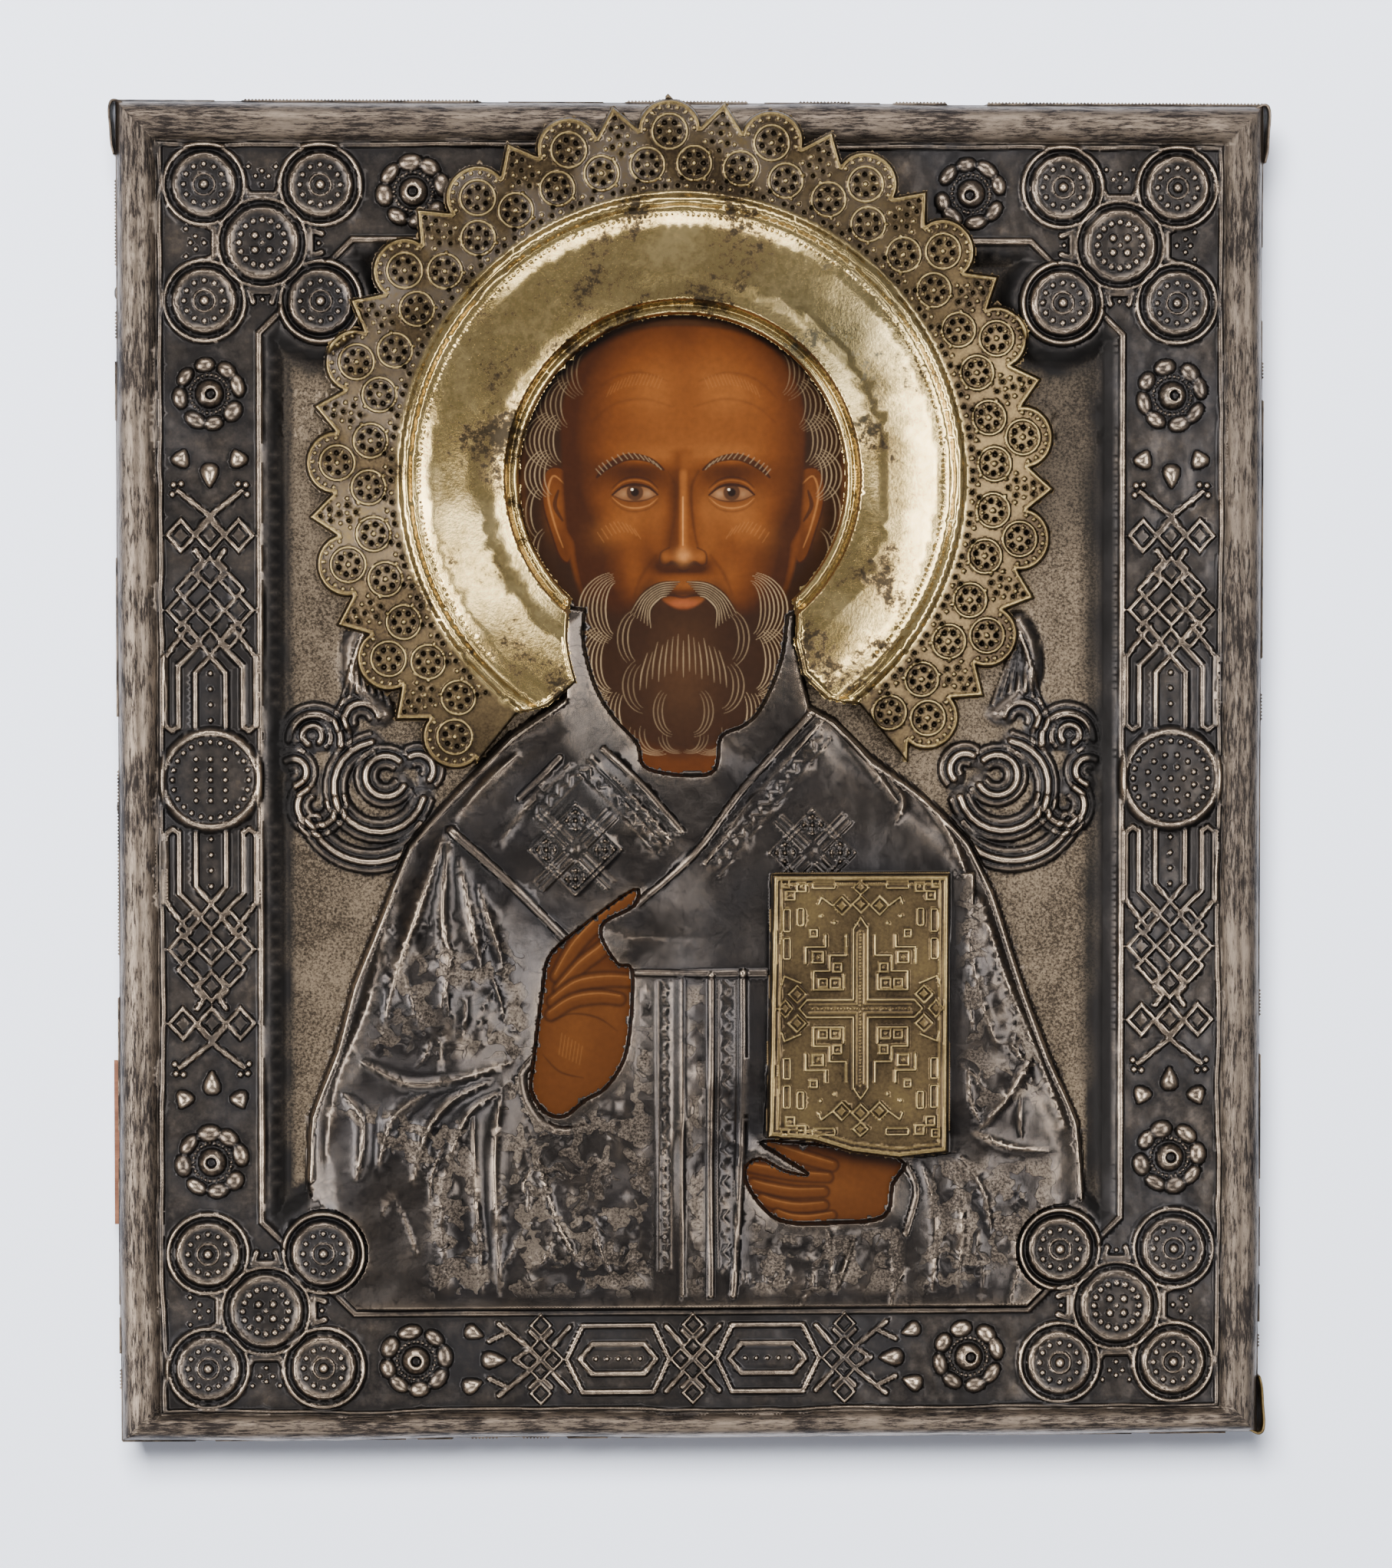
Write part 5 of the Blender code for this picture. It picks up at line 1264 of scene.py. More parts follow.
def halo_body(radius, angle):
    """Height over the field: the domed band, then the rim, which is lower toward its ends."""
    radii, heights = zip(*HALO_PROFILE)
    fine = np.linspace(radii[0], radii[-1], 600)
    kernel = np.hanning(15)
    kernel = kernel / kernel.sum()
    profile = np.convolve(np.pad(np.interp(fine, radii, heights), 7, "edge"), kernel, "valid")
    rim = RIM_RISE_TOP + (RIM_RISE_LOW - RIM_RISE_TOP) * smooth((np.abs(angle) - 42) / 40)
    share = np.clip((radius - radii[-1]) / (HALO_TIP_R - radii[-1]), 0, 1)
    return np.interp(radius, fine, profile) + (rim - heights[-1]) * share


def lobed_edge(radius, angle):
    """Depth inside the rim's outer edge, which is a row of lobes with a pointed tip between each two."""
    offset = (angle - LOBE_TURN + LOBE_PITCH / 2) % LOBE_PITCH - LOBE_PITCH / 2
    across = np.abs(np.radians(offset)) * LOBE_CENTRE_R
    half_pitch = math.radians(LOBE_PITCH / 2) * LOBE_CENTRE_R
    lobe = LOBE_R - np.hypot(across, np.maximum(radius - LOBE_CENTRE_R, 0))
    low = LOBE_CENTRE_R + 0.6
    share = np.clip((across - LOBE_R + 0.8) / (half_pitch - LOBE_R + 0.8), 0, 1)
    tip = (low + (HALO_TIP_R - low) * share ** 1.15 - radius) * 0.66
    return np.where(radius < LOBE_CENTRE_R, LOBE_R, np.maximum(lobe, tip))


def make_halo(gilt):
    """The gilt halo: a domed band between two beads, in a pierced, lobed rim."""
    reach = LOBE_CENTRE_R + LOBE_R + 0.6
    sheet = Sheet((HALO_X - reach, HALO_LOW[1] - 1.5), (HALO_X + reach, HALO_Y + reach), HALO_STEP)
    radius, angle = halo_polar(sheet.x, sheet.y)
    dent = 0.22 * noise(sheet.x, sheet.y, 16, 51) * smooth((radius - 66) / 6)
    dent = dent + 0.07 * noise(sheet.x, sheet.y, 7, 52)
    body = FIELD_TOP + halo_body(radius, angle) + dent
    sheet.ground = np.maximum(body, lowest_under_halo(sheet.x, sheet.y))
    edge = lobed_edge(radius, angle)
    ends = from_ends(radius, angle)
    sheet.inside = np.minimum(np.minimum(edge, radius - HALO_INNER_R), ends)
    filigree(sheet)
    edge_wire = 0.35 * round_top(np.abs(np.minimum(edge, 9) - 0.55) / 0.5)
    end_wire = 0.35 * round_top(np.abs(ends - 0.7) / 0.6)
    sheet.detail = np.maximum(sheet.detail, np.where(radius > HALO_RIM_R, edge_wire, end_wire))
    punch_line(sheet, HALO_INNER_R + 2.9)
    punch_line(sheet, 60.9)
    add_wear(sheet, 0.6, 2.4)
    sheet.layers["rim"] = smooth((radius - 65.6) / 1.2)
    # Painted shade with some dirt round each hole of the rim, where the sheet below lies in shadow
    sheet.layers["dirt"] = 0.8 * smooth((0.5 - sheet.inside) / 0.3) * (edge > 1.3) * (radius > 66.4)
    for piece in sheet_pieces(sheet, HALO_BUDGET, {
        "halo_band": lambda px, py: halo_polar(px, py)[0] < HALO_RIM_R,
        "halo_rim_left": lambda px, py: (halo_polar(px, py)[0] >= HALO_RIM_R) & (px < HALO_X),
        "halo_rim_right": lambda px, py: (halo_polar(px, py)[0] >= HALO_RIM_R) & (px >= HALO_X),
    }):
        dress(piece, gilt, "gilt", "halo")


def lowest_under_halo(x, y):
    """The least height that keeps the rim above the frame that it crosses."""
    depth = field_depth(x, y)
    over = np.where(depth < 2.5, BAND_TOP + 2.7, FIELD_TOP + 0.6)
    return blurred(np.where(depth < 4.5, over, FIELD_TOP + 0.4), 12)


def punch_line(sheet, radius):
    """A line of punched dots round the band."""
    count = int(2 * math.pi * radius / 1.25)
    for i in range(count):
        angle = 360 * i / count - 180
        if abs(angle) < 134:
            sheet.bead(*halo_place(radius, angle), 0.36, -0.3, True, soft_top)


def filigree(sheet):
    """Rings, grains and pierced holes of the rim."""
    for k in range(-9, 10):
        for part, radius in ((0.0, LOBE_CENTRE_R), (0.25, INNER_RING_R), (-0.25, INNER_RING_R)):
            angle = LOBE_TURN + (k + part) * LOBE_PITCH
            if abs(angle) > (140 if part == 0 else 141):
                continue
            ring_motif(sheet, *halo_place(radius, angle), 4.05 if part == 0 else 3.95, 17 * k)
        angle = LOBE_TURN + k * LOBE_PITCH
        if abs(angle) <= 140:
            x, y = halo_place(LOBE_CENTRE_R, angle)
            for i in range(9):
                turn = angle - 84 + 21 * i
                place = (x + 5.75 * math.sin(math.radians(turn)), y + 5.75 * math.cos(math.radians(turn)))
                sheet.bead(*place, 0.52, 0.5)
        angle += LOBE_PITCH / 2
        if abs(angle) < 138:
            for radius, spread, pierced in (
                (84.4, 0, True), (82.2, 0.9, True), (82.3, 0, False), (80.0, 1.55, False), (80.1, 0, True),
                (78.0, 1.3, True), (78.2, 0, False), (76.1, 0, True), (75.4, 1.6, False), (77.9, 2.5, False),
            ):
                for side in ((-1, 1) if spread else (1,)):
                    grain_or_hole(sheet, radius, angle + side * spread, pierced)
    for k in range(-36, 37):
        angle = LOBE_TURN + (k + 0.5) * LOBE_PITCH / 4
        if abs(angle) < 139:
            between = k % 2 == 0
            grain_or_hole(sheet, 67.6, angle - 0.9, True)
            grain_or_hole(sheet, 67.6, angle + 0.9, not between)
            grain_or_hole(sheet, 69.3, angle, between)
            grain_or_hole(sheet, 68.9, angle + 1.7, False)


def grain_or_hole(sheet, radius, angle, pierced):
    x, y = halo_place(radius, angle)
    if pierced:
        sheet.bead(x, y, 0.85, 0.16)
        sheet.hole(x, y, 0.52)
    else:
        sheet.bead(x, y, 0.5, 0.5)


def ring_motif(sheet, x, y, radius, turn):
    """A wire ring round a grain, with holes and grains by turns."""
    sheet.ridge(arc(x, y, radius, 0, 360, 29), 0.36, 0.42)
    sheet.bead(x, y, 0.6, 0.55)
    for i in range(6):
        angle = math.radians(turn + 60 * i)
        px, py = x + radius * 0.56 * math.cos(angle), y + radius * 0.56 * math.sin(angle)
        sheet.hole(px, py, 0.6)
        angle += math.radians(30)
        sheet.bead(x + radius * 0.68 * math.cos(angle), y + radius * 0.68 * math.sin(angle), 0.38, 0.35)


def make_book(gilt):
    """The gilt plate on the book: a beaded cross among diamonds, squares and bars."""
    sheet = Sheet((BOOK_LOW[0] - 0.4, BOOK_LOW[1] - 0.4), (BOOK_HIGH[0] + 0.4, BOOK_HIGH[1] + 0.4), BOOK_STEP)
    sheet.inside = polygon_depth(sheet.x, sheet.y, BOOK_PLATE)
    base = BOOK_HIGH[2] - 0.75
    sheet.ground[:] = base + 0.06 * noise(sheet.x, sheet.y, 8, 61)
    cx, cy = 38.9, -54.6
    sheet.detail = np.maximum(sheet.detail, 0.45 * round_top(np.abs(sheet.inside - 0.8) / 0.6))
    sheet.detail = np.maximum(sheet.detail, 0.3 * round_top(np.abs(sheet.inside - 2.1) / 0.4))
    book_pattern(sheet, cx, cy)
    sheet.detail *= np.clip(sheet.inside * 3, 0, 1)
    add_wear(sheet, 0.5, 2.0)
    sheet.layers["rim"] = np.ones(sheet.x.shape)
    sheet.edge_depth = 1.2
    for piece in sheet_pieces(sheet, BOOK_BUDGET, {"book_cover": lambda px, py: px == px}):
        dress(piece, gilt, "gilt", "book_plate")


# One quarter of the plate's pattern, from its middle: place and half size
BOOK_SQUARES = [
    (5.9, 5.9, 1.1), (8.8, 6.0, 0.95), (5.4, 9.6, 0.95), (10.0, 12.0, 1.25), (16.4, 26.4, 1.0),
    (13.8, 28.4, 1.0), (17.6, 29.2, 0.9), (11.0, 17.6, 0.8),
]
BOOK_BARS = [(17.2, 20.6, 0.75, 2.6), (14.0, 21.4, 0.7, 2.0), (17.2, 14.0, 0.75, 2.4), (8.6, 28.8, 2.6, 0.75)]


def book_pattern(sheet, cx, cy):
    """The plate's chased pattern, the same in its four quarters."""
    rise = 0.42
    for sx in (-1, 1):
        for sy in (-1, 1):
            def place(x, y):
                return cx + sx * x, cy + sy * y

            def line(*points, width=0.32, high=rise):
                sheet.ridge([place(*p) for p in points], width, high)

            line((0, 21.2), (1.7, 18.6), (1.7, 2.0), (12.6, 2.0), (14.4, 0))
            line((0.9, 17.6), (0.9, 1.0), (11.8, 1.0), width=0.28, high=0.25)
            line((3.4, 17.2), (3.4, 12.4), (7.2, 12.4), (7.2, 8.8), (11.0, 8.8), (11.0, 4.4), (4.0, 4.4),
                 (4.0, 8.0))
            line((8.2, 17.2), (8.2, 14.4), (12.8, 14.4), (12.8, 10.6))
            for x, y, half in BOOK_SQUARES:
                square(sheet, *place(x, y), half)
            for x, y, long, wide in BOOK_BARS:
                bar(sheet, *place(x, y), 0, long - 0.3, wide - 0.3, 0.3, rise)
            diamond(sheet, *place(4.4, 24.0), 2.1, 2.1, 0.34, rise, 0.3)
            diamond(sheet, *place(14.8, 3.4), 2.0, 2.0, 0.34, rise, 0.3)
            line((6.8, 24.2), (9.2, 26.0), (9.8, 24.4))
            line((14.0, 6.0), (17.8, 7.6), (18.4, 5.6))
            sheet.bead(*place(6.2, 20.0), 0.5, 0.4)
            sheet.bead(*place(9.4, 21.6), 0.5, 0.4)
    for side in (-1, 1):
        diamond(sheet, cx, cy + side * 24.4, 2.0, 2.0, 0.34, rise, 0.3)
        diamond(sheet, cx, cy + side * 28.2, 1.8, 1.6, 0.34, rise, 0.3)
        diamond(sheet, cx + side * 17.6, cy, 1.7, 2.0, 0.34, rise, 0.3)
        for i in range(24):
            sheet.bead(cx, cy + side * (0.8 + 0.75 * i), 0.3, 0.3)
        for i in range(15):
            sheet.bead(cx + side * (0.8 + 0.75 * i), cy, 0.3, 0.3)


def square(sheet, x, y, half):
    """A small square eyelet with a grain in it."""
    def height(px, py):
        ring = np.maximum(np.abs(px - x), np.abs(py - y))
        return 0.4 * round_top(np.abs(ring - half) / 0.32)

    sheet.raise_by([(x, y)], half + 1, height)
    sheet.bead(x, y, half * 0.45, 0.3)


# The painted picture

HEAD_X = HALO_X + 0.5
CROWN_Y = 104.5
CHIN_Y = 26.5
HEAD_H = CROWN_Y - CHIN_Y
EYE_Y = (CROWN_Y + CHIN_Y) / 2
BROW_Y = EYE_Y + 0.085 * HEAD_H
NOSE_Y = CHIN_Y + 0.28 * HEAD_H
MOUTH_Y = CHIN_Y + 0.19 * HEAD_H
EYE_X = 0.145 * HEAD_H
EYE_HALF_W = 0.068 * HEAD_H
PAINT_Z = BOARD_FIELD + 0.06

SKIN_DARK = (0.018, 0.005, 0.0015)
SKIN_BROWN = (0.040, 0.0105, 0.002)
SKIN_MIDDLE = (0.066, 0.018, 0.003)
SKIN = (0.086, 0.0255, 0.0046)
SKIN_LIGHT = (0.128, 0.041, 0.0078)
SKIN_GLOW = (0.28, 0.115, 0.032)
LINE_BROWN = (0.012, 0.004, 0.002)
LIP_RED = (0.150, 0.034, 0.012)
EYE_WHITE = (0.085, 0.034, 0.012)
EYE_LIGHT_OUTER = (0.16, 0.080, 0.035)
EYE_LIGHT_INNER = (0.14, 0.070, 0.030)
IRIS = (0.030, 0.012, 0.005)
PUPIL = (0.006, 0.003, 0.002)
GLINT = (0.75, 0.62, 0.45)
HAIR_DARK = (0.011, 0.0045, 0.002)
HAIR_WARM = (0.050, 0.021, 0.008)
HAIR_PALE = (0.22, 0.155, 0.085)
BACKGROUND = (0.05, 0.018, 0.005)
HAND_SHADE = 0.5


class Picture:
    """A flat painting: colours on a fine grid."""

    def __init__(self, low, high, step, colour):
        self.sheet = Sheet(low, high, step)
        self.x, self.y = self.sheet.x, self.sheet.y
        self.colour = np.ones(self.x.shape + (3,)) * np.array(colour)

    def wash(self, share, colour, area=None):
        """Lays a colour over the picture by a share from 0 to 1."""
        area = area or (slice(None), slice(None))
        share = np.clip(share, 0, 1)[..., None]
        self.colour[area] = self.colour[area] * (1 - share) + np.array(colour) * share

    def glow(self, x, y, across, along, colour, strength, turn=0.0):
        """A soft oval of colour."""
        area = self.sheet.window([(x, y)], 2.4 * max(across, along))
        dx, dy = self.x[area] - x, self.y[area] - y
        c, s = math.cos(math.radians(turn)), math.sin(math.radians(turn))
        reach = ((dx * c + dy * s) / across) ** 2 + ((-dx * s + dy * c) / along) ** 2
        self.wash(strength * np.exp(-reach), colour, area)

    def patch(self, outline, colour, strength=1.0, soft=0.4):
        """An area of colour with a soft edge."""
        area = self.sheet.window(outline, soft * 2)
        depth = polygon_depth(self.x[area], self.y[area], outline)
        self.wash(strength * smooth(0.5 + depth / (2 * soft)), colour, area)

    def stroke(self, points, width, colour, strength=1.0, taper=0.6, soft=0.12):
        """A brush stroke that thins out towards both ends by a share."""
        line = np.array(points, float)
        area = self.sheet.window(points, width + soft * 2)
        x, y = self.x[area], self.y[area]
        cover = np.zeros(x.shape)
        count = len(line) - 1
        for i in range(count):
            place = (i + 0.5) / count
            half = width / 2 * (1 - taper * abs(2 * place - 1) ** 1.5)
            away = line_distance(x, y, [tuple(line[i]), tuple(line[i + 1])])
            cover = np.maximum(cover, smooth((half + soft - away) / (2 * soft)))
        self.wash(strength * cover, colour, area)

    def pieces(self, name, budget):
        """The picture as a mesh that carries its colours."""
        sheet = self.sheet
        sheet.ground[:] = PAINT_Z
        sheet.layers = {"paint": self.colour}
        tone = np.sqrt(np.clip(self.colour, 0, 1)) @ np.array([0.5, 0.4, 0.3])
        return sheet_pieces(sheet, budget, {name: lambda px, py: px == px}, extra=tone * 12)


def head_relief(x, y):
    """The head as a rounded form: forehead, brows, eyes, nose, cheeks and mouth."""
    u, v = np.abs(x - HEAD_X), y
    h = HEAD_H
    skull_y = CHIN_Y + 0.62 * h
    skull = 1 - (u / (0.40 * h)) ** 2 - ((v - skull_y) / (0.44 * h)) ** 2
    form = 0.30 * h * np.sqrt(np.clip(skull, 0.0, 1))
    jaw = 1 - (u / (0.32 * h)) ** 2 - ((v - CHIN_Y - 0.38 * h) / (0.42 * h)) ** 2
    jaw = 0.27 * h * np.sqrt(np.clip(jaw, 0.0, 1))
    form = np.logaddexp(form * 1.2, jaw * 1.2) / 1.2

    def lump(ux, vy, across, along, rise):
        return rise * np.exp(-((u - ux) / across) ** 2 - ((v - vy) / along) ** 2)

    form = form + lump(0.17 * h, CHIN_Y + 0.78 * h, 0.13 * h, 0.10 * h, 2.2)
    form = form + lump(EYE_X * 1.02, BROW_Y + 0.6, 0.10 * h, 0.032 * h, 2.0)
    form = form - lump(EYE_X * 0.95, EYE_Y + 0.3, 0.105 * h, 0.05 * h, 3.6)
    form = form + lump(EYE_X, EYE_Y - 0.1, 0.058 * h, 0.030 * h, 2.1)
    bridge = np.clip((BROW_Y - v) / (BROW_Y - NOSE_Y), 0, 1)
    nose_half = 1.7 + 2.5 * bridge ** 1.5
    inside = (v < BROW_Y + 3) & (v > NOSE_Y - 4)
    nose = (1.5 + 4.2 * bridge) * np.exp(-(u / nose_half) ** 2) * smooth((v - NOSE_Y + 1.8) / 3.2) * inside
    form = form + nose + lump(0.055 * h, NOSE_Y + 1.2, 2.0, 2.0, 2.0)
    form = form + lump(0.215 * h, CHIN_Y + 0.385 * h, 0.10 * h, 0.075 * h, 2.3)
    form = form - lump(0.13 * h, CHIN_Y + 0.30 * h, 0.035 * h, 0.09 * h, 1.2)
    form = form + lump(0, MOUTH_Y - 2.6, 0.075 * h, 1.7, 1.5)
    form = form + lump(0.03 * h, MOUTH_Y + 1.5, 0.05 * h, 1.2, 1.2)
    return form + lump(0, CHIN_Y + 2.5, 0.09 * h, 3.6, 1.4)


def paint_head():
    """A calm, bearded elder of no particular likeness, in the manner of an old icon."""
    picture = Picture((-45.5, -1.5), (41.5, 110.5), HEAD_STEP, BACKGROUND)
    x, y = picture.x, picture.y
    u = x - HEAD_X
    # Painted shade under the halo's lip: the picture is darker toward the lip
    picture.wash(smooth((np.hypot(x - HALO_X, y - HALO_Y) - 30) / 12) * 0.6, (0.035, 0.014, 0.006))
    picture.patch([(-16, -2), (-14, 12), (12, 12), (13, -2)], SKIN_BROWN, 1.0, 1.5)
    half = [(30, 37), (35.0, 52), (37.2, 66), (36.6, 80), (31, 92.5), (20, 101.5)]
    crown = [(HEAD_X, CROWN_Y + 0.6)]
    hair = curve(aside(HEAD_X, -1, half) + crown + aside(HEAD_X, 1, half[::-1]), 8, True)
    picture.patch(hair, HAIR_DARK, 1.0, 1.0)
    form = head_relief(x, y)
    fall_y, fall_x = np.gradient(form, picture.sheet.step)
    lit = (0.16 * -fall_x + 0.34 * -fall_y + 0.92) / np.sqrt(fall_x ** 2 + fall_y ** 2 + 1)
    lit = blurred(lit, 3)
    half = [
        (14, 102.8), (23.5, 96.5), (28.2, 86), (28.4, 74), (27.8, 62), (26.4, 50), (22.4, 38),
        (12.5, CHIN_Y + 0.8),
    ]
    right, left = aside(HEAD_X, 1, half), aside(HEAD_X, -1, half[::-1])
    outline = curve([(HEAD_X, CROWN_Y)] + right + [(HEAD_X, CHIN_Y)] + left, 6, True)
    for side in (-1, 1):
        ear(picture, side)
    depth = polygon_depth(x, y, outline)
    face = smooth(0.5 + depth / 1.2)
    stops = (0.25, 0.52, 0.72, 0.88, 1.0)
    tones = np.array([SKIN_DARK, SKIN_BROWN, SKIN_MIDDLE, SKIN, SKIN_LIGHT])
    level = lit - 0.04 - 0.26 * smooth(1 - depth / 13) - 0.06 * smooth((52 - y) / 12)
    level = level - 0.10 * np.exp(-(u / 4.0) ** 2) * smooth((y - 76) / 8)
    skin = np.stack([np.interp(level, stops, tones[:, i]) for i in range(3)], -1)
    area = face > 0
    picture.colour[area] = (picture.colour * (1 - face[..., None]) + skin * face[..., None])[area]
    features(picture)
    side_hair(picture)
    beard(picture)
    dirt = noise(x, y, 2.2, 71) * 0.5 + noise(x, y, 0.7, 72) * 0.5
    picture.colour *= (1 + 0.07 * dirt)[..., None]
    return picture


def aside(x, side, points):
    """Points given by how far they lie beside a line, on one side of it."""
    return [(x + side * px, py) for px, py in points]


def mirrored(points):
    """Points given from the head's middle line, on both of its sides."""
    return [aside(HEAD_X, side, points) for side in (-1, 1)]


def ear(picture, side):
    """A simple ear between the brow and the foot of the nose."""
    x = HEAD_X + side * 28.4
    outline = curve(aside(x, side, [
        (-1.5, 69), (1.6, 71.5), (4.2, 69.5), (4.4, 63), (2.4, 56), (0.4, 50.5), (-1.8, 49.6), (-2.6, 56),
    ]), 6, True)
    shell = aside(x, side, [(-0.6, 67.6), (2.0, 69.4), (3.2, 65), (1.6, 58), (-0.3, 52.8)])
    hollow = aside(x, side, [(0.8, 66.0), (1.6, 62.5), (-0.2, 59.0)])
    picture.patch(outline, SKIN_BROWN, 1.0, 0.4)
    picture.glow(x + side * 1.6, 62, 2.0, 6.0, SKIN, 0.7)
    picture.stroke(curve(shell, 6), 0.5, SKIN_GLOW, 0.35)
    picture.stroke(curve(hollow, 6), 1.0, LINE_BROWN, 0.75)
    picture.stroke(outline + outline[:1], 0.45, LINE_BROWN, 0.8, 0.2)


def features(picture):
    """Brows, eyes, nose, mouth and the light strokes over them."""
    def line(points, *brush, side=1):
        picture.stroke(curve(aside(HEAD_X, side, points), 6), *brush)

    for points in mirrored([
        (4.6, BROW_Y - 1.2), (8.0, BROW_Y + 1.1), (13.0, BROW_Y + 1.7), (17.8, BROW_Y - 0.6),
        (20.2, BROW_Y - 3.0),
    ]):
        brow = curve(points, 8)
        picture.stroke(brow, 1.7, LINE_BROWN, 0.85, 0.75)
        for bx, by in brow[2:-3:2]:
            side = 1 if bx > HEAD_X else -1
            picture.stroke([(bx, by - 0.4), (bx + side * 1.1, by + 0.9)], 0.22, HAIR_PALE, 0.4, 0.5)
    for side in (-1, 1):
        eye(picture, side)
    for side in (-1, 1):
        line([(3.6, BROW_Y - 1.5), (1.9, EYE_Y + 1), (2.3, EYE_Y - 7), (3.4, NOSE_Y + 4.5)],
             0.6, SKIN_DARK, 0.40 + 0.3 * (side > 0), 0.7, 0.5, side=side)
        line([(3.2, NOSE_Y + 4.4), (5.2, NOSE_Y + 3.2), (5.3, NOSE_Y + 0.7), (3.8, NOSE_Y + 0.2)],
             0.5, LINE_BROWN, 0.75, side=side)
        line([(1.3, NOSE_Y + 0.2), (2.6, NOSE_Y + 0.9), (3.9, NOSE_Y + 0.3)], 0.9, LINE_BROWN, 0.9, side=side)
        picture.glow(HEAD_X + side * 4.2, NOSE_Y + 2.2, 1.0, 1.2, SKIN_LIGHT, 0.55)
        line([(6.4, NOSE_Y + 2.6), (9.6, NOSE_Y - 2.0), (11.4, MOUTH_Y + 0.5)],
             0.7, SKIN_DARK, 0.45, 0.7, 0.5, side=side)
        picture.glow(HEAD_X + side * 16.0, NOSE_Y + 8.5, 5.0, 3.4, SKIN_LIGHT, 0.5, side * -20)
    picture.stroke([(HEAD_X, BROW_Y - 2), (HEAD_X, NOSE_Y + 4)], 1.5, SKIN_LIGHT, 0.75, 0.4, 0.6)
    picture.stroke([(HEAD_X - 0.1, EYE_Y - 1), (HEAD_X - 0.1, NOSE_Y + 5)], 0.35, SKIN_GLOW, 0.8, 0.5)
    picture.glow(HEAD_X, NOSE_Y + 2.4, 1.7, 1.6, SKIN_GLOW, 0.7)
    line([(-1.4, NOSE_Y - 0.6), (0, NOSE_Y - 1.1), (1.4, NOSE_Y - 0.6)], 0.5, LINE_BROWN, 0.8)
    line([
        (-7.6, MOUTH_Y - 0.1), (-3, MOUTH_Y + 0.3), (0, MOUTH_Y - 0.2), (3, MOUTH_Y + 0.3),
        (7.6, MOUTH_Y - 0.1),
    ], 0.65, LINE_BROWN, 0.9)
    picture.glow(HEAD_X, MOUTH_Y - 1.7, 3.8, 1.0, LIP_RED, 0.85)
    picture.glow(HEAD_X, MOUTH_Y - 1.9, 2.0, 0.5, SKIN_LIGHT, 0.4)
    picture.glow(HEAD_X, MOUTH_Y - 4.0, 3.8, 0.8, SKIN_DARK, 0.6)
    for wrinkle in (
        [(3.5, 91.5), (10, 93.6), (17, 92.0), (22, 87.5)], [(2.5, 85.6), (9.5, 87.4), (16.5, 86.0), (21.5, 82)],
    ):
        for points in mirrored(wrinkle):
            picture.stroke(curve(points, 8), 0.5, SKIN_DARK, 0.35, 0.8, 0.5)
    for side in (-1, 1):
        for i in range(15):
            px = HEAD_X + side * (5.6 + 0.85 * i)
            py = 92.0 - 0.035 * (i - 5) ** 2
            ends = [(px - side * 0.7, py + 1.2), (px + side * 0.4, py - 1.3)]
            picture.stroke(ends, 0.17, SKIN_GLOW, 0.16, 0.7)
    for side in (-1, 1):
        for i in range(10):
            px = HEAD_X + side * (11.5 + 0.95 * i)
            py = NOSE_Y + 10.4 - 0.10 * (i - 4) ** 2
            picture.stroke([(px, py), (px - side * 1.5, py - 2.3)], 0.17, SKIN_GLOW, 0.24, 0.7)


def eye(picture, side):
    """An open, quiet eye under its lid."""
    x = HEAD_X + side * EYE_X
    w = EYE_HALF_W
    upper = curve([
        (x - w, EYE_Y - 0.5), (x - w * 0.55, EYE_Y + 1.35), (x, EYE_Y + 1.95), (x + w * 0.6, EYE_Y + 1.3),
        (x + w, EYE_Y - 0.4),
    ], 6)
    lower = curve([
        (x + w, EYE_Y - 0.4), (x + w * 0.5, EYE_Y - 1.6), (x, EYE_Y - 1.95), (x - w * 0.5, EYE_Y - 1.7),
        (x - w, EYE_Y - 0.5),
    ], 6)
    picture.glow(x, EYE_Y + 0.4, w * 1.5, 3.6, SKIN_DARK, 0.5)
    picture.patch(upper + lower, EYE_WHITE, 1.0, 0.2)
    picture.glow(x - side * w * 0.55, EYE_Y - 0.2, 1.1, 0.9, EYE_LIGHT_OUTER, 0.7)
    picture.glow(x + side * w * 0.5, EYE_Y - 0.2, 1.1, 0.8, EYE_LIGHT_INNER, 0.6)
    picture.patch(arc(x, EYE_Y + 0.15, 1.95, 0, 345, 24), IRIS, 1.0, 0.2)
    picture.patch(arc(x, EYE_Y + 0.15, 0.95, 0, 345, 24), PUPIL, 1.0, 0.15)
    picture.patch(arc(x - 0.65, EYE_Y + 0.8, 0.27, 0, 345, 24), GLINT, 0.9, 0.1)
    picture.stroke(upper, 0.75, LINE_BROWN, 0.95, 0.5)
    picture.stroke(lower, 0.4, LINE_BROWN, 0.7, 0.6)
    lid = [(px, py + 1.5 + 0.3 * math.cos((px - x) / w)) for px, py in upper]
    picture.stroke(lid, 0.45, LINE_BROWN, 0.6, 0.6)
    picture.stroke([(px, py - 0.75) for px, py in lid], 0.5, SKIN_LIGHT, 0.5, 0.7)
    bag = [(px, 2 * EYE_Y - py - 2.4) for px, py in upper]
    picture.stroke(bag, 0.45, SKIN_DARK, 0.5, 0.8, 0.3)
    picture.stroke([(px, py + 0.8) for px, py in bag], 0.4, SKIN_GLOW, 0.4, 0.8)


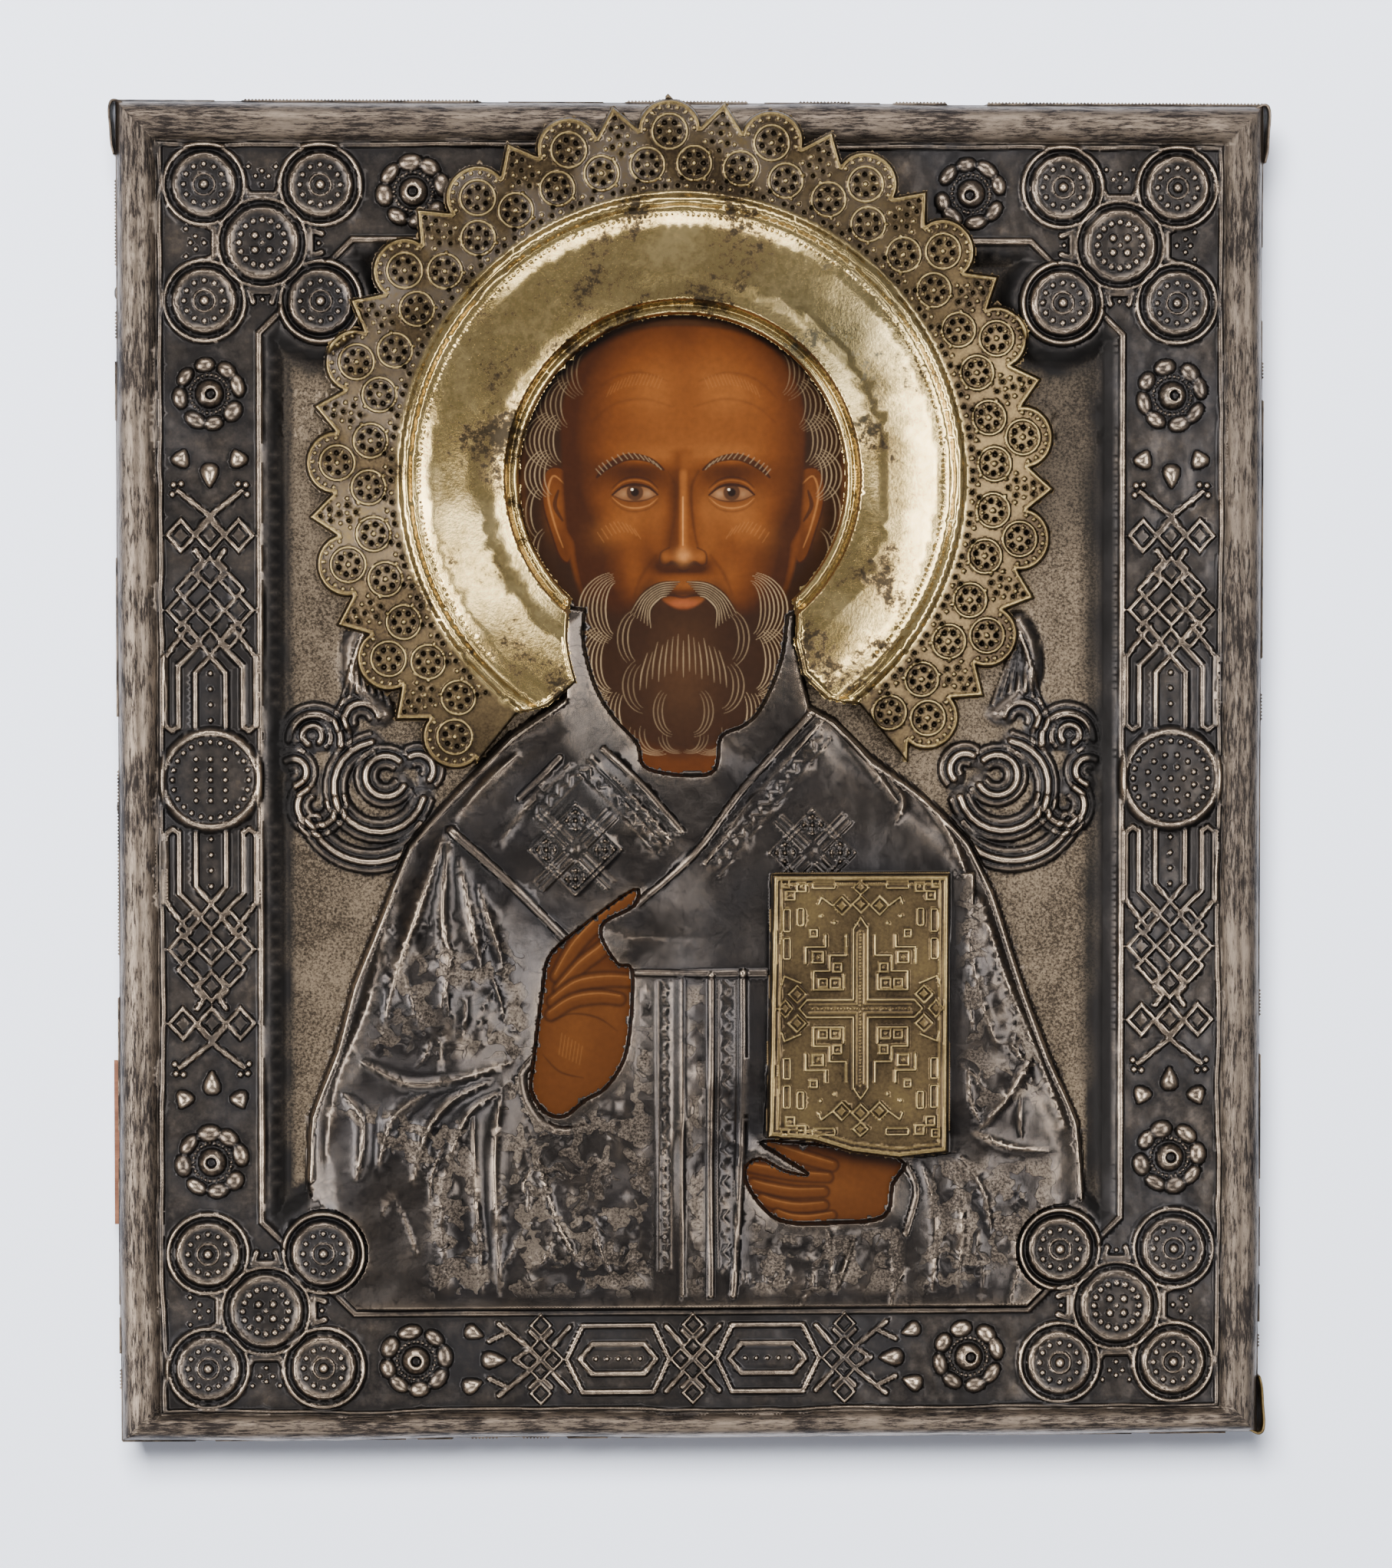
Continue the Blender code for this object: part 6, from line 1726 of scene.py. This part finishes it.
def lock(picture, x, y, side, across, along, first, last, count, strength, wild):
    """A lock of hair: fine lines nested in one another, bowed to one side."""
    for i in range(count):
        share = 1 - i / (count + 1.5)
        start, end = first + wild.uniform(-7, 7), last + wild.uniform(-7, 7)
        line = [(x + side * across * share * math.cos(a), y + along * (0.6 + 0.4 * share) * math.sin(a))
                for a in np.radians(np.linspace(start, end, 16))]
        picture.stroke(line, 0.30, HAIR_PALE, strength * wild.uniform(0.6, 1.0), 0.8, 0.1)


def side_hair(picture):
    """Short hair beside the temples, in soft locks of fine lines."""
    wild = np.random.default_rng(81)
    for side in (-1, 1):
        for out, y, across, along, count, strength in (
            (22.0, 93.5, 7.5, 6.8, 5, 0.25), (25.6, 86.0, 9.0, 7.2, 6, 0.35), (27.6, 77.6, 9.4, 7.4, 7, 0.55),
            (29.6, 69.6, 7.4, 6.6, 5, 0.65), (32.6, 61.0, 4.2, 6.6, 2, 0.55), (31.0, 52.0, 4.2, 5.6, 2, 0.45),
        ):
            lock(picture, HEAD_X + side * out, y, side, across, along, -62, 66, count, strength, wild)


def beard(picture):
    """A full, rounded beard of curling locks, and a moustache."""
    wild = np.random.default_rng(82)
    mass = curve(aside(HEAD_X, 1, [
        (-26.5, 46), (-21.5, 41.5), (-14.0, 38.5), (-8.0, MOUTH_Y + 3.0), (0, MOUTH_Y + 1.2),
        (8.0, MOUTH_Y + 3.0), (14.0, 38.5), (21.5, 41.5), (26.5, 46), (27.5, 33), (22, 17), (12, 7.0),
        (3, 4.0), (-4, 4.2), (-13, 8), (-22, 18), (-27.5, 33),
    ]), 6, True)
    lip = curve(aside(HEAD_X, 1, [
        (-5.2, MOUTH_Y - 0.2), (0, MOUTH_Y - 3.3), (5.2, MOUTH_Y - 0.2), (0, MOUTH_Y + 0.3),
    ]), 6, True)
    area = picture.sheet.window(mass, 4)
    depth = polygon_depth(picture.x[area], picture.y[area], mass)
    keep = smooth(0.5 - polygon_depth(picture.x[area], picture.y[area], lip) / 1.0)
    picture.wash(smooth(0.4 + depth / 5.0) * keep * 0.95, HAIR_DARK, area)
    picture.glow(HEAD_X, 24, 8, 12, HAIR_WARM, 0.4)
    for side in (-1, 1):
        for out, y, across, along, first, last, count, strength in (
            (10.0, 31.5, 5.4, 7.0, -60, 70, 3, 0.40), (8.6, 20.5, 5.6, 6.6, -75, 60, 3, 0.36),
            (2.4, 14.5, 4.6, 6.0, -85, 55, 3, 0.30), (15.6, 38.4, 8.8, 8.6, -70, 80, 7, 0.70),
            (16.6, 26.0, 9.2, 8.8, -80, 66, 7, 0.85), (12.4, 14.6, 8.8, 7.4, -98, 44, 7, 0.75),
            (6.2, 9.4, 6.4, 5.2, -112, 14, 4, 0.45), (1.6, 8.6, 4.2, 4.0, -110, 0, 3, 0.28),
        ):
            lock(picture, HEAD_X + side * out, y, side, across, along, first, last, count, strength, wild)
    for k in range(15):
        px = HEAD_X - 8.4 + 1.2 * k
        bow = (px - HEAD_X) * 0.16
        top = 31.5 - 0.05 * (px - HEAD_X) ** 2 + wild.uniform(-1.2, 1.2)
        line = curve([(px, top), (px + bow, top - 4.5), (px + bow * 1.3, top - 8.5)], 6)
        picture.stroke(line, 0.3, HAIR_PALE, 0.28 + 0.2 * wild.uniform(), 0.8)
    for side in (-1, 1):
        for i in range(7):
            high = MOUTH_Y + 3.4 - 0.55 * i
            line = curve(aside(HEAD_X, side, [
                (0.9 + 0.5 * i, high), (5.5, high - 0.5), (9.6 - 0.3 * i, high - 3.2),
                (12.4 - 0.8 * i, high - 7.4),
            ]), 6)
            picture.stroke(line, 1.1, HAIR_DARK, 0.8, 0.7)
            picture.stroke(line, 0.3, HAIR_PALE, 0.5 + 0.25 * wild.uniform(), 0.85)


def paint_hands():
    """A blessing hand and a hand that holds the book."""
    first = Picture((-40.5, -83), (-9.5, -24), HAND_STEP, SKIN_MIDDLE)
    x, y = first.x, first.y
    palm = curve([
        (-38, -76), (-36.5, -58), (-34, -50), (-26, -46), (-15, -48), (-13.5, -60), (-17, -72), (-25, -80),
        (-34, -81),
    ], 6, True)
    first.patch(palm, SKIN, 1.0, 2.0)
    first.glow(-27.5, -62, 5.0, 9.0, SKIN_LIGHT, 0.7, -12)
    first.glow(-19, -55, 2.6, 5.0, SKIN_LIGHT, 0.5, 10)
    # Painted shade along the edge of the cover's opening
    first.wash(smooth((2.4 - polygon_depth(x, y, curve(BLESSING_HAND, 4, True))) / 3.6) * 0.4, SKIN_DARK)
    fingers = [
        ([(-31.5, -47.5), (-27.0, -40.0), (-20.5, -33.5), (-13.5, -28.6)], 3.6),
        ([(-31.0, -50.5), (-26.0, -45.0), (-20.5, -40.6), (-15.0, -34.5)], 3.4),
        ([(-32.5, -53.5), (-27.0, -49.6), (-20.5, -48.4), (-15.0, -48.6)], 3.4),
        ([(-33.0, -56.6), (-28.0, -53.4), (-22.0, -52.4), (-17.0, -53.0)], 3.2),
    ]
    for points, width in fingers:
        line = curve(points, 8)
        first.stroke(line, width + 1.0, SKIN_DARK, 0.85, 0.15, 0.5)
        first.stroke(line, width - 0.2, SKIN, 1.0, 0.2, 0.6)
        first.stroke(offset_line(line, -0.6), 1.2, SKIN_LIGHT, 0.7, 0.5, 0.5)
        first.stroke(offset_line(line, -0.8), 0.3, SKIN_GLOW, 0.6, 0.6)
    for line in (
        [(-33, -58), (-28, -56.4), (-22, -57.4), (-17.5, -60.5)], [(-35, -66), (-31, -70), (-25.5, -71.5)],
    ):
        first.stroke(curve(line, 8), 0.5, LINE_BROWN, 0.55, 0.7, 0.25)
    for i in range(7):
        ends = [(-30.5 + 0.8 * i, -61 - 0.5 * i), (-31.2 + 0.8 * i, -66 - 0.4 * i)]
        first.stroke(ends, 0.2, SKIN_GLOW, 0.35, 0.7)
    second = Picture((9.5, -108.5), (51, -83.5), HAND_STEP, SKIN_MIDDLE)
    x, y = second.x, second.y
    back = curve([(18, -92), (30, -91), (46, -92), (46, -103), (33, -105), (22, -103)], 6, True)
    second.patch(back, SKIN, 1.0, 2.0)
    second.glow(33, -97.5, 8.0, 3.2, SKIN_LIGHT, 0.65, -6)
    # Painted shade along the edge of the cover's opening
    second.wash(smooth((2.0 - polygon_depth(x, y, curve(HOLDING_HAND, 4, True))) / 3.0) * 0.4, SKIN_DARK)
    for points, width in (
        ([(33, -92.4), (27, -90.6), (21, -88.6), (16.5, -87.0)], 3.3),
        ([(32, -95.2), (25, -94.6), (18, -93.4), (13.6, -92.6)], 2.9),
        ([(31, -98.6), (24, -98.6), (18, -97.6), (14.4, -96.6)], 2.9),
        ([(31, -101.8), (25, -102.2), (20, -101.4), (16.4, -100.2)], 2.8),
        ([(33, -104.2), (28, -105.0), (23.5, -104.8), (20, -103.6)], 2.4),
    ):
        line = curve(points, 8)
        second.stroke(line, width + 0.8, SKIN_DARK, 0.8, 0.15, 0.4)
        second.stroke(line, width - 0.3, SKIN, 1.0, 0.2, 0.5)
        second.stroke(offset_line(line, 0.5), 1.0, SKIN_LIGHT, 0.65, 0.5, 0.4)
        second.stroke(offset_line(line, 0.7), 0.3, SKIN_GLOW, 0.5, 0.6)
    for picture in (first, second):
        picture.colour *= HAND_SHADE
    return first, second


def make_picture(paint):
    """The painted head and hands, seen through the openings of the cover."""
    head = paint_head()
    hands = paint_hands()
    for picture, name, budget in (
        (head, "painted_head", HEAD_BUDGET), (hands[0], "painted_hand_left", LEFT_HAND_BUDGET),
        (hands[1], "painted_hand_right", RIGHT_HAND_BUDGET),
    ):
        for piece in picture.pieces(name, budget):
            dress(piece, paint, "painted_wood")


# Materials

def new_material(name):
    """A material whose nodes are added by name."""
    material = bpy.data.materials.new(name)
    material.use_nodes = True
    tree = material.node_tree
    shader = tree.nodes["Principled BSDF"]
    coordinates = tree.nodes.new("ShaderNodeTexCoord").outputs["Object"]
    return material, tree, shader, coordinates


def add(tree, kind, inputs=None, **settings):
    """A node with its settings and inputs; an input is a value or another node's socket."""
    node = tree.nodes.new(kind)
    for key, value in settings.items():
        setattr(node, key, value)
    for key, value in (inputs or {}).items():
        if isinstance(value, bpy.types.NodeSocket):
            tree.links.new(value, node.inputs[key])
        else:
            node.inputs[key].default_value = value
    return node


def textured(tree, coordinates, scale, detail=4.0, stretch=(1, 1, 1), roughness=0.55):
    """Noise with features of about 1/scale metres."""
    mapped = add(tree, "ShaderNodeMapping", {"Vector": coordinates, "Scale": stretch})
    made = add(tree, "ShaderNodeTexNoise", {
        "Vector": mapped.outputs["Vector"], "Scale": scale, "Detail": detail, "Roughness": roughness,
    })
    return made.outputs["Fac"]


def ramp(tree, fac, *stops):
    """A colour ramp from pairs of place and colour."""
    node = add(tree, "ShaderNodeValToRGB", {"Fac": fac})
    elements = node.color_ramp.elements
    while len(elements) < len(stops):
        elements.new(0.5)
    for element, (place, colour) in zip(elements, stops):
        element.position = place
        element.color = (*colour, 1.0) if len(colour) == 3 else colour
    return node.outputs["Color"]


def math_node(tree, operation, a, b=0.0, clamp=False):
    node = add(tree, "ShaderNodeMath", {0: a, 1: b}, operation=operation, use_clamp=clamp)
    return node.outputs["Value"]


def plus(tree, a, b):
    return math_node(tree, "ADD", a, b)


def minus(tree, a, b, clamp=False):
    return math_node(tree, "SUBTRACT", a, b, clamp)


def times(tree, a, b, clamp=False):
    return math_node(tree, "MULTIPLY", a, b, clamp)


def mixed(tree, fac, a, b, blend="MIX"):
    """Two colours mixed by a share."""
    node = add(tree, "ShaderNodeMix", {"Factor": fac}, data_type="RGBA", blend_type=blend)
    for socket, value in ((node.inputs[6], a), (node.inputs[7], b)):
        if isinstance(value, bpy.types.NodeSocket):
            tree.links.new(value, socket)
        else:
            socket.default_value = (*value, 1.0)
    return node.outputs[2]


def layer(tree, name):
    return add(tree, "ShaderNodeAttribute", attribute_name=name).outputs["Fac"]


def bumped(tree, shader, height, strength, distance, under=None):
    bump = add(tree, "ShaderNodeBump", {"Height": height, "Strength": strength, "Distance": distance})
    if under:
        tree.links.new(under, bump.inputs["Normal"])
    tree.links.new(bump.outputs["Normal"], shader.inputs["Normal"])
    return bump.outputs["Normal"]


def grey(value):
    return (value, value, value)


def flakes(tree, co, scale, stretch, broad, share=0.35):
    """Patina that comes off in small sharp flakes, denser in some places."""
    fine = textured(tree, co, scale, 8, stretch, 0.78)
    swing = times(tree, minus(tree, broad, 0.5), share)
    return plus(tree, fine, swing)


def silver_material():
    """Tarnished silver: dark in its hollows, bright and warm where it is worn."""
    material, tree, shader, co = new_material("tarnished silver")
    wear, moulding, field = (layer(tree, key) for key in ("wear", "moulding", "field"))
    broad = textured(tree, co, 60, 3)
    fine = textured(tree, co, 900, 5, roughness=0.65)
    grain = flakes(tree, co, 1700, (1, 1, 1), broad, 0.3)
    streak_x = flakes(tree, co, 1500, (0.14, 1, 1), broad, 0.42)
    streak_y = flakes(tree, co, 1500, (1, 0.14, 1), broad, 0.42)
    geometry = add(tree, "ShaderNodeSeparateXYZ", {"Vector": co})
    across = minus(tree, math_node(tree, "ABSOLUTE", geometry.outputs["X"]), HALF_W * MM)
    upward = minus(tree, math_node(tree, "ABSOLUTE", geometry.outputs["Y"]), HALF_H * MM)
    on_side = math_node(tree, "GREATER_THAN", across, upward)
    streak = mixed(tree, on_side, streak_x, streak_y)
    middling = textured(tree, co, 210, 4)
    worn = wear
    dressed = layer(tree, "robe")
    calm = minus(tree, 1.0, times(tree, dressed, 0.45))
    for swing, amount in ((broad, 0.45), (middling, 0.42), (fine, 0.50)):
        swing = times(tree, minus(tree, swing, 0.5), calm)
        worn = plus(tree, worn, times(tree, swing, amount))
    chased = ramp(tree, worn, (0.28, (0.015, 0.013, 0.012)), (0.48, (0.038, 0.031, 0.026)),
                  (0.62, (0.074, 0.057, 0.043)), (0.80, (0.130, 0.098, 0.072)), (1.0, (0.34, 0.262, 0.19)))
    chased = mixed(tree, times(tree, dressed, 0.3), chased, (0.023, 0.0195, 0.0175))
    cool = ramp(tree, textured(tree, co, 42, 2), (0.46, grey(0.0)), (0.62, grey(0.32)))
    chased = mixed(tree, cool, chased, (0.030, 0.029, 0.031))
    tube = ramp(tree, streak, (0.41, (0.016, 0.0125, 0.011)), (0.475, (0.050, 0.039, 0.031)),
                (0.51, (0.095, 0.073, 0.055)), (0.62, (0.142, 0.110, 0.083)))
    flat = ramp(tree, grain, (0.42, (0.022, 0.016, 0.011)), (0.48, (0.060, 0.045, 0.030)),
                (0.52, (0.098, 0.073, 0.048)), (0.62, (0.15, 0.113, 0.076)))
    colour = mixed(tree, moulding, chased, tube)
    brocade = ramp(tree, grain, (0.43, (0.014, 0.011, 0.009)), (0.485, (0.044, 0.034, 0.026)),
                   (0.515, (0.068, 0.053, 0.041)), (0.60, (0.100, 0.080, 0.061)))
    sway = add(tree, "ShaderNodeTexNoise", {"Vector": co, "Scale": 150, "Detail": 2})
    swayed = {0: sway.outputs["Color"], 1: (0.009, 0.009, 0), 2: co}
    warped = add(tree, "ShaderNodeVectorMath", swayed, operation="MULTIPLY_ADD")
    leaf_height = textured(tree, warped.outputs["Vector"], 200, 1.6, (1, 1, 0.01))
    leaf = ramp(tree, leaf_height, (0.488, grey(0.0)), (0.500, grey(1.0)))
    leaf_edge = ramp(tree, leaf_height, (0.478, grey(0.0)), (0.494, grey(1.0)), (0.512, grey(0.0)))
    woven = layer(tree, "brocade")
    ground = times(tree, woven, minus(tree, 1.0, leaf))
    colour = mixed(tree, ground, colour, brocade)
    engraved = times(tree, leaf_edge, times(tree, dressed, 0.75))
    colour = mixed(tree, engraved, colour, (0.014, 0.012, 0.011))
    colour = mixed(tree, field, colour, flat)
    # Painted shade, with some tarnish, darkens the silver and makes it duller
    shade_and_tarnish = layer(tree, "shade_and_tarnish")
    colour = mixed(tree, shade_and_tarnish, colour, (0.010, 0.009, 0.0085))
    tree.links.new(colour, shader.inputs["Base Color"])
    shader.inputs["Metallic"].default_value = 0.92
    rough = ramp(tree, worn, (0.3, grey(0.38)), (0.8, grey(0.26)))
    rough = mixed(tree, moulding, rough, ramp(tree, streak, (0.46, grey(0.55)), (0.52, grey(0.38))))
    rough = mixed(tree, ground, mixed(tree, dressed, rough, grey(0.26)), grey(0.46))
    rough = mixed(tree, field, rough, grey(0.5))
    tree.links.new(mixed(tree, shade_and_tarnish, rough, grey(0.6)), shader.inputs["Roughness"])
    crumple = textured(tree, co, 190, 1.6, roughness=0.4)
    amount = minus(tree, 0.45, times(tree, dressed, 0.2))
    amount = times(tree, amount, minus(tree, 1.0, field))
    crumple = times(tree, crumple, amount)
    crumple = plus(tree, crumple, times(tree, times(tree, leaf, woven), 0.12))
    crumple = plus(tree, crumple, times(tree, times(tree, fine, dressed), 0.018))
    large = bumped(tree, shader, crumple, 0.8, 0.0013)
    height = plus(tree, times(tree, grain, 0.5), times(tree, streak, moulding))
    bumped(tree, shader, height, 0.3, 0.00025, large)
    return material


def gilt_material():
    """Worn gilding: bright gold with dark tarnish flakes on the band, and brown gold on the rim."""
    material, tree, shader, co = new_material("worn gilding")
    wear, rim = layer(tree, "wear"), layer(tree, "rim")
    place = add(tree, "ShaderNodeSeparateXYZ", {"Vector": co})
    high = minus(tree, place.outputs["Y"], times(tree, place.outputs["X"], 0.8))
    upper_left = times(tree, minus(tree, high, 0.07), 9.0, True)
    broad = textured(tree, co, 60, 3, roughness=0.5)
    spots = textured(tree, co, 520, 9, roughness=0.8)
    fine = textured(tree, co, 1500, 3)
    patch = plus(tree, times(tree, broad, 0.5), times(tree, spots, 0.55))
    patch = minus(tree, patch, times(tree, upper_left, 0.055))
    lower = times(tree, minus(tree, HALO_Y * MM - 0.018, place.outputs["Y"]), 40.0, True)
    patch = minus(tree, patch, times(tree, lower, 0.022))
    polished = ramp(tree, patch, (0.405, (0.026, 0.019, 0.011)), (0.44, (0.09, 0.060, 0.027)),
                    (0.462, (0.30, 0.212, 0.080)), (0.60, (0.50, 0.370, 0.165)))
    # Painted dark reflection: the band is made darker and olive at its upper right
    dark_reflection_place = (HALO_X + 38) * MM, (HALO_Y + 34) * MM, (FIELD_TOP + 10) * MM
    away = add(tree, "ShaderNodeVectorMath", {0: co, 1: dark_reflection_place}, operation="DISTANCE").outputs["Value"]
    dark_reflection_share = minus(tree, 0.6, times(tree, away, 22.0), True)
    polished = mixed(tree, dark_reflection_share, polished, (0.10, 0.095, 0.06))
    worn = plus(tree, wear, times(tree, minus(tree, broad, 0.5), 0.5))
    worn = plus(tree, worn, times(tree, minus(tree, fine, 0.5), 0.3))
    chased = ramp(tree, worn, (0.30, (0.024, 0.016, 0.009)), (0.46, (0.075, 0.051, 0.024)),
                  (0.60, (0.115, 0.080, 0.033)), (0.85, (0.29, 0.215, 0.096)))
    dusty = times(tree, upper_left, ramp(tree, broad, (0.44, grey(0.0)), (0.60, grey(0.55))))
    low_places = ramp(tree, worn, (0.44, grey(1.0)), (0.56, grey(0.0)))
    chased = mixed(tree, times(tree, dusty, low_places), chased, (0.125, 0.108, 0.098))
    # the dirt layer darkens the rim round its holes: painted shade with some dirt
    chased = mixed(tree, layer(tree, "dirt"), chased, (0.012, 0.009, 0.006))
    tree.links.new(mixed(tree, rim, polished, chased), shader.inputs["Base Color"])
    shader.inputs["Metallic"].default_value = 0.95
    rough = ramp(tree, patch, (0.42, grey(0.42)), (0.47, grey(0.16)))
    rough = mixed(tree, rim, rough, grey(0.36))
    tree.links.new(rough, shader.inputs["Roughness"])
    bumped(tree, shader, plus(tree, fine, spots), 0.12, 0.0002)
    return material


def wood_material(name, dark, light):
    """Old bare wood with its grain along X."""
    material, tree, shader, co = new_material(name)
    grain = textured(tree, co, 180, 6, (0.06, 1, 1), 0.6)
    pores = textured(tree, co, 1400, 3, (0.05, 1, 1))
    share = plus(tree, times(tree, grain, 0.7), times(tree, pores, 0.3))
    tree.links.new(ramp(tree, share, (0.35, dark), (0.65, light)), shader.inputs["Base Color"])
    tree.links.new(ramp(tree, grain, (0.3, grey(0.75)), (0.7, grey(0.55))), shader.inputs["Roughness"])
    bumped(tree, shader, share, 0.4, 0.0004)
    return material


def paint_material():
    """Varnished tempera: its colours are painted on the mesh."""
    material, tree, shader, co = new_material("varnished paint")
    paint = add(tree, "ShaderNodeVertexColor", layer_name="paint").outputs["Color"]
    mottle = textured(tree, co, 700, 5)
    tone = ramp(tree, mottle, (0.3, grey(0.25)), (0.7, grey(0.85)))
    tree.links.new(mixed(tree, 0.16, paint, tone, "OVERLAY"), shader.inputs["Base Color"])
    shader.inputs["Roughness"].default_value = 0.42
    shader.inputs["Specular IOR Level"].default_value = 0.07
    bumped(tree, shader, mottle, 0.08, 0.0002)
    return material


# The stage

CAMERA_PLACE = (-54.9, 45.4, 1200.0)
CAMERA_TURN = (-2.333, -2.720, 0.0)
FOCAL_PIXELS = 6558.0
IMAGE_H = 2044.0

# Lamps that only mirroring surfaces show: place and size in metres, then power
MIRROR_BOXES = [
    ("left_box", (-1.0, -0.14, 0.84), (0.8, 0.5), 28),
    ("left_high_box", (-0.36, -0.10, 1.24), (0.18, 0.42), 2.6),
    ("right_box", (0.72, -0.02, 1.10), (1.15, 0.42), 25),
    ("top_box", (-0.1, 1.1, 0.95), (1.3, 0.5), 22),
    ("bottom_box", (-0.2, -1.1, 0.8), (1.2, 0.4), 9),
]


def make_camera():
    """A camera above the panel, from the photograph's side."""
    data = bpy.data.cameras.new("camera")
    data.sensor_fit = "VERTICAL"
    data.sensor_height = 36.0
    data.lens = FOCAL_PIXELS / IMAGE_H * 36.0
    data.clip_start, data.clip_end = 0.05, 20
    camera = bpy.data.objects.new("camera", data)
    camera.location = Vector(CAMERA_PLACE) * MM
    camera.rotation_euler = [math.radians(a) for a in CAMERA_TURN]
    bpy.context.scene.collection.objects.link(camera)
    bpy.context.scene.camera = camera


def softbox(name, place, size, energy, glossy=True, diffuse=True):
    """A rectangular lamp that faces the panel, for mirroring surfaces, dull ones or both."""
    data = bpy.data.lights.new(name, "AREA")
    data.shape = "RECTANGLE"
    data.size, data.size_y = size
    data.energy = energy
    lamp = bpy.data.objects.new(name, data)
    lamp.visible_glossy = glossy
    lamp.visible_diffuse = diffuse
    lamp.location = place
    lamp.rotation_euler = (Vector((0, 0, 0.02)) - Vector(place)).to_track_quat("-Z", "Y").to_euler()
    bpy.context.scene.collection.objects.link(lamp)


def make_stage():
    """A pale floor, soft lamps and a dim surround."""
    reach = 3000.0
    corners = np.array([(-reach, -reach, 0), (reach, -reach, 0), (reach, reach, 0), (-reach, reach, 0)])
    floor = make_mesh("floor", corners, np.array([[0, 1, 2, 3]]))
    material, tree, shader, co = new_material("pale floor")
    shader.inputs["Base Color"].default_value = (0.83, 0.872, 0.98, 1)
    shader.inputs["Roughness"].default_value = 0.9
    floor.data.materials.append(material)
    for name, place, size, energy in MIRROR_BOXES:
        softbox(name, place, size, energy, diffuse=False)
    softbox("key", (-0.18, 0.42, 1.38), (0.42, 0.42), 71, glossy=False)
    world = bpy.data.worlds.new("studio")
    world.use_nodes = True
    world.node_tree.nodes["Background"].inputs["Color"].default_value = (0.92, 0.96, 1.06, 1)
    world.node_tree.nodes["Background"].inputs["Strength"].default_value = 0.32
    bpy.context.scene.world = world


def main():
    silver, gilt = silver_material(), gilt_material()
    make_camera()
    make_stage()
    make_cover(silver)
    make_halo(gilt)
    make_book(gilt)
    make_picture(paint_material())
    make_skirt(silver)
    make_tabs(silver, gilt)
    make_nails(wood_material("dark iron", (0.02, 0.018, 0.016), (0.08, 0.065, 0.05)))
    old_wood = wood_material("old wood", (0.10, 0.055, 0.03), (0.26, 0.15, 0.085))
    slat_wood = wood_material("slat wood", (0.07, 0.022, 0.010), (0.19, 0.075, 0.035))
    for name, material in (("board", old_wood), ("upper_slat", slat_wood), ("lower_slat", slat_wood)):
        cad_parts[name].data.materials.clear()
        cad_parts[name].data.materials.append(material)


main()
